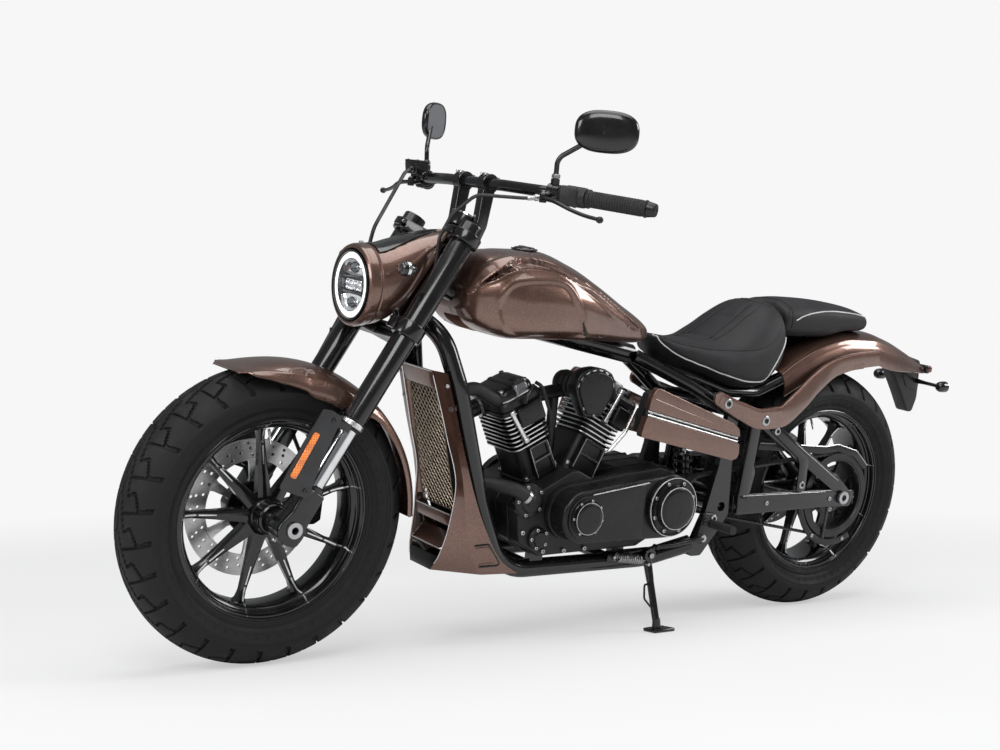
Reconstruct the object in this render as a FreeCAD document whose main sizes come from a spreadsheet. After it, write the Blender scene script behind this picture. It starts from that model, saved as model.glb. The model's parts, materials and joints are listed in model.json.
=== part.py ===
import FreeCAD, Part
import Sketcher
import math
import os

# Cruiser motorcycle, leaning on its side stand.
# Built upright first: X forward from the rear axle, Y to the rider's left, Z up from the ground.
# Each piece then gets the same placement, which leans it and moves the origin under its middle.

SIZES = [
    ("wheelbase", 1590, "rear axle to front axle"),
    ("tyre_radius", 322, "both tyres, at the crown"),
    ("lean_angle", 9.5, "lean to the left on the stand, degrees"),
    ("rake", 31, "steering axis from the vertical, degrees"),
    ("yoke_offset", 50, "fork legs ahead of the steering axis"),
    ("leg_spread", 116.5, "each fork leg from the middle"),
    ("front_tyre_half", 75, "half width of the front tyre"),
    ("rear_tyre_half", 90, "half width of the rear tyre"),
    ("bead_radius", 205, "tyre seat on the rims"),
    ("flange_radius", 218, "rim flange"),
    ("rim_wall", 14, "depth of the rim well under the seat"),
    ("front_bead_half", 50, "half width of the front rim seat"),
    ("rear_bead_half", 66, "half width of the rear rim seat"),
    ("flange_wall", 6, "thickness of a rim flange"),
    ("hub_radius", 36, "hub barrel"),
    ("front_hub_half", 54, "half width of the front hub"),
    ("rear_hub_half", 92, "half width of the rear hub"),
    ("spoke_count", 9, "spokes in each wheel"),
    ("spoke_root", 26, "spoke width at the hub"),
    ("spoke_tip", 13, "spoke width at the rim"),
    ("spoke_thick", 22, "spoke thickness across the wheel"),
    ("axle_radius", 12, "both axles"),
    ("axle_bore", 8, "hollow axles, paddock stand spindle"),
    ("running_gap", 0.05, "axles in their hubs, radial"),
    ("seat_gap", 0.3, "between pieces of different bodies where they meet"),
    ("disc_radius", 150, "front brake disc"),
    ("rear_disc_radius", 130, "rear brake disc"),
    ("disc_thick", 5, "brake discs"),
    ("outer_tube", 26, "radius of the fork's outer tubes"),
    ("slider", 20.5, "radius of the fork's inner tubes"),
    ("leg_top", 745, "top of a fork leg above the axle, along the leg"),
    ("outer_low", 243, "lower end of an outer tube above the axle"),
    ("low_yoke", 462, "underside of the lower yoke above the axle"),
    ("top_yoke", 700, "underside of the upper yoke above the axle"),
    ("yoke_thick", 34, "thickness of the lower yoke"),
    ("top_yoke_thick", 25, "thickness of the upper yoke"),
    ("stem_radius", 16, "steering stem"),
    ("head_radius", 27, "head tube of the frame"),
    ("frame_tube", 21, "radius of the frame's main tubes"),
    ("rail_tube", 14, "radius of the seat rails"),
    ("cradle_half", 95, "cradle tubes from the middle"),
    ("rail_height", 186, "lower rails above the ground"),
    ("crank_x", 875, "crankshaft ahead of the rear axle"),
    ("crank_z", 322, "crankshaft above the ground"),
    ("vee_x", 856, "where the cylinders' middle lines meet, ahead of the rear axle"),
    ("vee_z", 285, "where the cylinders' middle lines meet, above the ground"),
    ("bank_angle", 26, "each cylinder from the vertical, degrees"),
    ("barrel_half", 46, "half width of a barrel's core"),
    ("fin_half", 57, "half width of a cooling fin"),
    ("fin_pitch", 11, "from fin to fin"),
    ("fin_thick", 5, "thickness of a fin"),
    ("fin_count", 8, "fins on a barrel"),
    ("fin_start", 88, "lowest fin above the barrel's foot"),
    ("barrel_foot", 120, "barrel's foot from where the middle lines meet"),
    ("case_half", 118, "half width of the engine cases"),
    ("primary_face", 196, "outer face of the primary cover"),
    ("pulley_radius", 108, "rear belt pulley"),
    ("sprocket_radius", 42, "belt's run round the engine's output"),
    ("belt_width", 24, "drive belt"),
    ("belt_thick", 6, "drive belt"),
    ("belt_plane", 112, "middle of the belt from the middle plane"),
    ("output_x", 470, "engine's output shaft ahead of the rear axle"),
    ("output_z", 345, "engine's output shaft above the ground"),
    ("pivot_x", 418, "swingarm pivot ahead of the rear axle"),
    ("pivot_z", 316, "swingarm pivot above the ground"),
    ("lamp_x", 1428, "headlamp's front face"),
    ("lamp_z", 814, "headlamp's middle above the ground"),
    ("lamp_radius", 76, "headlamp"),
    ("nacelle_radius", 88, "headlamp nacelle"),
    ("bar_radius", 12.7, "handlebar tube"),
    ("bar_x", 1132, "handlebar clamps ahead of the rear axle"),
    ("bar_z", 1052, "handlebar clamps above the ground"),
    ("grip_radius", 17, "handlebar grips"),
    ("tank_front", 1174, "front of the tank"),
    ("tank_rear", 604, "rear of the tank"),
    ("tank_half", 142, "half width of the tank"),
    ("tank_top", 908, "top of the tank"),
    ("tank_floor", 714, "floor of the tank"),
    ("seat_half", 152, "half width of the rider's seat"),
    ("pillion_half", 104, "half width of the pillion seat"),
    ("fender_half", 106, "half width of the rear fender"),
    ("sheet_wall", 4, "thickness of fenders and covers"),
    ("stand_x", 625, "side stand's pivot ahead of the rear axle"),
    ("stand_y", 119, "side stand's pivot from the middle"),
    ("stand_z", 205, "side stand's pivot above the ground"),
    ("stand_reach", 186, "stand's foot from the middle"),
    ("stand_tube", 9, "radius of the stand's leg"),
    ("arm_outer", 150, "outer face of the swingarm"),
    ("arm_inner", 132, "inner face of the swingarm"),
    ("strut_half", 160, "fender struts from the middle, where they bolt on"),
    ("tunnel_half", 33, "half width of the tank's tunnel"),
    ("plate_inner", 129, "inner faces of the pivot plates"),
    ("plate_outer", 145, "outer faces of the pivot plates"),
    ("silencer_radius", 40, "silencers"),
    ("header_radius", 20, "exhaust pipes"),
]


class Size:
    """A number of the sheet, kept together with the expression that gives it."""

    def __init__(self, value, text):
        self.value = float(value)
        self.text = text

    def __float__(self):
        return self.value

    def joined(self, other, sign, value, swap=False):
        text = other.text if isinstance(other, Size) else repr(float(other))
        pair = (text, self.text) if swap else (self.text, text)
        return Size(value, "(" + pair[0] + " " + sign + " " + pair[1] + ")")

    def __add__(self, other):
        return self.joined(other, "+", self.value + float(other))

    def __radd__(self, other):
        return self.joined(other, "+", float(other) + self.value, True)

    def __sub__(self, other):
        return self.joined(other, "-", self.value - float(other))

    def __rsub__(self, other):
        return self.joined(other, "-", float(other) - self.value, True)

    def __mul__(self, other):
        return self.joined(other, "*", self.value * float(other))

    def __rmul__(self, other):
        return self.joined(other, "*", float(other) * self.value, True)

    def __truediv__(self, other):
        return self.joined(other, "/", self.value / float(other))

    def __neg__(self):
        return Size(-self.value, "(0 - " + self.text + ")")


class Sizes:
    """The sheet's values by name."""


doc = FreeCAD.newDocument("cruiser_motorcycle")
sheet = doc.addObject("Spreadsheet::Sheet", "sizes")
for row, (alias, number, note) in enumerate(SIZES, start=1):
    sheet.set("A%d" % row, note)
    sheet.set("B%d" % row, str(number))
    sheet.setAlias("B%d" % row, alias)
doc.recompute()
s = Sizes()
for alias, number, note in SIZES:
    setattr(s, alias, Size(sheet.get(alias), "sizes." + alias))

pieces = []
places = {}
X_AXIS = FreeCAD.Vector(1, 0, 0)
Y_AXIS = FreeCAD.Vector(0, 1, 0)
Z_AXIS = FreeCAD.Vector(0, 0, 1)


def vec(x, y, z):
    return FreeCAD.Vector(float(x), float(y), float(z))


def shift(x, y, z):
    return FreeCAD.Placement(vec(x, y, z), FreeCAD.Rotation())


# The fork's frame: its origin on the steering axis level with the front axle, Z up along the axis, X ahead of it.
rake_angle = math.radians(float(s.rake))
fork_up = vec(-math.sin(rake_angle), 0, math.cos(rake_angle))
fork_ahead = vec(math.cos(rake_angle), 0, math.sin(rake_angle))
front_axle = vec(s.wheelbase, 0, s.tyre_radius)
rear_axle = vec(0, 0, s.tyre_radius)
fork_origin = front_axle - fork_ahead * float(s.yoke_offset)
FORK = FreeCAD.Placement(fork_origin, FreeCAD.Rotation(Y_AXIS, -float(s.rake)))


def fork_point(ahead, left, up):
    return FORK.multVec(vec(ahead, left, up))


def feature(name, shape, place=None):
    """A piece made from a plain shape."""
    thing = doc.addObject("Part::Feature", name)
    thing.Label = name
    thing.Shape = shape
    pieces.append(thing)
    places[name] = place or FreeCAD.Placement()
    return thing


def new_body(name, place=None):
    body = doc.addObject("PartDesign::Body", name)
    body.Label = name
    pieces.append(body)
    places[name] = place or FreeCAD.Placement()
    return body


def origin_plane(body, role):
    return next(item for item in body.Origin.OriginFeatures if item.Role == role)


def bind(thing, prop, size):
    """Gives a property its value and, for a size of the sheet, the expression behind it."""
    if isinstance(size, Size):
        thing.setExpression(prop, size.text)
    else:
        thing.setExpression(prop, None)


def arc_between(start, end, radius):
    """The minor arc from start to end, bulging to the left of the way for a negative radius."""
    chord = end - start
    half = chord.Length / 2
    depth = math.sqrt(max(radius * radius - half * half, 0))
    normal = FreeCAD.Vector(-chord.y, chord.x, 0).normalize()
    side = 1 if radius > 0 else -1
    centre = (start + end) * 0.5 + normal * (side * depth)
    circle = Part.Circle(centre, Z_AXIS, abs(radius))
    first = math.atan2(start.y - centre.y, start.x - centre.x)
    last = math.atan2(end.y - centre.y, end.x - centre.x)
    if side > 0:
        return Part.ArcOfCircle(circle, first, last), 1, 2
    return Part.ArcOfCircle(circle, last, first), 2, 1


def sketch(body, label, role, outline, lift=0):
    """A closed outline on an origin plane; a point's third number is the radius of the arc that leads to it."""
    drawing = body.newObject("Sketcher::SketchObject", label)
    drawing.AttachmentSupport = [(origin_plane(body, role), "")]
    drawing.MapMode = "FlatFace"
    drawing.AttachmentOffset = FreeCAD.Placement(vec(0, 0, lift), FreeCAD.Rotation())
    if isinstance(lift, Size):
        drawing.setExpression("AttachmentOffset.Base.z", lift.text)
    ends = []
    count = len(outline)
    for index, point in enumerate(outline):
        before = outline[index - 1]
        start = vec(before[0], before[1], 0)
        end = vec(point[0], point[1], 0)
        if len(point) > 2:
            curve, first, last = arc_between(start, end, float(point[2]))
            number = drawing.addGeometry(curve, False)
            mark = drawing.addConstraint(Sketcher.Constraint("Radius", number, abs(float(point[2]))))
            if isinstance(point[2], Size):
                text = point[2].text if float(point[2]) > 0 else "(0 - " + point[2].text + ")"
                drawing.setExpression("Constraints[%d]" % mark, text)
        else:
            number = drawing.addGeometry(Part.LineSegment(start, end), False)
            first, last = 1, 2
        ends.append((number, first, last))
    for index in range(count):
        number, first, last = ends[index]
        follower, follower_first, follower_last = ends[(index + 1) % count]
        drawing.addConstraint(Sketcher.Constraint("Coincident", number, last, follower, follower_first))
        for kind, place in (("DistanceX", 0), ("DistanceY", 1)):
            where = outline[index][place]
            mark = drawing.addConstraint(Sketcher.Constraint(kind, -1, 1, number, last, float(where)))
            if isinstance(where, Size):
                drawing.setExpression("Constraints[%d]" % mark, where.text)
    return drawing


def circle_sketch(body, label, role, spots, radius, lift=0):
    """Circles of one radius at the given spots of an origin plane."""
    drawing = body.newObject("Sketcher::SketchObject", label)
    drawing.AttachmentSupport = [(origin_plane(body, role), "")]
    drawing.MapMode = "FlatFace"
    drawing.AttachmentOffset = FreeCAD.Placement(vec(0, 0, lift), FreeCAD.Rotation())
    if isinstance(lift, Size):
        drawing.setExpression("AttachmentOffset.Base.z", lift.text)
    for across, up in spots:
        number = drawing.addGeometry(Part.Circle(vec(across, up, 0), Z_AXIS, float(radius)), False)
        mark = drawing.addConstraint(Sketcher.Constraint("Radius", number, float(radius)))
        if isinstance(radius, Size):
            drawing.setExpression("Constraints[%d]" % mark, radius.text)
        for kind, where in (("DistanceX", across), ("DistanceY", up)):
            mark = drawing.addConstraint(Sketcher.Constraint(kind, -1, 1, number, 3, float(where)))
            if isinstance(where, Size):
                drawing.setExpression("Constraints[%d]" % mark, where.text)
    return drawing


def pad(body, drawing, length, back=False, both=False, taper=0):
    step = body.newObject("PartDesign::Pad", "Pad")
    step.Profile = drawing
    step.Length = float(length)
    bind(step, "Length", length)
    step.Reversed = back
    step.Midplane = both
    if taper:
        step.TaperAngle = taper
    return step


def pocket(body, drawing, length, back=False, both=False, through=False):
    step = body.newObject("PartDesign::Pocket", "Pocket")
    step.Profile = drawing
    if through:
        step.Type = "ThroughAll"
        step.Midplane = both
    else:
        step.Length = float(length)
        bind(step, "Length", length)
        step.Midplane = both
    step.Reversed = back
    return step


def turned(body, drawing, axis="H_Axis"):
    step = body.newObject("PartDesign::Revolution", "Revolution")
    step.Profile = drawing
    step.ReferenceAxis = (drawing, [axis])
    step.Angle = 360
    return step


def round_the_axle(body, steps, drawing, number, axis="N_Axis"):
    ring = body.newObject("PartDesign::PolarPattern", "PolarPattern")
    ring.Originals = steps
    ring.Axis = (drawing, [axis])
    ring.Angle = 360
    ring.Occurrences = int(float(number))
    bind(ring, "Occurrences", number)
    body.Tip = ring
    return ring


# Plain shapes

def rod(start, end, radius):
    way = end - start
    return Part.makeCylinder(float(radius), way.Length, start, way)


def cone(start, end, first, last):
    way = end - start
    return Part.makeCone(float(first), float(last), way.Length, start, way)


def bent_path(points, bend):
    """Straight runs joined by tangent arcs of one radius."""
    edges = []
    start = points[0]
    for index in range(1, len(points) - 1):
        corner = points[index]
        back = (points[index - 1] - corner).normalize()
        ahead = (points[index + 1] - corner).normalize()
        angle = back.getAngle(ahead)
        cut = min(bend / math.tan(angle / 2), (points[index - 1] - corner).Length * 0.48,
                  (points[index + 1] - corner).Length * 0.48)
        radius = cut * math.tan(angle / 2)
        first = corner + back * cut
        last = corner + ahead * cut
        middle_way = (back + ahead).normalize()
        centre = corner + middle_way * (radius / math.sin(angle / 2))
        middle = centre - middle_way * radius
        if (first - start).Length > 0.001:
            edges.append(Part.LineSegment(start, first).toShape())
        edges.append(Part.Arc(first, middle, last).toShape())
        start = last
    edges.append(Part.LineSegment(start, points[-1]).toShape())
    return Part.Wire(edges)


def tube(points, radius, bend=60):
    """A round bar bent along a path."""
    path = bent_path(points, bend)
    way = (points[1] - points[0]).normalize()
    ring = Part.Wire(Part.Circle(points[0], way, float(radius)).toShape())
    return path.makePipeShell([ring], True, False)


def rounded(points, radius):
    """A closed flat outline with arcs at its corners; points are vectors."""
    edges = []
    count = len(points)
    marks = []
    for index in range(count):
        corner = points[index]
        back = (points[index - 1] - corner)
        ahead = (points[(index + 1) % count] - corner)
        angle = back.getAngle(ahead)
        cut = min(radius / math.tan(angle / 2), back.Length * 0.45, ahead.Length * 0.45)
        arc = cut * math.tan(angle / 2)
        back.normalize()
        ahead.normalize()
        middle_way = (back + ahead).normalize()
        centre = corner + middle_way * (arc / math.sin(angle / 2))
        marks.append((corner + back * cut, centre - middle_way * arc, corner + ahead * cut))
    for index in range(count):
        first, middle, last = marks[index]
        edges.append(Part.Arc(first, middle, last).toShape())
        following = marks[(index + 1) % count][0]
        if (following - last).Length > 0.001:
            edges.append(Part.LineSegment(last, following).toShape())
    return Part.Wire(edges)


def side_plate(outline, inner, outer, corner=6):
    """A flat plate whose outline is given in side view as X and Z."""
    wire = rounded([vec(x, inner, z) for x, z in outline], corner)
    return Part.Face(wire).extrude(vec(0, float(outer) - float(inner), 0))


def block(low, high):
    size = high - low
    return Part.makeBox(size.x, size.y, size.z, low)


def egg(x, half, low, high, waist, top_power=2.2, low_power=4.0, half_count=7):
    """A closed section across the motorcycle at x: widest at the waist, fuller or rounder by its powers."""
    quarter = []
    for index in range(half_count + 1):
        angle = math.pi / 2 * index / half_count
        across = half * math.sin(angle) ** (2 / top_power)
        up = waist + (high - waist) * math.cos(angle) ** (2 / top_power)
        quarter.append((across, up))
    lower = []
    for index in range(1, half_count + 1):
        angle = math.pi / 2 * index / half_count
        across = half * math.cos(angle) ** (2 / low_power)
        up = waist - (waist - low) * math.sin(angle) ** (2 / low_power)
        lower.append((across, up))
    right = quarter + lower
    left = [(-across, up) for across, up in reversed(right[1:-1])]
    points = [vec(x, across, up) for across, up in right + left]
    curve = Part.BSplineCurve()
    curve.interpolate(Points=points, PeriodicFlag=True)
    return Part.Wire(curve.toShape())


def joined(shapes):
    whole = shapes[0].multiFuse(shapes[1:]) if len(shapes) > 1 else shapes[0]
    return whole.removeSplitter()


def placed(name):
    """The shape of a finished piece where it sits on the upright motorcycle."""
    doc.recompute()
    shape = doc.getObject(name).Shape.copy()
    shape.Placement = places[name].multiply(shape.Placement)
    return shape


def main_solid(shape):
    """The largest solid of a cut, without the slivers."""
    return max(shape.Solids, key=lambda solid: solid.Volume)


def wheel_place(axle):
    return FreeCAD.Placement(axle, FreeCAD.Rotation())


# Wheels, each drawn round its own axle: across the wheel first, then out from the axle

def tyre(name, axle, half, bead_half):
    body = new_body(name, wheel_place(axle))
    bead = bead_half - s.seat_gap
    seat = s.bead_radius + s.seat_gap
    shoulder = s.tyre_radius - half * 0.66
    rise = s.tyre_radius - shoulder
    crown = (half * half + rise * rise) / (rise * 2)
    collar = s.flange_radius + 3
    wall = (shoulder - collar) * 0.85 + 12
    outline = [(-bead, seat), (-bead, collar), (-half, shoulder, -wall), (half, shoulder, -crown),
               (bead, collar, -wall), (bead, seat)]
    drawing = sketch(body, "section", "YZ_Plane", outline)
    turned(body, drawing)
    return body


def rim(name, axle, bead_half, hub_half):
    body = new_body(name, wheel_place(axle))
    bore = s.axle_radius + s.running_gap
    hub = sketch(body, "hub", "YZ_Plane", [(-hub_half, bore), (hub_half, bore), (hub_half, s.hub_radius),
                                           (-hub_half, s.hub_radius)])
    turned(body, hub)
    well = s.bead_radius - s.rim_wall
    spoke = sketch(body, "spoke", "XZ_Plane", [(-(s.spoke_root / 2), s.hub_radius - 6),
                                               (s.spoke_root / 2, s.hub_radius - 6),
                                               (s.spoke_tip / 2, well + 2), (-(s.spoke_tip / 2), well + 2)])
    arm = pad(body, spoke, s.spoke_thick, both=True)
    round_the_axle(body, [arm], spoke, s.spoke_count)
    edge = bead_half + s.flange_wall
    drop = bead_half * 0.6
    barrel = sketch(body, "barrel", "YZ_Plane",
                    [(-edge, s.flange_radius), (-bead_half, s.flange_radius), (-bead_half, s.bead_radius),
                     (bead_half, s.bead_radius), (bead_half, s.flange_radius), (edge, s.flange_radius),
                     (edge, s.bead_radius - 3), (drop, well), (-drop, well), (-edge, s.bead_radius - 3)])
    turned(body, barrel)
    return body


def brake_disc(name, axle, radius, inner_face, hub_end):
    """Disc and carrier on the right of a hub; faces are given as distances to the right."""
    body = new_body(name, wheel_place(axle))
    outer_face = inner_face + s.disc_thick
    bore = s.hub_radius * 0.7
    drawing = sketch(body, "section", "YZ_Plane",
                     [(-outer_face, bore), (-hub_end, bore), (-hub_end, s.hub_radius + 22),
                      (-inner_face, radius * 0.55), (-inner_face, radius), (-outer_face, radius)])
    turned(body, drawing)
    slots = circle_sketch(body, "slots", "XZ_Plane", [(radius * 0.42, 0)], radius * 0.075)
    cut = pocket(body, slots, 0, both=True, through=True)
    round_the_axle(body, [cut], slots, 10)
    return body


def make_front_wheel():
    tyre("front_tyre", front_axle, s.front_tyre_half, s.front_bead_half)
    rim("front_rim", front_axle, s.front_bead_half, s.front_hub_half)
    brake_disc("front_disc", front_axle, s.disc_radius, s.front_hub_half + 8, s.front_hub_half)


def make_rear_wheel():
    tyre("rear_tyre", rear_axle, s.rear_tyre_half, s.rear_bead_half)
    rim("rear_rim", rear_axle, s.rear_bead_half, s.rear_hub_half)
    brake_disc("rear_disc", rear_axle, s.rear_disc_radius, s.rear_hub_half + 8, s.rear_hub_half)
    pulley = new_body("rear_pulley", wheel_place(rear_axle))
    near = s.belt_plane - s.belt_width / 2
    far = s.belt_plane + s.belt_width / 2
    lip = s.pulley_radius + 4
    web = s.rear_hub_half + 10
    drawing = sketch(pulley, "section", "YZ_Plane",
                     [(s.rear_hub_half, 26), (web, 26), (web, s.pulley_radius - 16), (far + 3, s.pulley_radius - 16),
                      (far + 3, lip), (far + 0.5, lip), (far + 0.5, s.pulley_radius), (near - 0.5, s.pulley_radius),
                      (near - 0.5, lip), (near - 3, lip), (near - 3, s.pulley_radius - 16),
                      (s.rear_hub_half, s.pulley_radius - 16)])
    turned(pulley, drawing)
    holes = circle_sketch(pulley, "holes", "XZ_Plane", [(s.pulley_radius * 0.58, 0)], s.pulley_radius * 0.13)
    cut = pocket(pulley, holes, 0, both=True, through=True)
    round_the_axle(pulley, [cut], holes, 5)


def hollow_axle(name, axle, low, high):
    body = new_body(name, wheel_place(axle))
    flange = s.axle_radius + 5
    drawing = sketch(body, "section", "YZ_Plane",
                     [(low, s.axle_bore), (high, s.axle_bore), (high, flange), (high - 7, flange),
                      (high - 7, s.axle_radius), (low + 7, s.axle_radius), (low + 7, flange), (low, flange)])
    turned(body, drawing)
    return body


def make_axles():
    reach = s.leg_spread + s.slider + 4
    hollow_axle("front_axle", front_axle, -(reach + 7), reach + 7)
    hollow_axle("rear_axle", rear_axle, -(s.arm_outer + 10), s.arm_outer + 10)


# Steering: forks, yokes, lamp, handlebar

def make_fork_leg(name, side):
    place = FORK.multiply(shift(s.yoke_offset, s.leg_spread * side, 0))
    body = new_body(name, place)
    casting = s.slider + 4
    drawing = sketch(body, "tubes", "XZ_Plane",
                     [(0, 40), (s.slider, 40), (s.slider, s.outer_low), (s.outer_tube, s.outer_low),
                      (s.outer_tube, s.leg_top - 12), (s.outer_tube - 5, s.leg_top), (0, s.leg_top)])
    turned(body, drawing, "V_Axis")
    foot = sketch(body, "casting", "XZ_Plane",
                  [(-casting, 100), (-casting, 20), (-30, -6), (-26, -30), (18, -34), (32, -6), (casting, 30),
                   (casting, 100)])
    pad(body, foot, casting * 2, both=True)
    bore = circle_sketch(body, "axle bore", "XZ_Plane", [(0, 0)], s.axle_radius + s.running_gap)
    pocket(body, bore, 0, both=True, through=True)
    return body


def yoke_outline(boss, web):
    """Plan of a yoke in the fork's frame: two clamp bosses joined by a web swept back to the stem."""
    ahead = s.yoke_offset
    side = s.leg_spread
    return [(ahead + boss * 0.7, side + boss * 0.7), (ahead - boss * 0.6, side + boss * 0.8),
            (-web, web * 1.2), (-web, -(web * 1.2)), (ahead - boss * 0.6, -(side + boss * 0.8)),
            (ahead + boss * 0.7, -(side + boss * 0.7)), (ahead + boss, -(side - boss * 0.3)),
            (web * 0.9, -(web * 1.3)), (web * 0.9, web * 1.3), (ahead + boss, side - boss * 0.3)]


def make_yokes():
    body = new_body("yokes", FORK)
    low_top = s.low_yoke + s.yoke_thick
    stem = circle_sketch(body, "stem", "XY_Plane", [(0, 0)], s.stem_radius, lift=s.low_yoke + 2)
    pad(body, stem, s.top_yoke + s.top_yoke_thick - s.low_yoke - 4)
    boss = s.outer_tube + 9
    lower = sketch(body, "lower yoke", "XY_Plane", yoke_outline(boss, s.stem_radius + 10), lift=s.low_yoke)
    pad(body, lower, s.yoke_thick)
    upper = sketch(body, "upper yoke", "XY_Plane", yoke_outline(boss, s.stem_radius + 12), lift=s.top_yoke)
    pad(body, upper, s.top_yoke_thick)
    spots = [(s.yoke_offset, s.leg_spread), (s.yoke_offset, -s.leg_spread)]
    bores = circle_sketch(body, "clamps", "XY_Plane", spots, s.outer_tube + s.running_gap, lift=low_top)
    pocket(body, bores, 600, both=True)


def make_fork_guards():
    """Plates outside the fork, ahead of its inner tubes, each with a raised reflector and two lugs to the leg."""
    face = float(s.leg_spread + s.outer_tube + s.seat_gap)
    ahead = float(s.yoke_offset)
    low_ring = float(s.outer_low)
    plate_points = [(16, 68), (84, 54), (92, low_ring - 4), (46, low_ring + 6)]
    lens_points = [(62, 86), (77, 84), (83, 190), (68, 192)]
    guards = []
    for side, leg in ((1, "fork_leg_left"), (-1, "fork_leg_right")):
        plate = rounded([vec(ahead + x, face * side, z) for x, z in plate_points], 10)
        lens = rounded([vec(ahead + x, (face + 5) * side, z) for x, z in lens_points], 5)
        shapes = [Part.Face(plate).extrude(vec(0, 5 * side, 0)), Part.Face(lens).extrude(vec(0, 4 * side, 0))]
        inner = float(s.leg_spread) - 8
        for near, far, low, high in ((10, 62, low_ring + 2 - 22, low_ring + 2), (8, 36, 70, 88)):
            reach = sorted((inner * side, (face + 1) * side))
            shapes.append(block(vec(ahead + near, reach[0], low), vec(ahead + far, reach[1], high)))
        whole = joined(shapes)
        whole.Placement = FORK.multiply(whole.Placement)
        guards.append(main_solid(whole.cut(placed(leg))))
    feature("fork_guards", Part.makeCompound(guards))


def make_front_fender():
    """A shell turned round the front axle, its skirt trimmed in side view, with a bracket down each side."""
    inner = float(s.tyre_radius) + 8
    wall = float(s.sheet_wall)
    half = float(s.front_tyre_half) + 9
    fall = 78

    def arch(extra):
        top = inner + extra
        side = half + extra
        marks = ((1.0, 1.0), (0.985, 0.56), (0.84, 0.22), (0.46, 0.05))
        points = [vec(0, -side * across, top - fall * down) for across, down in marks]
        points += [vec(0, 0, top)]
        points += [vec(0, side * across, top - fall * down) for across, down in reversed(marks)]
        curve = Part.BSplineCurve()
        curve.interpolate(points)
        return curve.toShape()
    over = arch(wall)
    under = arch(0)
    ends = [Part.LineSegment(over.Vertexes[k].Point, under.Vertexes[k].Point).toShape() for k in (0, -1)]
    section = Part.Face(Part.Wire(Part.__sortEdges__([over, under] + ends)))
    section.rotate(FreeCAD.Vector(0, 0, 0), Y_AXIS, 19)
    shell = section.revolve(FreeCAD.Vector(0, 0, 0), Y_AXIS, -99)
    edge = [(70.5, 1.02), (73, 0.985), (76, 0.952), (81, 0.918), (86, 0.885), (92, 0.862), (97, 0.842), (101, 0.812),
            (118, 0.806), (126, 0.852), (136, 0.9), (156, 0.912), (184, 0.914), (186, 1.4), (150, 1.5), (110, 1.4),
            (68, 1.4)]
    outline = []
    for degrees, share in edge:
        angle = math.radians(degrees)
        outline.append(vec(math.cos(angle), 0, math.sin(angle)) * ((inner + wall) * share))
    outline = [vec(point.x, -half - 40, point.z) for point in outline]
    window = Part.Face(Part.makePolygon(outline + [outline[0]])).extrude(vec(0, 2 * half + 80, 0))
    shell = main_solid(shell.common(window))
    shell.translate(front_axle)
    ahead = float(s.yoke_offset)
    inside = half
    outside = float(s.leg_spread - s.outer_tube)
    points = [(ahead - 20, 60), (ahead + 20, 60), (ahead + 16, 200), (ahead + 26, 296), (ahead - 40, 296),
              (ahead - 16, 200)]
    shapes = [shell]
    for side in (1, -1):
        wire = rounded([vec(x, inside * side, z) for x, z in points], 10)
        strap = Part.Face(wire).extrude(vec(0, (outside - inside) * side, 0))
        strap.Placement = FORK.multiply(strap.Placement)
        shapes.append(strap)
    feature("front_fender", joined(shapes))


def make_front_caliper():
    """Straddles the disc behind the right leg and bolts to its casting."""
    inner = float(s.front_hub_half) + 8 - 5
    outer = inner + float(s.disc_thick) + 10
    ahead = float(s.yoke_offset)
    disc = float(s.disc_radius)
    turn = FreeCAD.Placement(FreeCAD.Vector(ahead, 0, 0), FreeCAD.Rotation(Y_AXIS, -62))
    solid = Part.makeBox(70, outer - inner + 26, 62, vec(-35, -(outer + 11), disc - 46))
    solid = solid.makeFillet(7, [edge for edge in solid.Edges if abs(edge.tangentAt(0).y) > 0.9])
    slot = Part.makeBox(90, outer - inner, 60, vec(-45, -outer, disc - 60))
    body = solid.cut(slot)
    lug_end = float(s.leg_spread - s.outer_tube)
    lug = Part.makeBox(34, lug_end - outer - 10.5, 40, vec(10, -lug_end, disc - 44))
    body = body.fuse(lug).removeSplitter()
    body.Placement = turn
    feature("front_caliper", body, FORK)


def make_nacelle():
    """Bronze shell behind the lamp: round in front, drawn up to a tail over the yokes."""
    front = float(s.lamp_x) - 10
    middle = float(s.lamp_z)
    radius = float(s.nacelle_radius)
    sections = [egg(front, radius, middle - radius, middle + radius, middle, 2.0, 2.0),
                egg(front - 42, radius, middle - radius + 8, middle + radius + 3, middle + 4, 2.1, 2.2),
                egg(front - 86, radius - 5, middle - radius + 34, middle + radius + 14, middle + 26, 2.3, 2.4),
                egg(front - 136, radius - 18, middle + 6, middle + radius + 28, middle + 66, 2.4, 2.4),
                egg(front - 186, radius - 46, middle + 84, middle + radius + 40, middle + 108, 2.4, 2.4)]
    shell = Part.makeLoft(sections, True)
    bore = rod(vec(front - 48, 0, middle), vec(front + 20, 0, middle), float(s.lamp_radius) + 0.3)
    stays = [rod(fork_point(38, 60 * side, 485), vec(front - 66, 52 * side, middle - 24), 7) for side in (1, -1)]
    feature("headlamp_nacelle", main_solid(joined([shell] + stays).cut([bore, placed("yokes")])))


def make_headlamp():
    body = new_body("headlamp", shift(s.lamp_x, 0, s.lamp_z))
    lens = s.lamp_radius - 6
    drawing = sketch(body, "section", "XZ_Plane",
                     [(-58, 0), (0, 0), (-4, lens, s.lamp_radius * 9), (0, lens + 1), (2, lens + 4),
                      (-4, s.lamp_radius), (-52, s.lamp_radius), (-58, s.lamp_radius - 10)])
    turned(body, drawing)


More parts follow.
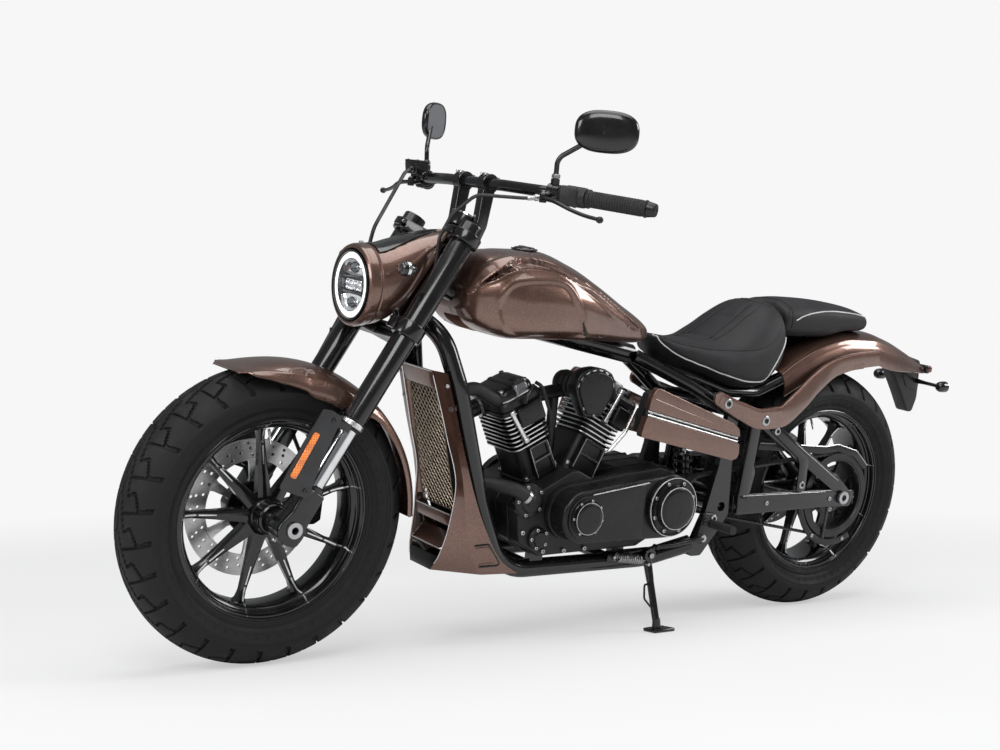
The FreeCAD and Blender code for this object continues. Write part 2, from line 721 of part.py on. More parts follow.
def make_front_indicators():
    x = float(s.lamp_x) - 74
    z = float(s.lamp_z) + 44
    spots = [(vec(x, side * (float(s.nacelle_radius) - 24), z), vec(x - 8, side * 128, z + 6),
              vec(x + 26, side * 128, z + 6)) for side in (1, -1)]
    shapes = []
    for foot, back, front in spots:
        side = 1 if foot.y > 0 else -1
        stalk = rod(foot, vec(foot.x, side * 122, z + 5), 5)
        lamp = joined([cone(back, vec(back.x + 10, back.y, back.z), 9, 15), rod(vec(back.x + 10, back.y, back.z),
                                                                             front, 15)])
        shapes.append(main_solid(joined([stalk, lamp]).cut(placed("headlamp_nacelle"))))
    feature("front_indicators", Part.makeCompound(shapes))


def make_gauge():
    """Round instrument over the tail of the nacelle, tilted to the rider, on a bracket from the upper yoke."""
    place = FORK.multiply(shift(6, 0, s.top_yoke + s.top_yoke_thick))
    body = new_body("gauge", place)
    drawing = sketch(body, "section", "XZ_Plane", [(0, 0), (18, 0), (18, 22), (32, 30), (34, 58), (30, 62), (0, 59)])
    turned(body, drawing, "V_Axis")


BAR = {}


def bar_point(share, side):
    """A point of the handlebar's end run: 0 at the inner bend, 1 at the grip's end."""
    inner, outer = BAR["bend"], BAR["end"]
    point = inner + (outer - inner) * share
    return vec(point.x, point.y * side, point.z)


def make_handlebar():
    clamp = vec(s.bar_x, 0, s.bar_z)
    BAR["bend"] = clamp + vec(-19, 239, -3)
    BAR["end"] = clamp + vec(-146, 432, -18)
    points = [BAR["end"], BAR["bend"], clamp + vec(0, 112, 0), clamp + vec(0, -112, 0),
              vec(BAR["bend"].x, -BAR["bend"].y, BAR["bend"].z), vec(BAR["end"].x, -BAR["end"].y, BAR["end"].z)]
    BAR["points"] = points
    feature("handlebar", tube(points, s.bar_radius, 90))


def make_risers():
    """Two dog-leg risers from the upper yoke, pulled back to clamps round the bar."""
    foot = fork_point(-8, 0, float(s.top_yoke + s.top_yoke_thick))
    clamp = vec(s.bar_x, 0, s.bar_z)
    clamp_outer = float(s.bar_radius) + 9
    shapes = []
    for side in (1, -1):
        way = (clamp - foot).normalize()
        across = vec(way.z, 0, -way.x)
        points = [foot + across * 17, foot - across * 15, foot + way * 50 - across * 24, clamp - across * 16,
                  clamp + across * 16, foot + way * 55 + across * 3]
        y = 36 * side
        wire = rounded([vec(point.x, y, point.z) for point in points], 8)
        plate = Part.Face(wire).extrude(vec(0, 26 * side, 0))
        ring = rod(vec(clamp.x, y, clamp.z), vec(clamp.x, y + 26 * side, clamp.z), clamp_outer)
        hole = rod(vec(clamp.x, y - 5 * side, clamp.z), vec(clamp.x, y + 31 * side, clamp.z),
                   float(s.bar_radius + s.running_gap))
        trim = block(vec(-200, -200, -100), vec(200, 200, 0))
        trim.Placement = FORK.multiply(shift(0, 0, s.top_yoke + s.top_yoke_thick))
        shapes.append(plate.fuse(ring).cut(hole).cut(trim).removeSplitter())
    feature("risers", Part.makeCompound(shapes))


def make_grips():
    shapes = []
    for side in (1, -1):
        sleeve = rod(bar_point(0.405, side), bar_point(0.97, side), s.grip_radius)
        hole = rod(bar_point(0.3, side), bar_point(1.1, side), s.bar_radius + s.running_gap)
        end = cone(bar_point(0.965, side), bar_point(1.06, side), float(s.grip_radius) - 1, 13)
        tip = rod(bar_point(0.3, side), bar_point(1.002, side), s.bar_radius + s.running_gap)
        shapes.append(joined([sleeve.cut(hole), end.cut(tip)]))
    feature("grips", Part.makeCompound(shapes))


def make_controls():
    """Perch, switch housing and lever on each end of the bar."""
    sides = []
    bar = tube(BAR["points"], s.bar_radius + s.running_gap, 90)
    for side in (1, -1):
        perch_low = bar_point(0.02, side)
        perch_high = bar_point(0.14, side)
        housing = rod(bar_point(0.2, side), bar_point(0.4, side), 22)
        perch = rod(perch_low, perch_high, 19)
        joint = rod(bar_point(0.13, side), bar_point(0.21, side), 15.5)
        mid = (perch_low + perch_high) * 0.5
        arm = rod(mid, mid + vec(34, 8 * side, -12), 9)
        lever_root = mid + vec(34, 10 * side, -12)
        tip = vec(s.bar_x - 19, 428 * side, float(s.bar_z) - 46)
        knee = lever_root + vec(0, 52 * side, -6)
        lever = tube([lever_root, knee, tip], 6, 40)
        ball = Part.makeSphere(8, tip)
        post = rod(mid, mid + vec(0, 2 * side, 30), 8)
        shapes = [housing, perch, joint, arm, lever, ball, post]
        if side < 0:
            shapes.append(block(mid + vec(8, -24, 6), mid + vec(48, 26, 40)))
            hose = [mid + vec(30, 4, 22), mid + vec(70, 22, 12), fork_point(104, -158, 676), fork_point(66, -154, 560),
                    fork_point(52, -154, 330), fork_point(16, -140, 190), fork_point(-52, -78, 120),
                    fork_point(-66, -74, 84)]
            shapes.append(tube(hose, 4.5, 45))
        else:
            cable = [mid + vec(6, -2, -8), mid + vec(52, -22, -16), fork_point(90, 128, 800), fork_point(90, 88, 750),
                     fork_point(86, 82, 690), fork_point(58, 80.5, 640), fork_point(30, 74, 570),
                     fork_point(28, 60, float(s.low_yoke + s.yoke_thick) + 0.1)]
            shapes.append(tube(cable, 4, 40))
        sides.append(main_solid(joined(shapes).cut([bar, placed("front_caliper")])))
    feature("hand_controls", Part.makeCompound(sides))


def make_mirrors():
    """Stem up from the perch, bent out to a head turned in to the rider."""
    mirrors = []
    for side in (1, -1):
        foot = (bar_point(0.02, side) + bar_point(0.14, side)) * 0.5 + vec(0, 2 * side, 30.3)
        centre = vec(s.bar_x - 93, 331 * side, float(s.bar_z) + 131)
        stem = tube([foot, foot + vec(2, 2 * side, 42), centre + vec(7, 9 * side, 2)], 5.5, 26)
        sections = []
        for depth, grow in ((-2, 0.93), (2, 1.0), (12, 0.97), (21, 0.62)):
            curve = Part.BSplineCurve()
            ring = []
            for index in range(16):
                angle = 2 * math.pi * index / 16
                across = 67 * grow * math.copysign(abs(math.cos(angle)) ** 0.75, math.cos(angle))
                up = 44 * grow * math.copysign(abs(math.sin(angle)) ** 0.75, math.sin(angle))
                ring.append(vec(depth, across, up))
            curve.interpolate(Points=ring, PeriodicFlag=True)
            sections.append(Part.Wire(curve.toShape()))
        head = Part.makeLoft(sections, True)
        head.Placement = FreeCAD.Placement(centre, FreeCAD.Rotation(Z_AXIS, 52 * side))
        mirrors.append(joined([head, stem]))
    feature("mirrors", Part.makeCompound(mirrors))


# Frame and engine

def make_frame():
    head_low = float(s.low_yoke + s.yoke_thick) + 4
    head_high = float(s.top_yoke) - 4
    head = Part.makeCylinder(float(s.head_radius), head_high - head_low, vec(0, 0, head_low), Z_AXIS)
    head.Placement = FORK
    bore = Part.makeCylinder(float(s.stem_radius) + 0.1, 400, vec(0, 0, head_low - 50), Z_AXIS)
    bore.Placement = FORK
    radius = float(s.frame_tube)
    half = float(s.cradle_half)
    rail = float(s.rail_height)
    plate_low = float(s.plate_inner)
    plate_high = float(s.plate_outer)
    plate_middle = (plate_low + plate_high) / 2
    low = fork_point(0, 0, head_low + 42)
    shapes = [head, tube([fork_point(0, 0, head_high - 70), vec(1010, 0, 744), vec(640, 0, 672)], 24, 120)]
    for side in (1, -1):
        down = [low, vec(1222, 66 * side, 716), vec(1188, half * side, 606), vec(1108, half * side, 352),
                vec(1040, half * side, rail), vec(610, half * side, rail), vec(500, (plate_middle - 2) * side, 226)]
        shapes.append(tube(down, radius, 110))
        outline = [(516, 196), (470, 300), (440, 420), (428, 560), (394, 566), (398, 420), (392, 296), (424, 252),
                   (470, 196)]
        shapes.append(side_plate(outline, plate_low * side, plate_high * side, 12))
        back = [vec(640, 24 * side, 670), vec(520, 90 * side, 612), vec(412, plate_middle * side, 552)]
        shapes.append(tube(back, s.rail_tube + 3, 60))
        rails = [vec(640, 20 * side, 668), vec(500, 78 * side, 628), vec(384, 80 * side, 592),
                 vec(284, 80 * side, 588), vec(150, 78 * side, 640), vec(-60, 72 * side, 684)]
        shapes.append(tube(rails, s.rail_tube, 80))
    shapes.append(rod(vec(402, -plate_low - 4, 548), vec(402, plate_low + 4, 548), 12))
    for x in (940, 700):
        shapes.append(rod(vec(x, -half, rail), vec(x, half, rail), 13))
        shapes.append(block(vec(x - 18, -half - 10, rail), vec(x + 18, -half + 10, rail + 60)))
        shapes.append(block(vec(x - 18, half - 10, rail), vec(x + 18, half + 10, rail + 60)))
    shapes.append(rod(vec(-40, -72, 680), vec(-40, 72, 680), 10))
    strut_face = float(s.strut_half) - 4
    shapes.append(rod(vec(455, -strut_face, 570), vec(455, strut_face, 570), 10))
    for x, z in ((1080, 752), (760, 726)):
        shapes.append(rod(vec(x, -float(s.tunnel_half), z), vec(x, s.tunnel_half, z), 9.5))
    pivot = rod(vec(s.pivot_x, -plate_high - 10, s.pivot_z), vec(s.pivot_x, plate_high + 10, s.pivot_z),
                s.axle_bore + 4)
    whole = shapes[0].multiFuse(shapes[1:]).cut([bore, pivot, placed("engine_cases")])
    feature("frame", main_solid(whole.removeSplitter()))


def make_engine():
    place = shift(s.crank_x, 0, s.crank_z)
    tilt = math.radians(float(s.bank_angle))
    foot = float(s.barrel_foot)
    deck = float(s.barrel_half) + 4
    middle = float(s.vee_x - s.crank_x)
    lift = float(s.vee_z - s.crank_z)
    ahead = foot * math.sin(tilt)
    up = foot * math.cos(tilt) + lift
    out = deck * math.cos(tilt)
    drop = deck * math.sin(tilt)
    body = new_body("engine_cases", place)
    drawing = sketch(body, "side view", "XZ_Plane",
                     [(middle + ahead + out, up - drop), (middle + ahead - out, up + drop),
                      (middle - ahead + out, up + drop), (middle - ahead - out, up - drop), (-205, 78), (-318, 86),
                      (-330, 20), (-300, -58), (-220, -98), (70, -104), (128, -70), (142, 10), (124, 40)])
    pad(body, drawing, s.case_half * 2, both=True)
    for name, side in (("front_cylinder", 1), ("rear_cylinder", -1)):
        make_cylinder(name, side)
    make_primary_cover()
    make_right_cover()
    make_intake()


def make_cylinder(name, side):
    """A finned barrel under a head and rocker cover, with its lifter block and pushrod cover on the left."""
    turn = FreeCAD.Rotation(Y_AXIS, float(s.bank_angle) * side)
    place = FreeCAD.Placement(vec(s.vee_x, 0, s.vee_z), turn)
    body = new_body(name, place)
    half = s.barrel_half
    first_fin = s.barrel_foot + s.fin_start
    top = first_fin + s.fin_pitch * s.fin_count
    core = sketch(body, "core", "XY_Plane", rounded_box(half, half + 8, 18), lift=s.barrel_foot)
    pad(body, core, s.fin_start + s.fin_pitch * s.fin_count)
    fin = sketch(body, "fin", "XY_Plane", rounded_box(s.fin_half, s.fin_half + 8, 22), lift=first_fin)
    first = pad(body, fin, s.fin_thick)
    stack = body.newObject("PartDesign::LinearPattern", "fins")
    stack.Originals = [first]
    stack.Direction = (fin, ["N_Axis"])
    stack.Length = float(s.fin_pitch) * (float(s.fin_count) - 1)
    stack.setExpression("Length", (s.fin_pitch * (s.fin_count - 1)).text)
    stack.Occurrences = int(float(s.fin_count))
    stack.setExpression("Occurrences", s.fin_count.text)
    body.Tip = stack
    head = sketch(body, "head", "XY_Plane", rounded_box(s.fin_half + 1, s.fin_half + 12, 20), lift=top)
    pad(body, head, 34)
    cover = sketch(body, "rocker cover", "XY_Plane", rounded_box(half + 4, half + 16, 24), lift=top + 34)
    pad(body, cover, 26, taper=-12)
    foot = s.barrel_foot
    face = s.fin_half + 8
    block_side = {1: [(-38, foot + 2), (22, foot + 2), (20, foot + 84), (-36, foot + 84)],
                  -1: [(-37, foot + 2), (37, foot + 2), (37, foot + 84), (-37, foot + 84)]}[side]
    lifters = sketch(body, "lifter block", "XZ_Plane", block_side, lift=-(half - 6))
    pad(body, lifters, face - half + 8, back=True)
    port_side = {1: [(-45, top - 40), (24, top - 40), (24, top + 12), (-45, top + 12)],
                 -1: [(-50, top - 40), (-6, top - 40), (-6, top + 12), (-50, top + 12)]}[side]
    port = sketch(body, "head's side", "XZ_Plane", port_side, lift=-(half - 6))
    pad(body, port, face - half + 14, back=True)
    low, high = {1: ((22, first_fin + 20), (37, top + 12)), -1: ((10, first_fin + 50), (2, top + 44))}[side]
    pushrods = sketch(body, "pushrod cover", "XZ_Plane",
                      [(low[0] - 7, low[1]), (low[0] + 7, low[1]), (high[0] + 7, high[1]), (high[0] - 7, high[1])],
                      lift=-(face - 4))
    pad(body, pushrods, 18, back=True)


def rounded_box(half_x, half_y, corner):
    """A rectangle round the origin with arcs at its corners, anticlockwise."""
    near = half_x - corner
    far = half_y - corner
    return [(-near, -half_y, corner), (near, -half_y), (half_x, -far, corner), (half_x, far), (near, half_y, corner),
            (-near, half_y), (-half_x, far, corner), (-half_x, -far)]


def make_primary_cover():
    """Long cover over the belt's first stage: a round boss in front, the clutch cover behind."""
    body = new_body("primary_cover", shift(s.crank_x, s.case_half, s.crank_z))
    outline = [(0, -62), (62, 0, 62), (0, 62, 62), (-246, 92), (-326, 14, 78), (-246, -62, 78)]
    depth = s.primary_face - s.case_half
    drawing = sketch(body, "outline", "XZ_Plane", outline, lift=0)
    pad(body, drawing, depth, back=True)
    boss = circle_sketch(body, "front boss", "XZ_Plane", [(2, 2)], 44, lift=-depth)
    pad(body, boss, 14, back=True)
    clutch = circle_sketch(body, "clutch cover", "XZ_Plane", [(-250, 16)], 72, lift=-depth)
    pad(body, clutch, 26, back=True)


def make_right_cover():
    body = new_body("right_engine_cover", shift(s.crank_x, -s.case_half, s.crank_z))
    outline = [(0, -84), (84, 0, 84), (0, 84, 84), (-190, 70), (-250, 10, 62), (-190, -64, 70)]
    drawing = sketch(body, "outline", "XZ_Plane", outline, lift=0)
    pad(body, drawing, 34)
    disc = circle_sketch(body, "alternator cover", "XZ_Plane", [(0, 0)], 66, lift=34)
    pad(body, disc, 14)


def make_intake():
    """Air cleaner cover on the left, in the V between the cylinders, its trunk behind and the pipe to the cases."""
    height = 309
    inner = s.fin_half + 15
    body = new_body("intake_cover", shift(s.vee_x - 39, inner, s.vee_z + height))
    outline = [(24, -56), (57, 6, 96), (0, 58, 60), (-57, 6, 60), (-24, -56, 96)]
    drawing = sketch(body, "shield", "XZ_Plane", outline, lift=0)
    pad(body, drawing, 40, back=True, taper=-4)
    trunk = circle_sketch(body, "trunk", "XZ_Plane", [(0, 6)], 29, lift=0)
    pad(body, trunk, inner + 26)
    bank = math.radians(float(s.bank_angle))
    floor = s.barrel_foot * math.cos(bank) + (s.barrel_half + 4) * math.sin(bank) + 0.2
    manifold = circle_sketch(body, "manifold", "XY_Plane", [(39, -inner)], 12, lift=floor - height)
    pad(body, manifold, height - floor)


def make_radiator():
    top = vec(1222, 0, 618)
    low = vec(1136, 0, 330)
    half = 66
    way = (top - low).normalize()
    back = vec(-way.z, 0, way.x)
    points = [top, low, low + back * 34, top + back * 34]
    wire = Part.makePolygon([vec(point.x, -half, point.z) for point in points + [top]])
    core = Part.Face(wire).extrude(vec(0, 2 * half, 0))
    pins = [rod(vec(x, -80, z), vec(x, 80, z), 6) for x, z in ((1186, 560), (1122, 352))]
    feature("radiator", main_solid(joined([core] + pins).cut(placed("frame"))))


def make_radiator_cowl():
    """Two side panels ahead of the cradle tubes, joined by a top bar, a sill, a chin and a floor."""
    wall = float(s.sheet_wall)
    stations = [(640, (1242, 66), (1234, 86), (1228, 106)), (500, (1198, 78), (1190, 98), (1184, 116)),
                (376, (1164, 84), (1156, 104), (1140, 120)), (290, (1168, 76), (1140, 106), (1100, 122)),
                (217, (1180, 62), (1120, 112), (1052, 124)), (184, (1188, 42), (1096, 112), (1003, 124))]
    shapes = []
    for side in (1, -1):
        wires = []
        for z, front, middle, back in stations:
            corners = [vec(front[0], front[1] * side, z), vec(middle[0], middle[1] * side, z),
                       vec(back[0], back[1] * side, z), vec(back[0] - 1, (back[1] - wall) * side, z),
                       vec(middle[0] - 3, (middle[1] - wall) * side, z),
                       vec(front[0] - wall, (front[1] - wall) * side, z)]
            wires.append(Part.makePolygon(corners + [corners[0]]))
        shapes.append(Part.makeLoft(wires, True, True))
    top = [vec(1242, -64, 640), vec(1242, 64, 640), vec(1229, 67, 600), vec(1229, -67, 600)]
    sill = [vec(1165, -74, 316), vec(1165, 74, 316), vec(1166, 73, 290), vec(1166, -73, 290)]
    chin = [vec(1180, -60, 217), vec(1180, 60, 217), vec(1188, 41, 184), vec(1188, -41, 184)]
    for corners in (top, sill, chin):
        shapes.append(Part.Face(Part.makePolygon(corners + [corners[0]])).extrude(vec(-wall - 1, 0, 0)))
    floor = [vec(1187, -41, 184), vec(1187, 41, 184), vec(1094, 110, 184), vec(1046, 118, 184), vec(1046, -118, 184),
             vec(1094, -110, 184)]
    shapes.append(Part.Face(Part.makePolygon(floor + [floor[0]])).extrude(vec(0, 0, wall)))
    for side in (1, -1):
        for start, end in (((1209, 100, 560), (1178, 95, 560)), ((1122, 112, 290), (1082, 95, 290))):
            shapes.append(rod(vec(start[0], start[1] * side, start[2]), vec(end[0], end[1] * side, end[2]), 6))
    feature("radiator_cowl", main_solid(joined(shapes).cut(placed("frame"))))


def make_grille():
    top = vec(1220, 0, 598)
    low = vec(1152, 0, 322)
    wire = Part.makePolygon([vec(top.x, -60, top.z), vec(top.x, 60, top.z), vec(low.x, 66, low.z),
                             vec(low.x, -66, low.z), vec(top.x, -60, top.z)])
    feature("grille", Part.Face(wire).extrude(vec(-3, 0, 0)))


def make_tank():
    front = float(s.tank_front)
    length = front - float(s.tank_rear)
    half = float(s.tank_half)
    top = float(s.tank_top)
    floor = float(s.tank_floor)
    table = [(0.0, 0.45, 62, -76, 0.45), (0.035, 0.66, 30, -44, 0.5), (0.12, 0.88, 8, -8, 0.46),
             (0.22, 0.98, 0, 0, 0.42), (0.36, 1.0, 1, 1, 0.42), (0.5, 0.95, 0, -22, 0.42), (0.64, 0.84, 0, -60, 0.42),
             (0.78, 0.68, -2, -105, 0.45), (0.9, 0.48, -4, -144, 0.5), (1.0, 0.26, 0, -172, 0.5)]
    sections = []
    for share, width, lift, fall, waist in table:
        low = floor + lift
        high = top + fall
        sections.append(egg(front - share * length, half * width, low, high, low + (high - low) * waist, 2.2, 3.2))
    tank = Part.makeLoft(sections, True)
    tunnel = block(vec(front - length - 40, -float(s.tunnel_half), floor - 60),
                   vec(front + 40, s.tunnel_half, floor + 46))
    clear = tube([fork_point(0, 0, float(s.top_yoke) - 74), vec(1010, 0, 744), vec(640, 0, 672)], 30, 120)
    feature("fuel_tank", main_solid(tank.cut([tunnel, clear, placed("frame")])))
    cap = new_body("fuel_cap", shift(front - length * 0.33, 0, top + 2.4))
    drawing = sketch(cap, "section", "XZ_Plane", [(0, 0.3), (34, 0.3), (34, 4), (27, 9), (0, 11)])
    turned(cap, drawing, "V_Axis")


def make_seats():
    half = float(s.seat_half)
    stations = [(599, 40, 708, 738, 722), (578, 62, 690, 732, 712), (545, 92, 662, 724, 694), (490, 122, 636, 722, 676),
                (430, 146, 612, 728, 662), (370, 152, 596, 762, 660), (318, 150, 592, 798, 670),
                (270, 138, 606, 820, 700), (226, 122, 640, 823, 730)]
    sections = [egg(x, across * half / 152, low, high, waist, 2.4, 2.6) for x, across, low, high, waist in stations]
    feature("rider_seat", main_solid(Part.makeLoft(sections, True).cut(placed("frame"))))
    half = float(s.pillion_half)
    stations = [(225.7, 100, 734, 819, 778), (150, 104, 726, 827, 780), (60, 102, 726, 825, 782), (-30, 94, 742, 816, 780),
                (-90, 80, 743, 802, 776), (-126, 62, 746, 784, 770)]
    sections = [egg(x, across * half / 104, low, high, waist, 2.6, 3.4) for x, across, low, high, waist in stations]
    feature("pillion_seat", main_solid(Part.makeLoft(sections, True).cut(placed("rear_fender"))))


def fender_section(x, half, top, side, wall):
    """A closed arch: outer skin and inner skin, open below."""
    drop = top - side
    over = [vec(x, -half, side), vec(x, -half * 0.97, side + drop * 0.55), vec(x, -half * 0.6, side + drop * 0.93),
            vec(x, 0, top), vec(x, half * 0.6, side + drop * 0.93), vec(x, half * 0.97, side + drop * 0.55),
            vec(x, half, side)]
    inset = half - wall
    under = [vec(x, -inset, side), vec(x, -inset * 0.97, side + (drop - wall) * 0.55),
             vec(x, -inset * 0.6, side + (drop - wall) * 0.93), vec(x, 0, top - wall),
             vec(x, inset * 0.6, side + (drop - wall) * 0.93), vec(x, inset * 0.97, side + (drop - wall) * 0.55),
             vec(x, inset, side)]
    outer = Part.BSplineCurve()
    outer.interpolate(over)
    inner = Part.BSplineCurve()
    inner.interpolate(list(reversed(under)))
    return Part.Wire([outer.toShape(), Part.LineSegment(over[-1], under[-1]).toShape(), inner.toShape(),
                      Part.LineSegment(under[0], over[0]).toShape()])


def make_rear_fender():
    half = float(s.fender_half)
    wall = float(s.sheet_wall)
    stations = [(205, 104, 652, 582), (150, 106, 690, 612), (60, 107, 728, 655), (-30, 106, 745, 672),
                (-120, 103, 745, 664), (-200, 92, 728, 648), (-290, 70, 696, 640), (-360, 46, 668, 634),
                (-400, 30, 652, 630)]
    sections = [fender_section(x, across * half / 106, top, side, wall) for x, across, top, side in stations]
    feature("rear_fender", main_solid(Part.makeLoft(sections, True).cut(placed("frame"))))


def ribbon(stations, thick):
    """A flat bar swept through stations of place, height and slope in side view."""
    wires = []
    for x, y, z, tall, slope in stations:
        angle = math.radians(slope)
        up = vec(-math.sin(angle), 0, math.cos(angle)) * (tall / 2)
        side = vec(0, thick / 2, 0)
        middle = vec(x, y, z)
        corners = [middle - up - side, middle - up + side, middle + up + side, middle + up - side]
        wires.append(Part.makePolygon(corners + [corners[0]]))
    return Part.makeLoft(wires, True, False)


def make_fender_struts():
    half = float(s.strut_half)
    stations = [(478, half, 588, 34, 22), (400, half, 556, 44, 20), (330, 159, 536, 52, 6), (262, 154, 540, 56, -20),
                (190, 142, 576, 56, -38), (120, 128, 622, 52, -34), (40, 116, 660, 46, -18),
                (-60, 112, 678, 42, -4), (-120, 109, 682, 40, 4)]
    fender = placed("rear_fender")
    bands = []
    for side in (1, -1):
        band = ribbon([(x, y * side, z, tall, slope) for x, y, z, tall, slope in stations], 8)
        bands.append(main_solid(band.cut([fender, placed("frame")])))
    feature("fender_struts", Part.makeCompound(bands))


def make_tail():
    outline = [(-270, 712), (-394, 668), (-398, 560), (-384, 520), (-366, 520), (-330, 575), (-274, 650)]
    bracket = side_plate(outline, -22, 22, 10).cut(placed("rear_fender"))
    feature("tail_bracket", min(bracket.Solids, key=lambda solid: solid.BoundBox.ZMin))
    lamp = Part.makeBox(28, 84, 24, vec(-428, -42, 630))
    lamp = lamp.makeFillet(7, [edge for edge in lamp.Edges if abs(edge.tangentAt(0).y) > 0.9])
    shapes = [lamp]
    for side in (1, -1):
        stalk = rod(vec(-384, 22 * side, 606), vec(-384, 112 * side, 606), 5)
        flasher = rod(vec(-368, 112 * side, 606), vec(-402, 112 * side, 606), 15)
        shapes.append(joined([stalk, flasher]))
    feature("tail_lamps", Part.makeCompound(shapes))


def make_side_covers():
    points = [(690, 604), (672, 616), (424, 528), (400, 508), (398, 452), (420, 436), (716, 502), (706, 552)]
    inset = [(684, 600), (668, 608), (540, 562), (530, 550), (530, 474), (540, 468), (708, 506), (700, 552)]
    covers = []
    inner = float(s.plate_outer)
    for side in (1, -1):
        plate = side_plate(points, inner * side, (inner + 20) * side, 14)
        box = side_plate(inset, (inner - 28) * side, inner * side, 8)
        ribs = side_plate([(690, 558), (690, 548), (402, 478), (402, 486)], (inner + 20) * side,
                          (inner + 24) * side, 2)
        covers.append(joined([plate, box, ribs]))
    feature("side_covers", Part.makeCompound(covers))


# Rear end

def make_swingarm():
    """Two triangulated sides joined ahead of the tyre and hung on a spool between the pivot plates."""
    outer = float(s.arm_outer)
    inner = float(s.arm_inner)
    x, z = float(s.pivot_x), float(s.pivot_z)
    axle_z = float(s.tyre_radius)
    top = vec(330, 0, 540)
    shapes = []
    for side in (1, -1):
        lower = [(x - 50, z + 30), (x - 50, z - 24), (60, axle_z - 24), (-34, axle_z - 26), (-44, axle_z + 18),
                 (40, axle_z + 22)]
        shapes.append(side_plate(lower, inner * side, outer * side, 8))
        upper = [(-40, axle_z + 4), (0, axle_z + 40), (top.x - 12, top.z + 14), (top.x + 18, top.z - 10),
                 (10, axle_z + 4)]
        shapes.append(side_plate(upper, inner * side, outer * side, 8))
        front = [(top.x - 16, top.z), (top.x + 16, top.z + 6), (x - 50, z + 16), (x - 84, z + 10)]
        shapes.append(side_plate(front, inner * side, outer * side, 6))
    shapes.append(rod(vec(top.x, -inner, top.z), vec(top.x, inner, top.z), 12))
    shapes.append(block(vec(x - 74, -inner, z - 16), vec(x - 50, inner, z + 24)))
    for side in (1, -1):
        shapes.append(block(vec(x - 52, side * 56 - 14, z - 12), vec(x - 4, side * 56 + 14, z + 14)))
    reach = float(s.plate_inner - s.seat_gap)
    shapes.append(rod(vec(x, -reach, z), vec(x, reach, z), 17))
    whole = shapes[0].multiFuse(shapes[1:])
    hole = rod(vec(0, -outer - 20, axle_z), vec(0, outer + 20, axle_z), s.axle_radius + s.running_gap)
    spool = rod(vec(x, -reach - 20, z), vec(x, reach + 20, z), s.axle_bore)
    feature("swingarm", main_solid(whole.cut([hole, spool, placed("frame")])))


def make_shock():
    low = vec(s.pivot_x, 0, float(s.pivot_z) + 10)
    high = vec(455, 0, 566)
    way = (high - low).normalize()
    body = joined([rod(low, high, 9), rod(low + way * 34, high - way * 40, 26)])
    feature("rear_shock", main_solid(body.cut([placed("frame"), placed("swingarm")])))


def make_belt():
    """One closed loop round the engine's sprocket and the rear pulley."""
    big = float(s.pulley_radius + s.seat_gap)
    small = float(s.sprocket_radius)
    rear = vec(0, 0, s.tyre_radius)
    front = vec(s.output_x, 0, s.output_z)
    thick = float(s.belt_thick)
    low = float(s.belt_plane - s.belt_width / 2)

    def loop(extra):
        first, second = big + extra, small + extra
        gap = front - rear
        slope = math.atan2(gap.z, gap.x)
        lean = math.acos((first - second) / gap.Length)
        marks = []
        for centre, radius in ((rear, first), (front, second)):
            for sign in (1, -1):
                angle = slope + sign * lean
                marks.append(centre + vec(math.cos(angle), 0, math.sin(angle)) * radius)
        rear_back = rear - vec(math.cos(slope), 0, math.sin(slope)) * first
        front_end = front + vec(math.cos(slope), 0, math.sin(slope)) * second
        edges = [Part.Arc(marks[1], rear_back, marks[0]).toShape(), Part.LineSegment(marks[0], marks[2]).toShape(),
                 Part.Arc(marks[2], front_end, marks[3]).toShape(), Part.LineSegment(marks[3], marks[1]).toShape()]
        return Part.Face(Part.Wire(edges))
    ring = loop(thick).cut(loop(0))
    ring.translate(vec(0, low, 0))
    feature("drive_belt", ring.extrude(vec(0, s.belt_width, 0)))


def make_exhaust():
    radius = s.header_radius
    y = -(float(s.arm_outer) + float(s.silencer_radius) + 10)
    front = tube([vec(1030, -30, 550), vec(1092, -36, 520), vec(1072, -104, 400), vec(1048, y * 0.8, 290),
                  vec(900, y * 0.88, 236), vec(640, y * 0.97, 246), vec(560, y, 250), vec(470, y, 250)], radius, 55)
    rear = tube([vec(700, -30, 545), vec(650, -40, 521), vec(640, -84, 446), vec(626, y, 400), vec(570, y, 338),
                 vec(470, y, 338)], radius, 36)
    engine = [placed("front_cylinder"), placed("rear_cylinder")]
    feature("exhaust_headers", Part.makeCompound([main_solid(pipe.cut(engine)) for pipe in (front, rear)]))
    shell = float(s.silencer_radius)
    cans = []
    for z, tail in ((250, -96), (338, 40)):
        start = vec(470, y, z)
        nose = vec(420, y, z)
        cans.append(joined([cone(start, nose, float(radius) + 1, shell), rod(nose, vec(tail, y, z), shell)]))
    feature("silencers", Part.makeCompound(cans))


def make_foot_controls():
    """Peg, lever and their bracket on each pivot plate."""
    face = float(s.plate_outer)
    sides = []
    for side in (1, -1):
        base = side_plate([(482, 306), (434, 300), (440, 262), (478, 226), (500, 236)], face * side,
                          (face + 12) * side, 8)
        peg = rod(vec(470, (face + 4) * side, 282), vec(476, (face + 112) * side, 286), 11)
        lever = tube([vec(484, (face + 18) * side, 244), vec(560, (face + 24) * side, 236),
                      vec(640, (face + 20) * side, 232)], 6, 30)
        pin = rod(vec(484, face * side, 244), vec(484, (face + 24) * side, 244), 9)
        sides.append(joined([base, peg, lever, pin]))
    feature("foot_controls", Part.makeCompound(sides))


